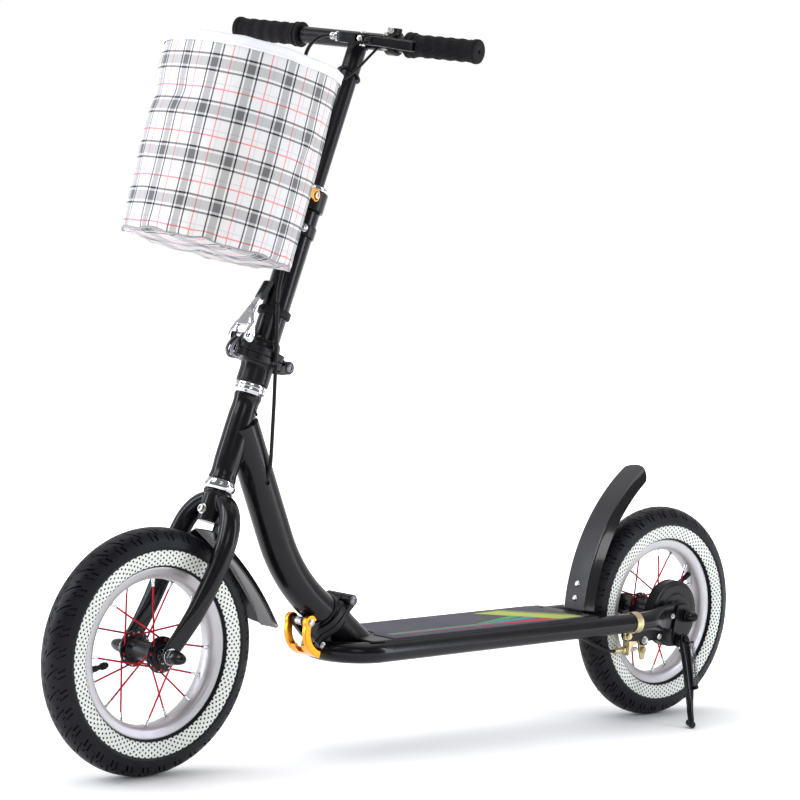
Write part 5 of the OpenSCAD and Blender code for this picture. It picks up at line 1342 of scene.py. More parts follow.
for y in (-6, 6):
    a = 131.4
    c = Vector((631 + 410.2 * math.cos(math.radians(a)), y, -27 + 410.2 * math.sin(math.radians(a))))
    lathe(b, [(0, -3), (3.4, -3), (3.4, 0.2), (2.8, 1.2), (1.4, 1.7), (0, 1.8)], 28, Matrix.Translation(c) @ R("Y", 90 - a))
make("front_bolts_v", b, ZINCW, "fork", sharp=35)


# ================================================================== rear brake
DM = MY((XR, 0, ZW))
b = B()
lathe(b, [(36, 22.6), (39.4, 22.6), (40, 23.2), (40, 36.4), (36.5, 36.4), (36, 26), (14.2, 25.4), (14.2, 22.6)], 80, DM, loop=True)
make("brake_drum_v", b, DRUM, "rear_wheel", ("brake_drum",), sharp=35)
b = B()
lathe(b, [(46.6, 24.2), (48.4, 24.0), (49.2, 24.6), (49.2, 26.0), (48.4, 26.8), (48.2, 28.4), (48.2, 36.6), (49.0, 37.8), (49.0, 39.4), (48.2, 40.4), (46.6, 40.9), (44.2, 41.0), (43.2, 41.3), (42.6, 42.3), (41.2, 42.7), (36.5, 42.3), (31.4, 42.3), (30.4, 42.8),
          (29.8, 43.9), (28.6, 44.4), (24, 44.1), (20.9, 44.3), (20.2, 45.2), (19.2, 45.9), (14.5, 45.9), (12, 46.4), (11.2, 47.4), (11, 52.2), (10.4, 52.5), (4.1, 52.5), (4.1, 38.0), (46.2, 37.6)], 120, DM, loop=True)
arm = smooth_outline([(-444, 118.6), (-439, 136), (-434, 140.6), (-400, 139.4), (-376, 137.6), (-364, 136.4), (-359.2, 132.6), (-358.2, 127), (-361.6, 122.4), (-369, 120.6), (-384, 119.9), (-395.6, 119.2), (-399.2, 116.4), (-400.4, 113.4), (-404, 112.4), (-409.6, 112.4), (-412.6, 113.4), (-414.6, 117.2), (-419, 118.6), (-428, 118.4)], 5)
slab(b, arm, 41.5, 44.4)
# rib pressed into the arm
slab(b, smooth_outline([(-432, 126.4), (-430, 131.6), (-400, 131.0), (-381, 130.4), (-378, 128), (-381, 125.8), (-400, 125.4), (-430, 124.6)], 5), 44.0, 45.0)
make("brake_cover_v", b, SATIN, "deck", ("brake_cover",), bevel=0.45, seg=2, ang=30)
b = B()
for (x, z, y1, r) in ((-406, 120, 44.5, 4.4),):
    M1 = MY((x, y1, z))
    lathe(b, [(0, 0), (r + 1.4, 0), (r + 1.6, 0.3), (r + 1.4, 0.9), (r, 1.0)], 32, M1)
    hexnut(b, MY((x, y1 + 0.9, z)), r, 3.2)
    rod(b, (x, 36, z), (x, y1 + 5.0, z), 2.6, 16)
# round screw head at the root of the arm
lathe(b, [(0, 0), (4.4, 0), (4.7, 0.5), (4.5, 1.6), (3.6, 2.3), (2.0, 2.5), (1.6, 1.3), (0, 1.2)], 32, MY((-436.5, 44.9, 124.2)))
make("arm_bolts_v", b, ZINCW, "deck", sharp=32)
# small bright nut on the flattened tube
b = B()
hexnut(b, MY((-449, 57.6, 155)), 4.4, 2.8)
lathe(b, [(0, 0), (2.2, 0), (2.2, 3.9), (1.6, 4.3), (0, 4.3)], 20, MY((-449, 57.6, 155)))
make("stay_nut_v", b, ZINCW, "deck", sharp=32)

# ---- clip on the side tube
tat = Vector((-366, 56, 142.5 + 366 * DT))
b = B()
Mt = Matrix.Translation(tat) @ R("Y", 90 + 1.15)
lathe(b, [(14.0, -6.5), (15.2, -6.5), (15.7, -6.1), (15.5, -5.4), (15.5, 5.4), (15.7, 6.1), (15.2, 6.5), (14.0, 6.5)], 72, Mt, loop=True)
# strap ends run down to the bolt
for y0 in (44.8, 47.4):
    P = [Vector((-366.4, 44.1 + (y0 - 44.8) * 1.6, 147)), Vector((-366.4, 43.8 + (y0 - 44.8) * 1.3, 140)), Vector((-366.2, y0 - 0.3, 134)), Vector((-366, y0, 129)), Vector((-366, y0, 123.6))]
    P = cr(P, 5)
    sweepx(b, P, [0.85] * len(P), [6.4] * (len(P) - 1) + [4.6], [5] * len(P), n=24, ref=(1, 0, 0))
hexnut(b, MY((-366, 48.3, 129)), 5.2, 3.4)
lathe(b, [(0, 0), (6.0, 0), (6.2, 0.4), (6.0, 0.8), (0, 0.8)], 32, MY((-366, 47.6, 129)))
hexnut(b, MY((-366, 37.2, 129)), 5.0, 3.9)
rod(b, (-366, 37, 129), (-366, 52.4, 129), 2.9, 16)
make("brake_clip_v", b, ZINC, "deck", ("brake_clip",), bevel=0.25, seg=2, ang=32)

# ---- cable stop with its adjuster barrel
b = B()
slab(b, smooth_outline([(-392.2, 120.6), (-392, 115.2), (-386, 113.2), (-382, 108), (-378.6, 102.6), (-376.6, 99), (-373.7, 99), (-373.7, 106), (-373.7, 114), (-373.7, 120.8), (-383, 121)], 3), 39.5, 41.4)
box(b, -376, -373.6, 31.2, 41.4, 99.2, 120.6)
lathe(b, [(1.25, 0)] + [(3.25 + 0.24 * (i % 2), 0.3 + i * 0.5) for i in range(26)] + [(3.5, 13.6), (4.5, 14.0), (4.7, 14.6), (4.7, 18.6), (4.5, 19.2), (3.5, 19.6), (3.4, 21.2), (1.3, 21.4)], 28, Matrix.Translation(Vector((-373.6, 35, 106.5))) @ R("Y", 90), loop=True)
hexnut(b, Matrix.Translation(Vector((-373.5, 35, 106.5))) @ R("Y", 90), 5.4, 4.8)
make("cable_stop_v", b, ZINC, "deck", ("cable_stop",), bevel=0.3, seg=2, ang=32)

# ---- brake arm with the pinch bolt
b = B()
slab(b, smooth_outline([(-412.9, 120), (-411.4, 125.4), (-406, 127.2), (-400.8, 125.4), (-399.2, 120), (-401.4, 110), (-403.6, 100), (-406.2, 91.6), (-409.8, 90.6), (-413.4, 91.6), (-415.0, 97), (-415, 104), (-414, 112)], 4), 36.4, 39.0)
lathe(b, [(0, 33.9), (5.4, 33.9), (6.8, 34.4), (7.0, 36.2), (7.0, 40.6), (3.0, 40.9), (3.0, 46.8), (0, 46.8)], 36, MY((-406, 0, 120)))
hexnut(b, MY((-409, 32.6, 105.5)), 4.6, 3.4)
hexnut(b, MY((-409, 39.1, 105.5)), 4.8, 4.2)
rod(b, (-409, 32.8, 105.5), (-409, 44.6, 105.5), 2.2, 16)
make("brake_arm_v", b, ZINC, "brake_arm", ("brake_arm",), bevel=0.3, seg=2, ang=32)

# ---- return spring and bare wire
b = B()
turns, Lr = 13, 22.6
P = []
for i in range(turns * 14 + 1):
    t = 2 * math.pi * i / 14
    P.append(Vector((-399.4 + Lr * i / (turns * 14), 35 + 2.85 * math.cos(t), 106.5 + 2.85 * math.sin(t))))
sweep(b, P, [0.44] * len(P), n=7, ref=(1, 0, 0))
rod(b, (-414, 35, 105.9), (-376, 35, 106.5), 0.75, 12)
make("brake_spring_v", b, metal("wire", (0.72, 0.72, 0.72), 0.25), "deck", ("brake_spring",), sharp=60)

# ================================================================== kickstand
KF = T(-463, 66, 119) @ R("X", 20.5)
b = B()
plate = smooth_outline([(-486, 146), (-489, 154), (-487, 164), (-478, 170.6), (-468, 171.2), (-458.6, 170), (-455, 160), (-453.2, 150), (-450.6, 137), (-449.6, 126), (-450.4, 116), (-454.6, 111.2), (-463, 110.6), (-471.6, 111.2), (-475.8, 116), (-478.4, 126), (-482.4, 137)], 4)
slab(b, plate, 57.6, 61.4)
# folded ear that carries the pivot
lathe(b, [(4.1, -7.4), (7.9, -7.4), (8.5, -6.8), (8.5, 0.1), (7.9, 0.6), (4.1, 0.6)], 44, KF @ MXZ @ R("X", 180), loop=True)
make("kickstand_bracket_v", b, SATIN, "deck", ("kickstand_bracket",), bevel=0.6, seg=3, ang=35)
b = B()
leg = [[0, 4.9, 3], [1, 4.9, -14], [3.5, 5, -36], [8, 5, -59], [11, 5, -71], [14, 5, -83], [17, 5.2, -94], [20, 5.5, -104], [26, 8, -121]]
P = [KF @ Vector(p) for p in (Vector(q) for q in cr(leg, 6))]
A = [v[0] for v in cr([[q] for q in (8.5, 8.8, 8.6, 8.2, 7.8, 7.2, 5.4, 4.8, 4.6)], 6)]
Bb = [v[0] for v in cr([[q] for q in (3.6, 3.9, 4.1, 4.3, 4.4, 4.5, 4.6, 4.7, 4.6)], 6)]
E = [v[0] for v in cr([[q] for q in (4.5, 4.5, 4, 3.6, 3, 2.3, 2, 2, 2)], 6)]
sweepx(b, P, A, Bb, E, n=36, ref=tuple(KF.to_3x3() @ Vector((0, 1, 0))))
lathe(b, [(0, -0.8), (8.4, -0.8), (8.9, -0.2), (8.9, 6.4), (8.3, 7.0), (0, 7.0)], 44, KF @ T(0, 1.8, 0) @ R("X", -90))
lathe(b, [(0, -11.4), (5.4, -11.4), (5.9, -11.0), (5.9, -9.0), (3.95, -8.7), (3.95, 8.0), (0, 8.0)], 36, KF @ R("X", -90))
hexnut(b, KF @ T(0, 8.7, 0) @ R("X", -90), 5.6, 3.0)
# stop bump on the leading edge, lug for the springs
lathe(b, [(0, -3.4), (2.6, -3.4), (3.1, -2.6), (3.1, 2.6), (2.6, 3.4), (0, 3.4)], 24, KF @ T(8.8, 4.9, -15) @ R("X", -90))
lathe(b, [(0, -2), (3.0, -2), (3.2, -1.5), (3.2, 6.6), (2.8, 7.1), (0, 7.2)], 28, KF @ T(4.6, 8, -72) @ R("X", -90))
fp = KF @ Vector((26, 8, -121))
P = [fp + Vector((-0.8, -2.2, 3)), fp, fp + (Vector((-438, 109, 7.4)) - fp) * 0.6, Vector((-437.8, 110.5, 6.8)), Vector((-436.4, 116, 5.7)), Vector((-434.8, 121.6, 5.3))]
P = cr(P, 5)
sweep(b, P, [4.6] * (len(P) - 6) + [4.8, 5.0, 5.1, 5.1, 5.0, 4.2], n=28)
make("kickstand_leg_v", b, BLACK, "kickstand", ("kickstand_leg",), sharp=38)
b = B()
for x in (-9.5, -16):
    a, c = KF @ Vector((x + 5, 12.5, -6)), KF @ Vector((x + 16.5, 12.5, -72))
    d = (c - a)
    u = d.normalized()
    e1 = u.orthogonal().normalized()
    e2 = u.cross(e1)
    P = []
    N = 25 * 12
    for i in range(N + 1):
        t = 2 * math.pi * i / 12
        r = 2.1 * min(1.0, 0.25 + min(i, N - i) / 14)
        P.append(a + d * (0.06 + 0.88 * i / N) + e1 * (r * math.cos(t)) + e2 * (r * math.sin(t)))
    sweep(b, P, [0.55] * len(P), n=7)
    for q0, q1 in ((a, a + d * 0.07), (c, c - d * 0.07)):
        rod(b, q0, q1, 0.7, 10)
rod(b, KF @ Vector((-12, 9, -5)), KF @ Vector((-3, 9, -5)), 1.6, 14)
rod(b, KF @ Vector((0, 12.6, -72)), KF @ Vector((7.6, 13.4, -72)), 1.5, 14)
for x in (-4.5, -11):
    rod(b, KF @ Vector((x, 6, -5.4)), KF @ Vector((x, 13.4, -5.4)), 1.7, 14)
make("kickstand_springs_v", b, STEELD, "deck", ("kickstand_springs",), sharp=60)


# ================================================================== stem: folding base
def stem_plate(x0):
    half = [(34, -13.2), (40, -12.2), (44.2, -10.6), (45.2, -6), (45.2, 6), (44.2, 10.6), (40, 12.2), (34, 13.2)]
    return smooth_outline(half + [(28, 17.0), (20, 21.6), (8, 23.2), (-8, 23.2), (-18, 21.6), (x0 + 1.5, 17), (x0, 9), (x0, -9), (x0 + 1.5, -17), (-18, -21.6), (-8, -23.2), (8, -23.2), (20, -21.6), (28, -17.0)], 3)


MC = MS @ R("Z", 17)      # clamp frame
b = B()
ext(b, stem_plate(-26), 541.2, 550.75, MS)
lathe(b, [(0, 514.4), (20.4, 514.4), (21.0, 515.2), (21.0, 533), (21.3, 537), (22.2, 540.2), (24.5, 543), (0, 544)], 72, MS)
for y0, y1 in ((-16.2, -6.2), (6.2, 16.2)):
    slab(b, circ(-38, 551, 8.5, 40), y0, y1, MS)
    slab(b, [(-40.5, 543.0), (-30, 538.6), (-20, 536.5), (-20, 550.6), (-34, 550.8)], y0, y1, MS)
cb = B()
lathe(cb, [(0, 500), (12.7, 500), (12.7, 533), (0, 533)], 48, MS)
box(cb, 36, 66, -3.4, 3.4, 530, 560, MS)
o = cast("stem_base_v", b, CAST, "fork", ("stem_base",), voxel=0.75, smooth=4, cuts=cb)
cb = B()
slab(cb, circ(40, 544.5, 4.2, 28), -8.2, 8.2, MS)
cut(o, cb)
cb = B()
slab(cb, circ(-38, 551, 9.6, 40), -6.1, 6.1, MS)
cut(o, cb)
b = B()
for s in (1, -1):
    Mh = MS @ T(-38, 16.25 * s, 551) @ R("X", -90 * s)
    lathe(b, [(0, 0.02), (5.6, 0.02), (5.9, 0.4), (5.7, 1.4), (4.9, 2.0), (3.0, 2.2), (2.7, 1.0), (0, 0.9)], 40, Mh)
rod(b, MS @ Vector((-38, -16, 551)), MS @ Vector((-38, 16, 551)), 3.45, 24)
make("stem_hinge_pin_v", b, STEELD, "fork", ("stem_hinge_pin",), sharp=35)

# ---- stem tube with its foot
b = B()
ext(b, stem_plate(-26), 551.25, 560.8, MS)
lathe(b, [(0, 552), (25, 558.6), (22.6, 561.4), (22.0, 564.4), (21.8, 568.2), (20.9, 569.8), (18.2, 571.0), (0, 571.0)], 72, MS)
slab(b, circ(-38, 551, 8.4, 40), -5.6, 5.6, MS)
slab(b, [(-45.4, 554), (-38, 543.2), (-24, 551.6), (-18, 560.8), (-22, 563.8), (-30, 561.6), (-39, 559.4)], -5.6, 5.6, MS)
for y0, y1 in ((-12.0, -5.5), (5.5, 12.0)):
    slab(b, [(31, 553), (45, 553), (45.6, 560), (45, 566)] + circ(40, 566, 5.3, 12, 20, 175) + [(34.2, 561.5), (31, 560.6)], y0, y1, MS)
cb = B()
lathe(cb, [(0, 540), (12.6, 540), (12.6, 590), (0, 590)], 48, MS)
slab(cb, circ(40, 566, 2.6, 24), -20, 20, MS)
box(cb, 36, 66, -3.4, 3.4, 540, 563, MS)
cast("stem_foot_v", b, CAST, "stem", ("stem_tube",), voxel=0.75, smooth=4, cuts=cb)
b = B()
lathe(b, [(12.8, 561), (18.25, 561), (18.25, 777.4), (17.9, 777.9), (13.0, 777.9), (12.8, 777.6)], 96, MS, loop=True)
o = make("stem_tube_v", b, BLACK, "stem", sharp=40)
cb = B()
box(cb, 6, 26, -1.5, 1.5, 742, 790, MC)
rod(cb, MC @ Vector((6, 0, 741.6)), MC @ Vector((26, 0, 741.6)), 2.7, 24)
cut(o, cb)
b = B()
weld(b, [MS @ Vector((19.2 * math.cos(2 * math.pi * k / 60), 19.2 * math.sin(2 * math.pi * k / 60), 571.2)) for k in range(60)], 1.3, pitch=2.4)
make("stem_weld_v", b, BLACK, "stem", sharp=60)

# ---- draw bolt
b = B()
lathe(b, [(0, -15), (2.2, -15), (2.5, -14.6), (2.5, 14.6), (2.2, 15), (0, 15)], 24, MS @ T(40, 0, 566) @ R("X", -90))
lathe(b, [(2.5, -5), (4.3, -5), (4.6, -4.6), (4.6, 4.6), (4.3, 5), (2.5, 5)], 28, MS @ T(40, 0, 566) @ R("X", -90), loop=True)
lathe(b, [(0, -20.5), (2.5, -20.5)] + [(2.8 - 0.22 * (i % 2), -20 + i * 0.5) for i in range(38)] + [(2.8, -2), (0, -2)], 24, MS @ T(40, 0, 566))
lathe(b, [(0, -7.3), (3.3, -7.3), (3.7, -6.8), (3.7, 6.8), (3.3, 7.3), (0, 7.3)], 28, MS @ T(40, 0, 544.5) @ R("X", -90))
make("stem_latch_bolt_v", b, STEEL, "stem", ("stem_latch_bolt",), sharp=35)
b = B()
for y_ in (-4.9, 4.9):
    P = [Vector(p) for p in cr([(42.0, y_, 566.2), (44.6, y_, 562.4), (48.6, y_, 556.6), (51.6, y_, 550.4), (52.2, y_, 544.6), (49.2, y_, 539.6), (44.2, y_, 537.2), (38.4, y_, 538.4)], 6)]
    sweepx(b, P, [1.9] * len(P), [1.9] * len(P), [2.6] * len(P), n=20, ref=(0, 1, 0), M=MS)
rod(b, MS @ Vector((38.4, -6.6, 538.6)), MS @ Vector((38.4, 6.6, 538.6)), 2.4, 20)
make("stem_latch_hook_v", b, STEELD, "stem", sharp=50)

# ---- polished latch lever
b = B()
cheek = smooth_outline([(34.0, 561.6), (37.4, 558.9), (42.4, 558.9), (46.4, 562.4), (47.2, 568), (46.2, 574), (44.0, 580), (42.4, 584.4), (41.4, 587), (39.4, 587.4), (38.2, 584), (36.6, 579), (34.4, 574), (33.0, 568)], 4)
for s in (1, -1):
    y0, y1 = sorted((12.5 * s, 17.9 * s))
    slab(b, cheek, y0, y1, MS)
P = [Vector(p) for p in cr([(40.6, 0, 580), (40.2, 0, 588), (39.2, 0, 597), (36.8, 0, 606), (33.6, 0, 615), (30.2, 0, 624), (27.0, 0, 633), (24.6, 0, 641)], 6)]
AW = [v[0] for v in cr([[q] for q in (16.8, 13.2, 8.8, 6.6, 5.6, 5.1, 4.8, 4.4)], 6)]
BT = [v[0] for v in cr([[q] for q in (2.6, 3.0, 3.0, 2.6, 2.3, 2.1, 2.0, 1.8)], 6)]
sweepx(b, P, AW, BT, [5] * len(P), n=48, ref=(1, 0, 0), M=MS)
o = cast("stem_latch_lever_v", b, CHROME, "stem_latch", ("stem_latch_lever",), voxel=0.6, smooth=5)
cb = B()
slab(cb, smooth_outline([(38.0, 566), (42, 566), (43.0, 571), (41.8, 577), (39.6, 577), (37.6, 571)], 4), 17.1, 30, MS)
cut(o, cb)
b = B()
for s in (1, -1):
    Mh = MS @ T(40, 17.8 * s, 565.4) @ R("X", -90 * s)
    lathe(b, [(0, 0), (5.2, 0), (5.5, 0.4), (5.2, 1.2), (4.2, 1.7), (2.7, 1.8), (2.3, 0.9), (0, 0.8)], 36, Mh)
make("stem_latch_heads_v", b, CHROME, "stem_latch", sharp=35)
b = B()
front, backp = [], []
cen = lambda s_: 29.6 - (s_ - 620) * 0.262
for i in range(12):
    s_ = 620 + i * 2.1
    for k, d in ((0.0, 3.2), (0.7, 4.6), (1.4, 4.7), (2.0, 3.3)):
        front.append((cen(s_ + k) + d, s_ + k))
        backp.append((cen(s_ + k) - d + 0.5, s_ + k))
poly = [(cen(618.5) + 2.0, 618.5)] + front + [(cen(646.3) + 1.6, 646.5), (cen(646.3) - 1.2, 646.5)] + list(reversed(backp)) + [(cen(618.5) - 1.8, 618.5)]
slab(b, poly, -5.4, 5.4, MS)
make("latch_pad_v", b, PLAST, "stem_latch", bevel=0.35, seg=2, ang=30)

# ---- keeper band
b = B()
lathe(b, [(18.3, 606.2), (19.6, 606.0), (20.9, 606.3), (21.5, 607.2), (21.7, 611), (21.5, 614.8), (20.9, 615.8), (19.6, 616.0), (18.3, 615.8)], 96, MS, loop=True, wob=lambda t, z: 0.9 * math.exp(-((t - 0.0) / 0.25) ** 2) + 0.9 * math.exp(-((t - 2 * math.pi) / 0.25) ** 2) + 0.15 * math.sin(3 * t))
slab(b, [(20, 607.6), (24.6, 608.6), (25.2, 611), (24.6, 613.4), (20, 614.4)], -3.2, 3.2, MS)
make("lever_band_v", b, RUBBER, "stem", ("lever_band",), bevel=0.4, seg=2, ang=35)

# ================================================================== height clamp
b = B()
lathe(b, [(18.3, 752.0), (21.0, 752.0), (21.6, 752.7), (21.6, 777.2), (21.0, 777.9), (18.3, 777.9)], 96, MS, loop=True)
o = make("height_collar_v", b, CAST, "stem", ("height_clamp",), sharp=40)
b = B()
for s in (1, -1):
    y0, y1 = sorted((1.6 * s, 10.0 * s))
    box(b, 16.5, 32, y0, y1, 757.2, 774.8, MC)
make("height_ears_v", b, CAST, "stem", bevel=1.6, seg=3, ang=35)
b = B()
lathe(b, [(12.9, 778.1), (18.6, 778.1), (19.4, 778.6), (19.6, 779.6), (19.6, 782.2), (19.2, 783.3), (18.0, 783.9), (14.0, 784.0), (12.9, 783.4)], 96, MS, loop=True)
make("height_ring_v", b, CHROME, "stem", bevel=0.2, seg=2, ang=30)
b = B()
Mb = MC @ T(26.5, 0, 766) @ R("X", -90)
rod(b, MC @ Vector((26.5, 27.4, 766)), MC @ Vector((26.5, -14.4, 766)), 2.5, 20)
hexnut(b, MC @ T(26.5, -10.1, 766) @ R("X", 90), 5.2, 4.2)
lathe(b, [(0, 0), (4.2, 0), (4.5, 0.5), (4.3, 1.4), (3.3, 2.0), (1.9, 2.1), (1.7, 1.2), (0, 1.1)], 32, MC @ T(26.5, 26.2, 766) @ R("X", -90))
make("height_bolt_v", b, ZINCW, "stem", sharp=35)
b = B()
Ml = MC @ T(26.5, 0, 766) @ R("X", -90)         # local z along y
lathe(b, [(2.6, 10.4), (6.4, 10.4), (7.1, 11.0), (7.1, 20.6), (7.6, 21.4), (8.1, 22.2), (8.1, 25.9), (7.6, 26.5), (6.2, 26.5), (5.6, 25.6), (5.5, 23.8), (2.6, 23.6)], 64, Ml, loop=True)
o_arm = smooth_outline([(19.4, 766), (21.4, 760.6), (27, 758.8), (36, 759.4), (43, 758.9), (48, 761.4), (49.6, 766), (48, 770.6), (43, 773.1), (36, 772.6), (27, 773.2), (21.4, 771.4)], 4)
slab(b, o_arm, 22.5, 26.2, MC)
o = cast("height_lever_v", b, ORANGE, "height_lever", ("height_lever",), voxel=0.55, smooth=3)
cb = B()
lathe(cb, [(0, 24.0), (5.6, 24.0), (5.8, 30), (0, 30)], 40, Ml)
cut(o, cb)
b = B()
lathe(b, [(2.7, 23.7), (5.7, 23.7), (5.7, 24.3), (2.7, 24.3)], 40, Ml, loop=True)
make("height_lever_seat_v", b, NUTBLK, "height_lever", sharp=35)

# ---- bracket that carries the basket
b = B()
lathe(b, [(18.3, 716.2), (19.9, 716.2), (20.3, 716.8), (20.3, 730.4), (19.9, 731.0), (18.3, 731.0)], 96, MS, loop=True)
for s in (1, -1):
    y0, y1 = sorted((6.2 * s, 9.2 * s))
    box(b, 15.5, 36, y0, y1, 717.4, 729.8, MS)
ext(b, smooth_outline([(-24, 705), (-20, 702.2), (20, 702.2), (24, 705), (24, 743), (20, 745.8), (-20, 745.8), (-24, 743)], 4), -37.3, -34.7, MS @ Matrix(((0, 0, -1, 0), (1, 0, 0, 0), (0, 1, 0, 0), (0, 0, 0, 1))))
make("basket_bracket_v", b, SATIN, "stem", ("basket_bracket",), bevel=0.4, seg=2, ang=35)
b = B()
for y in (-15, 15):
    for s_ in (709, 739):
        lathe(b, [(0, 0), (4.2, 0), (4.0, 1.2), (2.6, 2.0), (0, 2.2)], 28, MS @ T(34.8, y, s_) @ R("Y", -90))
    lathe(b, [(0, 0), (5.0, 0), (5.0, 3.6), (4.6, 4.1), (0, 4.2)], 32, MS @ T(36.9, y, 724) @ R("Y", 90))
# dome nut on the band's left side
for a_ in (62,):
    Md = MS @ R("Z", a_) @ T(20.2, 0, 725) @ R("Y", 90)
    lathe(b, [(0, 0), (5.4, 0), (5.6, 0.5), (5.4, 1.0), (4.3, 1.2), (4.3, 3.2), (4.1, 4.6), (3.3, 6.0), (1.9, 6.9), (0, 7.2)], 36, Md)
make("basket_bracket_heads_v", b, CHROME, "stem", sharp=35)

# ================================================================== post and handlebar
b = B()
PS = [640.4, 641.2, 700, 780, 860, 930, 966, 973, 977, 980, 982.5, 984]
PA = [12.1, 12.7, 12.7, 12.7, 12.7, 12.7, 12.7, 12.6, 12.3, 11.7, 11.0, 10.2]
sweepx(b, [Vector((0, 0, s_)) for s_ in PS], PA, [11.9] + [12.7] * 11, [2] * 12, n=80, ref=(0, 1, 0), M=MS)
rod(b, TURN @ Vector((BARX, -193, BARZ)), TURN @ Vector((BARX, 179, BARZ)), 11.1, 80)
line = []
for k in range(120):
    a = 2 * math.pi * k / 120
    t_, y_ = 12.7 * math.cos(a), 12.7 * math.sin(a)
    t_ = max(-10.9, min(10.9, t_))
    line.append(TURN @ MS @ Vector((t_, y_ * 1.02, 990 - math.sqrt(11.1 ** 2 - t_ * t_))))
weld(b, line, 1.7, pitch=2.5)
make("handlebar_v", b, SATIN, "handlebar", ("handlebar",), sharp=45)

GR = paint("grip_foam", (0.0045, 0.0045, 0.0052), 0.66, orange=0.3, dust=0.02, spec=0.16)


def grip_bump(t, z):
    if z < 96 or z > 181:
        return 0.0
    e = min(1.0, (z - 96) / 3, (181 - z) / 3)
    v = 0.55 * math.cos(2 * math.pi * (z - 96) / 17.0)
    d = abs(math.sin(10 * t + 0.62 * z)) * abs(math.sin(10 * t - 0.62 * z))
    return e * (v * 0.9 - 0.2 + 0.62 * d)


for s in (1, -1):
    b = B()
    Mg = TURN @ T(BARX, -7, BARZ) @ R("X", -90 * s)
    prof = [(11.15, 83.4), (15.6, 83.2), (16.5, 83.8), (16.85, 85.0), (16.6, 87.0), (15.8, 88.2), (15.4, 89.6), (15.8, 91.0), (16.4, 91.8), (16.5, 92.8), (16.0, 94.0), (14.9, 95.2)]
    z = 96.0
    while z < 181.01:
        prof.append((14.2, z))
        z += 0.62
    prof += [(14.9, 181.8), (15.5, 182.6), (15.75, 184), (15.75, 187.6), (15.3, 188.9), (14.4, 189.6), (13.2, 189.9), (8, 190.0), (2.7, 189.9), (2.2, 189.4), (2.0, 187.5), (0, 187.4)]
    lathe(b, prof, 200, Mg, wob=grip_bump)
    make("grip_left_v" if s > 0 else "grip_right_v", b, GR, "handlebar", ("grips",) if s > 0 else (), sharp=50)

# ================================================================== brake lever
MB = TURN @ T(BARX, -20, BARZ)
b = B()
lathe(b, [(11.3, 66.2), (15.2, 66.2), (15.8, 66.9), (15.8, 80.4), (15.2, 81), (11.3, 81)], 64, MB @ R("X", -90), loop=True)
box(b, -5.4, 7.2, 66.4, 80.8, 9.5, 19.6, MB)
ext(b, smooth_outline([(8, 60), (20, 57.6), (27, 52), (29, 44), (29.6, 30), (30.2, 18.4), (32.4, 16.2), (44, 16.2), (46, 18.6), (46.6, 30), (47.4, 44), (47.6, 55), (45.6, 59.4), (40, 61), (33.4, 64), (30, 72), (26, 78), (16, 79.4), (8, 79)], 4), -6.2, 7.4, MB)
cb = B()
box(cb, 26, 70, 44.2, 61.5, -3.3, 4.9, MB)
box(cb, 33, 80, 58, 90, -3.3, 4.9, MB)
rod(cb, MB @ Vector((0, 60, 0)), MB @ Vector((0, 90, 0)), 11.1, 48)
o = cast("brake_bracket_v", b, SATIN, "handlebar", ("brake_bracket",), voxel=0.6, smooth=4, cuts=cb)
cb = B()
box(cb, -1.2, 1.2, 60, 90, 10, 30, MB)
cut(o, cb)
b = B()
bl = lambda prof, M, n=36: lathe(b, prof, n, M, loop=True)
Mj = MB @ T(38, 0, 1) @ R("X", -90)
lathe(b, [(2.6, 1.0), (4.2, 1.0), (4.6, 1.5), (4.6, 4.4), (4.2, 5.0), (3.4, 5.4), (3.4, 8.6), (2.6, 8.6)], 40, Mj, loop=True)
lathe(b, [(2.6, 8.8), (5.6, 8.8), (6.2, 9.4), (6.2, 12.4), (5.6, 13.0), (3.4, 13.2)] + [(3.4 - 0.25 * (i % 2), 13.3 + i * 0.45) for i in range(9)] + [(2.6, 17)], 40, Mj, loop=True, wob=lambda t, z: 0.22 * math.sin(18 * t) if 9.2 < z < 12.6 else 0.0)
make("adjuster_v", b, CHROME, "handlebar", bevel=0.15, seg=2, ang=35)
b = B()
lathe(b, [(0, -8.6), (3.4, -8.6), (3.8, -8.0), (3.8, -6.6), (3.0, -6.3), (3.0, 7.6), (4.6, 7.8), (4.8, 8.4), (4.5, 9.6), (3.2, 10.3), (2.0, 10.3), (1.6, 9.4), (0, 9.3)], 36, MB @ T(40, 52, 0))
lathe(b, [(0, 0), (3.6, 0), (3.9, 0.5), (3.6, 1.6), (2.4, 2.0), (0, 2.1)], 32, MB @ T(47.4, 52, 0.8) @ R("Y", 90))
rod(b, MB @ Vector((-9.2, 73.5, 15.2)), MB @ Vector((11.4, 73.5, 15.2)), 2.4, 20)
lathe(b, [(0, 0), (4.2, 0), (4.4, 0.5), (4.2, 3.0), (3.4, 3.7), (2.1, 3.8), (1.9, 2.4), (0, 2.3)], 32, MB @ T(7.3, 73.5, 15.2) @ R("Y", 90))
hexnut(b, MB @ T(-5.5, 73.5, 15.2) @ R("Y", -90), 4.6, 3.4)
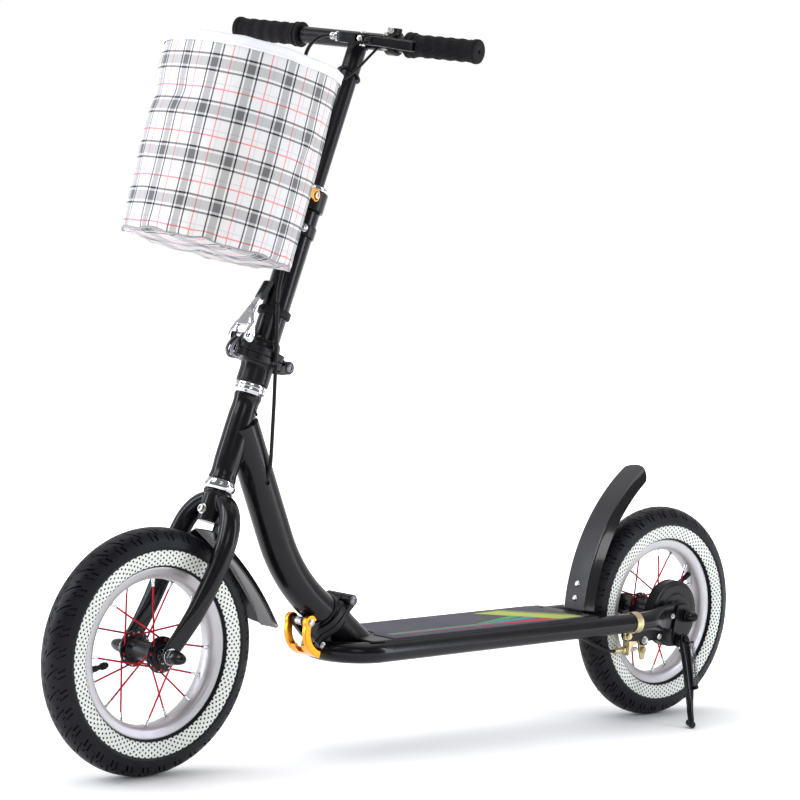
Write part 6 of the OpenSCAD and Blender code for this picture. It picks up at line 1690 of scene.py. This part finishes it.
# the pinch bolt under the bar, as the clamp is drawn together
rod(b, MB @ Vector((16, 70, -10.8)), MB @ Vector((16, 70, 12.6)), 2.2, 20)
hexnut(b, MB @ T(16, 70, -6.3) @ R("X", 180), 4.6, 3.6)
lathe(b, [(0, 0), (4.0, 0), (4.3, 0.6), (4.2, 2.6), (3.2, 3.3), (0, 3.4)], 32, MB @ T(16, 70, 7.5))
make("brake_bolts_v", b, ZINCW, "handlebar", sharp=35)
b = B()
ML_ = MB @ T(40, 52, 0.6) @ R("X", -2.6)
lathe(b, [(0, -3.2), (6.2, -3.2), (6.6, -2.9), (6.6, 3.2), (6.2, 3.6), (0, 3.6)], 40, MB @ T(40, 52, 0.6))
ext(b, [(-3.2, -2), (5.6, -2), (7.2, 10), (7.6, 18), (-1.6, 18), (-3.0, 8)], -2.9, 2.9, ML_)
P = [Vector(p) for p in ((2.6, 10, 0), (2.9, 15, 0), (3.0, 20, 0), (3.0, 34, 0), (3.2, 50, 0), (3.6, 66, 0), (4.0, 80.6, 0))]
sweepx(b, P, [3.4, 4.6, 5.8, 6.2, 6.5, 6.7, 6.8], [4.2, 4.4, 4.5, 4.5, 4.6, 4.7, 4.7], [5] * 7, n=44, ref=(1, 0, 0), M=ML_)
cb = B()
ext(cb, rr(17, 76, 4.4, 1.6), 6.3, 12, ML_ @ Matrix(((0, 0, 1, 0), (1, 0, 0, 0), (0, 1, 0, 0), (0, 0, 0, 1))))
o = cast("brake_lever_v", b, SATIN, "brake_lever", ("brake_lever",), voxel=0.55, smooth=3, cuts=cb)
cb = B()
box(cb, 0.6, 7.4, 77, 95, -4.6, 4.6, ML_)
cut(o, cb)

# ================================================================== cables
def cable(name, pts, r, body, rep, blend=None, n=18, steps=9, mat=None):
    P = [Vector([float(q) for q in p]) for p in cr(pts, steps)]
    b = B()
    sweep(b, P, [r * 0.6] + [r] * (len(P) - 2) + [r * 0.6], n=n)
    o = make(name, b, mat or CABLE, body, sharp=60, ride=False)
    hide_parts(*rep)
    if blend:
        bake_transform(o)
    else:
        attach(o, body)
    return o


bar_c = [[214.6, -4.1, 938.4], [217.9, -17, 939.4], [223, -29, 935], [229, -37, 923], [233, -39, 907], [237, -33, 885], [243, -17, 859], [251, 3, 829], [261, 19, 797], [272, 28, 760], [284, 31, 722], [295, 31, 690], [304, 30.5, 658], [310.6, 29.8, 636], [315, 28.8, 613], [315.2, 27.4, 592.6]]
hinge_c = [[315.2, 27.4, 591.5], [314.6, 27, 573], [314, 26.8, 554], [313.4, 26.8, 536], [313.1, 27, 515.5]]
steer_c = [[313.1, 27, 514.5], [313.3, 27.4, 490], [313.1, 27.5, 469], [313, 27.2, 440], [313, 27, 410], [313, 26, 385], [313, 20, 363]]
frame_c = [[313, 20, 363], [308, 12, 345], [296, 4, 315], [280, 0, 285], [258, 0, 250], [228, 0, 216], [200, 0, 198], [182, 0, 187]]
deck_c = [[176, 0, 181], [163, 2, 171], [150, 6, 163], [110, 24, 140], [70, 36, 131], [20, 38, 130], [-20, 38, 130.5], [-80, 38, 132], [-140, 38, 133], [-200, 38, 134], [-245, 38, 135], [-280, 36.5, 130], [-306, 35.2, 119], [-326, 35, 110.5], [-342, 35, 106.8], [-356, 35, 106.5]]
cord_c = [[184.3, 47, 925], [193.6, 40, 911.5], [203, 33, 898], [213, 26, 886.5], [224, 19, 878.5], [236, 13, 869]]
cable("brake_cable_bar_v", bar_c, 2.5, "stem", ("brake_cable_bar",), ("handlebar", "stem", bar_c[1], bar_c[9]))
cable("brake_cable_hinge_v", hinge_c, 2.5, "fork", ("brake_cable_hinge",), ("stem", "fork", hinge_c[0], hinge_c[-1]))
cable("brake_cable_steer_v", steer_c, 2.5, "front_frame", ("brake_cable_steer",), ("fork", "front_frame", steer_c[0], steer_c[-2]))
cable("brake_cable_frame_v", frame_c, 2.5, "front_frame", ("brake_cable_frame",))
cable("brake_cable_deck_v", deck_c, 2.5, "deck", ("brake_cable_deck",))
cable("basket_cord_v", cord_c, 1.8, "stem", ("basket_cord",), ("handlebar", "stem", cord_c[0], cord_c[-1]))
# the cord's loop round the post
b = B()
P = []
for k in range(49):
    a = 2 * math.pi * k / 48
    P.append(MS @ Vector((14.9 * math.cos(a), 14.9 * math.sin(a), 941 + 4.5 * math.cos(a) + 0.8 * math.sin(2 * a))))
rings = []
b2 = B()
Pc = P[:-1]
_P, _T, _U, _V = frames_along(Pc + [Pc[0]], None)
weld(b, Pc, 1.9, ripple=0.0)
make("cord_loop_v", b, CABLE, "handlebar", sharp=60)

# ================================================================== basket
def sup(t, a, c, ex=2.35):
    x, y = math.cos(t), math.sin(t)
    return math.copysign(abs(x) ** (2 / ex), x) * a, math.copysign(abs(y) ** (2 / ex), y) * c


def g(x, c, w):
    return math.exp(-((x - c) / w) ** 2)


def angd(t, deg):
    d = math.degrees(t) - deg
    return (d + 180) % 360 - 180


def fold(t, s_):
    """how far the cloth stands in (-) or out (+) of its drum."""
    d = -4.6 * g(angd(t, -40), 0, 26) * g(s_, 818, 20)
    d += 1.6 * g(angd(t, -44), 0, 30) * g(s_, 862, 22)
    d += -3.2 * g(angd(t, 4), 0, 15) * g(s_, 822 + 0.35 * angd(t, 4), 14)
    d += 1.5 * g(angd(t, 2), 0, 18) * g(s_, 796, 15)
    d += -2.8 * g(angd(t, 112) - 0.28 * (s_ - 790), 0, 7) * g(s_, 792, 30)
    d += 1.8 * g(angd(t, 98) - 0.26 * (s_ - 790), 0, 8) * g(s_, 788, 34)
    d += -1.6 * g(angd(t, 78) - 0.1 * (s_ - 840), 0, 6) * g(s_, 846, 26)
    d += -1.8 * g(angd(t, 36) + 0.2 * (s_ - 720), 0, 8) * g(s_, 712, 34)
    d += -2.4 * g(angd(t, -18) + 0.16 * (s_ - 720), 0, 7) * g(s_, 716, 30)
    d += -2.0 * g(angd(t, 196) - 0.2 * (s_ - 780), 0, 9) * g(s_, 790, 40)
    d += -2.2 * g(angd(t, 250) + 0.22 * (s_ - 760), 0, 8) * g(s_, 765, 36)
    d += -1.8 * g(angd(t, 290) - 0.2 * (s_ - 800), 0, 8) * g(s_, 812, 30)
    e = max(0.0, min(1.0, (878 - s_) / 30))
    d += e * (0.9 * math.sin(3 * t + 0.012 * s_) + 0.55 * math.sin(7 * t + 1.3 + 0.02 * s_) + 0.3 * math.sin(13 * t + 0.05 * s_))
    # gathered along the bottom seam
    q = g(s_, 664, 13)
    d += q * (0.9 * math.sin(23 * t + 0.7) + 0.8 * math.sin(31 * t) * math.sin(5 * t + 1))
    return d


LO, HI = 647.0, 895.0
FL, RL = math.radians(7), math.radians(3.5)


def hung(c, q, s_, f):
    """a point of the drum: floor and rim lie flatter than the stem is square to."""
    return Vector((133 + 28 * f + c * math.cos(FL), -4 + 13 * f + q * math.cos(RL), s_ - c * math.sin(FL) - q * math.sin(RL)))


def bpt(t, s_, off=0.0, zz=None):
    # s_ runs 666 (floor) to 885 (rim) along the cloth
    f = (s_ - 666) / (885 - 666)
    a, c = 99 + 3 * f, 109 + 2 * f
    # the drum swells a little between its rim and its base
    sw = 1.6 * math.sin(math.pi * max(0.0, min(1.0, f)))
    x, y = sup(t, a, c)
    d = fold(t, s_) + off + sw
    # rounded foot
    r0 = 7.0
    if s_ < 666 + r0:
        u = (666 + r0 - s_) / r0
        d -= r0 * 0.62 * (1 - math.sqrt(max(0.0, 1 - u * u)))
    L = math.hypot(x, y)
    z_ = s_ if zz is None else zz
    return hung(x * (1 + d / L), y * (1 + d / L), LO + (HI - LO) * (z_ - 666) / 219.0, f)


NB = 336
ts = [2 * math.pi * k / NB for k in range(NB)]
# even spacing round the drum
arc_ = [0.0]
for k in range(NB * 8):
    p0_, p1_ = sup(2 * math.pi * k / (NB * 8), 105, 113), sup(2 * math.pi * (k + 1) / (NB * 8), 105, 113)
    arc_.append(arc_[-1] + math.hypot(p1_[0] - p0_[0], p1_[1] - p0_[1]))
GIRTH = arc_[-1]
ts = [float(np.interp(GIRTH * k / NB, arc_, [2 * math.pi * j / (NB * 8) for j in range(NB * 8 + 1)])) for k in range(NB + 1)]
PER = GIRTH / 14.0


def cloth(name, rings, uvs, mats, ring_mat, body="stem", rep=(), sharp=80):
    n = len(rings[0])
    b = B()
    verts = [MS @ p for r in rings for p in r]
    faces, mm = [], []
    for i in range(len(rings) - 1):
        for k in range(n - 1):
            faces.append((i * n + k, i * n + k + 1, (i + 1) * n + k + 1, (i + 1) * n + k))
            mm.append(ring_mat(i))
    me = bpy.data.meshes.new(name)
    me.from_pydata([(v.x * 0.001, v.y * 0.001, v.z * 0.001) for v in verts], [], faces)
    me.update()
    uv = me.uv_layers.new(name="UVMap")
    fl = [w for r in uvs for w in r]
    data = np.zeros((len(me.loops), 2))
    li = np.zeros(len(me.loops), dtype=np.int32)
    me.loops.foreach_get("vertex_index", li)
    data[:] = np.array(fl)[li]
    uv.data.foreach_set("uv", data.ravel())
    me.polygons.foreach_set("material_index", mm)
    me.polygons.foreach_set("use_smooth", [True] * len(faces))
    bm = bmesh.new()
    bm.from_mesh(me)
    bmesh.ops.remove_doubles(bm, verts=bm.verts, dist=4e-6)
    bm.to_mesh(me)
    bm.free()
    for m_ in mats:
        me.materials.append(m_)
    o = bpy.data.objects.new(name, me)
    bpy.context.scene.collection.objects.link(o)
    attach(o, body)
    if rep:
        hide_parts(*rep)
    return o


def plaid(name, tint=1.0):
    m = NT(name)
    uvn = m.n("ShaderNodeUVMap")
    u, v, _ = m.sep(uvn.outputs[0])
    co = m.coords()
    wob = m.noise(co, 30.0, 2.0)
    u = m.m("ADD", u, m.m("MULTIPLY", m.m("SUBTRACT", wob, 0.5), 0.9))
    v = m.m("ADD", v, m.m("MULTIPLY", m.m("SUBTRACT", m.noise(co, 26.0, 2.0), 0.5), 0.9))

    def line(w, off, half, soft=0.22):
        # w in periods' millimetres; distance to the nearest stripe centre
        q = m.m("FRACT", m.m("DIVIDE", m.m("ADD", w, PER * 20 - off + PER / 2), PER))
        d = m.m("ABSOLUTE", m.m("MULTIPLY", m.m("SUBTRACT", q, 0.5), PER))
        nd = m.n("ShaderNodeMapRange")
        m.link(d, nd.inputs[0])
        for i, x in enumerate((half - soft, half + soft, 1.0, 0.0)):
            nd.inputs[1 + i].default_value = x
        return nd.outputs[0]
    hatch_u = m.m("MULTIPLY_ADD", m.m("SINE", m.m("MULTIPLY", m.m("ADD", u, v), 3.6)), 0.16, 0.84)
    hatch_v = m.m("MULTIPLY_ADD", m.m("SINE", m.m("MULTIPLY", m.m("SUBTRACT", u, v), 3.6)), 0.16, 0.84)
    wu = m.m("MULTIPLY", line(u, 0.0, 5.0), hatch_u)
    wv = m.m("MULTIPLY", line(v, 0.0, 5.0), hatch_v)
    tu = m.m("MAXIMUM", line(u, 8.6, 1.05), line(u, -8.6, 1.05))
    tv = m.m("MAXIMUM", line(v, 8.6, 1.05), line(v, -8.6, 1.05))
    du = m.m("ADD", m.m("MULTIPLY", wu, 0.50), m.m("MULTIPLY", tu, 0.86))
    dv = m.m("ADD", m.m("MULTIPLY", wv, 0.42), m.m("MULTIPLY", tv, 0.72))
    both = m.m("MULTIPLY", m.m("MINIMUM", m.m("ADD", wu, tu), 1.0), m.m("MINIMUM", m.m("ADD", wv, tv), 1.0))
    dark = m.m("MINIMUM", m.m("ADD", m.m("MAXIMUM", du, dv), m.m("MULTIPLY", both, 0.56)), 0.98)
    gl = m.m("MAXIMUM", line(u, PER / 2 + 3.4, 0.6), line(v, PER / 2 + 3.4, 0.6))
    red = m.m("MAXIMUM", line(u, PER / 2 - 2.6, 0.72), line(v, PER / 2 - 2.6, 0.72))
    big = m.noise(co, 7.0, 2.0)
    # tint below 1 scales the cloth's white down, painting shade over the whole piece
    white = m.mix(m.remap(big, 0.35, 0.7, 0.0, 0.6), tuple(q * tint for q in (0.69, 0.69, 0.705)), tuple(q * tint for q in (0.68, 0.66, 0.63)))
    col = m.mix(m.m("MULTIPLY", gl, 0.3), white, (0.35, 0.35, 0.40))
    col = m.mix(m.m("MULTIPLY", red, 0.72), col, (0.78, 0.085, 0.085))
    col = m.mix(dark, col, (0.012, 0.012, 0.02))
    weave = m.m("MULTIPLY", m.m("SINE", m.m("MULTIPLY", u, 7.4)), m.m("SINE", m.m("MULTIPLY", v, 7.4)))
    cr_ = m.noise(co, 120.0, 4.0, 0.6)
    n1 = m.bump(weave, 0.12, 0.00012)
    n1 = m.bump(cr_, 0.16, 0.0008, n1)
    return m.out(col, m.remap(m.noise(co, 50.0, 3.0), 0.3, 0.7, 0.62, 0.82), 0.0, n1, Specular_IOR_Level=0.3)


PLAID = plaid("basket_cloth")
# copy of the cloth with its white scaled to 0.8: painted shade for the bottom panel
PLAID_PAINTED_SHADE = plaid("basket_cloth_under_painted_shade", 0.8)
BIND = paint("binding_tape", (0.74, 0.76, 0.83), 0.7, orange=0.35, var=0.03, spec=0.3)
LINING = paint("lining", (0.80, 0.79, 0.77), 0.8, orange=0.3, var=0.05, spec=0.25)
PIPING = paint("seam_tape", (0.34, 0.33, 0.34), 0.7, orange=0.3, var=0.1, spec=0.3)

# side wall
levels = [667.2, 668.2, 669.6, 671.4, 673.4, 675.6] + list(np.linspace(678, 876, 77))
rings, uvs = [], []
for s_ in levels:
    dz = 1.4 * g(s_, 666, 8)
    ring, w_ = [], []
    for k, t in enumerate(ts):
        zz = s_ + dz * (math.sin(9 * t + 0.4) + 0.6 * math.sin(17 * t))
        ring.append(bpt(t, s_, zz=zz))
        w_.append((GIRTH * k / NB, s_ - 666 + 14.0))
    rings.append(ring)
    uvs.append(w_)
cloth("basket_side_v", rings, uvs, [PLAID], lambda i: 0, rep=("basket",))
# bottom panel, sagging under its own weight
rings, uvs = [], []
for j, f in enumerate([1.0, 0.985, 0.96, 0.93, 0.89, 0.84, 0.76, 0.66, 0.54, 0.42, 0.30, 0.18, 0.08, 0.02]):
    ring, w_ = [], []
    for k, t in enumerate(ts):
        e = bpt(t, 667.2)
        zz = e.z + 1.4 * (math.sin(9 * t + 0.4) + 0.6 * math.sin(17 * t)) * (f ** 6)
        zz += (1 - f) * ((e.x - 133) * math.tan(FL) + (e.y + 4) * math.tan(RL))
        sag = 8.5 * (1 - f ** 4) * (0.55 + 0.45 * f) + 2.4 * (1 - f) * f * 4 * (0.4 * math.sin(4 * t + 1) + 0.25 * math.sin(7 * t))
        pk = 0.9 * g(f, 0.93, 0.05) * math.sin(27 * t + 1.0)
        x_, y_ = 133 + (e.x - 133) * f, -4 + (e.y + 4) * f
        ring.append(Vector((x_, y_, zz - sag + pk)))
        w_.append((x_ - 133 + 6, y_ + 4))
    rings.append(ring)
    uvs.append(w_)
# the bottom panel wears the darker copy of the cloth, which is painted shade
cloth("basket_bottom_v", rings, uvs, [PLAID_PAINTED_SHADE], lambda i: 0)
# seam tape between the two
b = B()
P = []
for k in range(0, NB, 2):
    t = ts[k]
    e = bpt(t, 667.4)
    P.append(MS @ Vector((e.x, e.y, e.z + 1.4 * (math.sin(9 * t + 0.4) + 0.6 * math.sin(17 * t)))))
m_ = len(P)
rings_ = []
cenb = MS @ Vector((133, -4, 648))
up_ = (MS.to_3x3() @ Vector((0, 0, 1))).normalized()
for q in range(m_):
    out_ = (P[q] - cenb)
    out_ = (out_ - up_ * out_.dot(up_)).normalized()
    rad = 1.25 + 0.25 * math.sin(q * 1.9)
    c0 = P[q] + out_ * 0.3 - up_ * 0.6
    rings_.append([c0 + (out_ * math.cos(a) + up_ * math.sin(a)) * rad for a in [2 * math.pi * k2 / 10 for k2 in range(10)]])
loft(b, rings_, caps=(False, False), loop=True)
make("basket_seam_v", b, PIPING, "stem", sharp=80)
# bound rim: outer fold, wire roll, inner fold
prof = [(1.1, 875.4), (1.5, 874.9), (1.9, 875.4), (2.0, 878), (2.2, 881.5), (2.7, 883.8), (2.6, 885.4), (1.4, 886.7), (-0.6, 887.2), (-2.6, 886.7), (-3.9, 885.4), (-4.1, 883.4), (-3.9, 878), (-3.9, 873.4), (-3.4, 872.9)]
rings = []
for (off, s_) in prof:
    ring = []
    for k, t in enumerate(ts):
        wv = 0.35 * math.sin(11 * t) + 0.25 * math.sin(19 * t + 1)
        p = bpt(t, min(s_, 885), off + 0.2)
        ring.append(Vector((p.x, p.y, p.z + max(0.0, s_ - 885) + wv)))
    rings.append(ring)
cloth("basket_rim_v", rings, [[(GIRTH * k / NB, s_) for k in range(NB + 1)] for (_, s_) in prof], [BIND], lambda i: 0)
# stitch lines on the binding
b = B()
for k in range(0, NB):
    t0_, t1_ = ts[k] + 0.0006, ts[k] + (ts[k + 1] - ts[k]) * 0.62
    for s_ in (877.2,):
        a0_, a1_ = bpt(t0_, s_, 2.25), bpt(t1_, s_, 2.25)
        sweep(b, [MS @ a0_, MS @ ((a0_ + a1_) / 2 + Vector((0, 0, 0))), MS @ a1_], [0.2, 0.34, 0.2], n=5)
make("basket_stitch_v", b, paint("thread", (0.74, 0.74, 0.76), 0.6), "stem", sharp=80)
# inner lining
rings = []
for s_ in [870.2, 850, 820, 790, 760, 730, 700, 684, 676, 671.8]:
    ring = []
    for t in ts:
        p = bpt(t, s_, -3.6 - (4 if s_ < 672 else 0))
        ring.append(p)
    rings.append(ring)
for f in (0.9, 0.6, 0.3, 0.04):
    ring = []
    for t in ts:
        e = bpt(t, 671.8, -7.6)
        ring.append(Vector((133 + (e.x - 133) * f, -4 + (e.y + 4) * f, e.z + (1 - f) * ((e.x - 133) * math.tan(FL) + (e.y + 4) * math.tan(RL)) - 5.5 * (1 - f ** 3))))
    rings.append(ring)
cloth("basket_lining_v", rings, [[(k, i) for k in range(NB + 1)] for i in range(len(rings))], [LINING], lambda i: 0)


# ================================================================== floor, light
me = bpy.data.meshes.new("floor")
me.from_pydata([(-30, -30, 0), (30, -30, 0), (30, 30, 0), (-30, 30, 0)], [], [(0, 1, 2, 3)])
floor = bpy.data.objects.new("floor", me)
bpy.context.scene.collection.objects.link(floor)
fm = NT("floor_pale")
_n = fm.noise(fm.coords(), 2.0, 3.0)
FLOOR = fm.out(fm.mix(fm.remap(_n, 0.3, 0.7, 0, 1), (0.93, 0.93, 0.935), (0.955, 0.955, 0.955)), 0.6, 0.0, Specular_IOR_Level=0.15)
# the sweep runs out into plain white away from the scooter
_fx, _fy, _fz = fm.sep(fm.coords())
_fd = fm.m("SQRT", fm.m("ADD", fm.m("MULTIPLY", _fx, _fx), fm.m("MULTIPLY", _fy, _fy)))
fm.bsdf.inputs['Emission Color'].default_value = (1, 1, 1, 1)
# contact shading: the sweep darkens where something stands on it
_ao = fm.n("ShaderNodeAmbientOcclusion")
_ao.inputs["Distance"].default_value = 0.16
_ao.samples = 8
_occ = fm.m("POWER", _ao.outputs["AO"], 3.0)
fm.link(fm.m("MULTIPLY", fm.remap(_fd, 0.75, 1.7, 0.36, 1.2), _occ), fm.bsdf.inputs['Emission Strength'])
me.materials.append(FLOOR)

w = bpy.data.worlds.new("studio")
bpy.context.scene.world = w
w.use_nodes = True
wt = w.node_tree
bg = wt.nodes["Background"]
geo = wt.nodes.new("ShaderNodeTexCoord")
dotn = wt.nodes.new("ShaderNodeVectorMath")
dotn.operation = "DOT_PRODUCT"
wt.links.new(geo.outputs["Generated"], dotn.inputs[0])
dotn.inputs[1].default_value = (-back.x, -back.y, 0.0)
mr = wt.nodes.new("ShaderNodeMapRange")
wt.links.new(dotn.outputs["Value"], mr.inputs[0])
for i, v in enumerate((-0.1, 0.75, 0.24, 1.0)):
    mr.inputs[1 + i].default_value = v
wt.links.new(mr.outputs[0], bg.inputs["Strength"])
bg.inputs["Color"].default_value = (1.0, 1.0, 1.0, 1.0)


def area(name, loc, target, sx, sy, power, color=(1, 1, 1)):
    d = bpy.data.lights.new(name, "AREA")
    d.shape, d.size, d.size_y, d.energy, d.color = "RECTANGLE", sx, sy, power, color
    o = bpy.data.objects.new(name, d)
    bpy.context.scene.collection.objects.link(o)
    o.location = loc
    o.rotation_euler = (Vector(target) - Vector(loc)).to_track_quat("-Z", "Y").to_euler()
    return o


mid = Vector((0.0, 0.0, 0.45))
rt = Vector((cx.x, cx.y, 0)).normalized()
bk = Vector((back.x, back.y, 0)).normalized()
area("key", mid - rt * 2.6 + bk * 1.6 + Vector((0, 0, 2.4)), mid, 1.6, 1.6, 42)
area("top", mid + Vector((0, 0, 3.2)) - bk * 0.4, mid, 3.0, 3.0, 34)
area("strip_left", mid - rt * 2.6 + bk * 0.2 + Vector((0, 0, 0.7)), mid, 0.35, 2.4, 34, (0.84, 0.88, 1.0))
area("strip_right", mid + rt * 2.8 + bk * 0.5 + Vector((0, 0, 0.8)), mid, 0.5, 2.4, 34, (0.84, 0.88, 1.0))
area("front", mid + bk * 3.6 + rt * 0.6 + Vector((0, 0, 1.9)), mid, 1.4, 1.0, 12)
bpy.context.scene.view_settings.view_transform = "Standard"
bpy.context.scene.view_settings.look = "None"
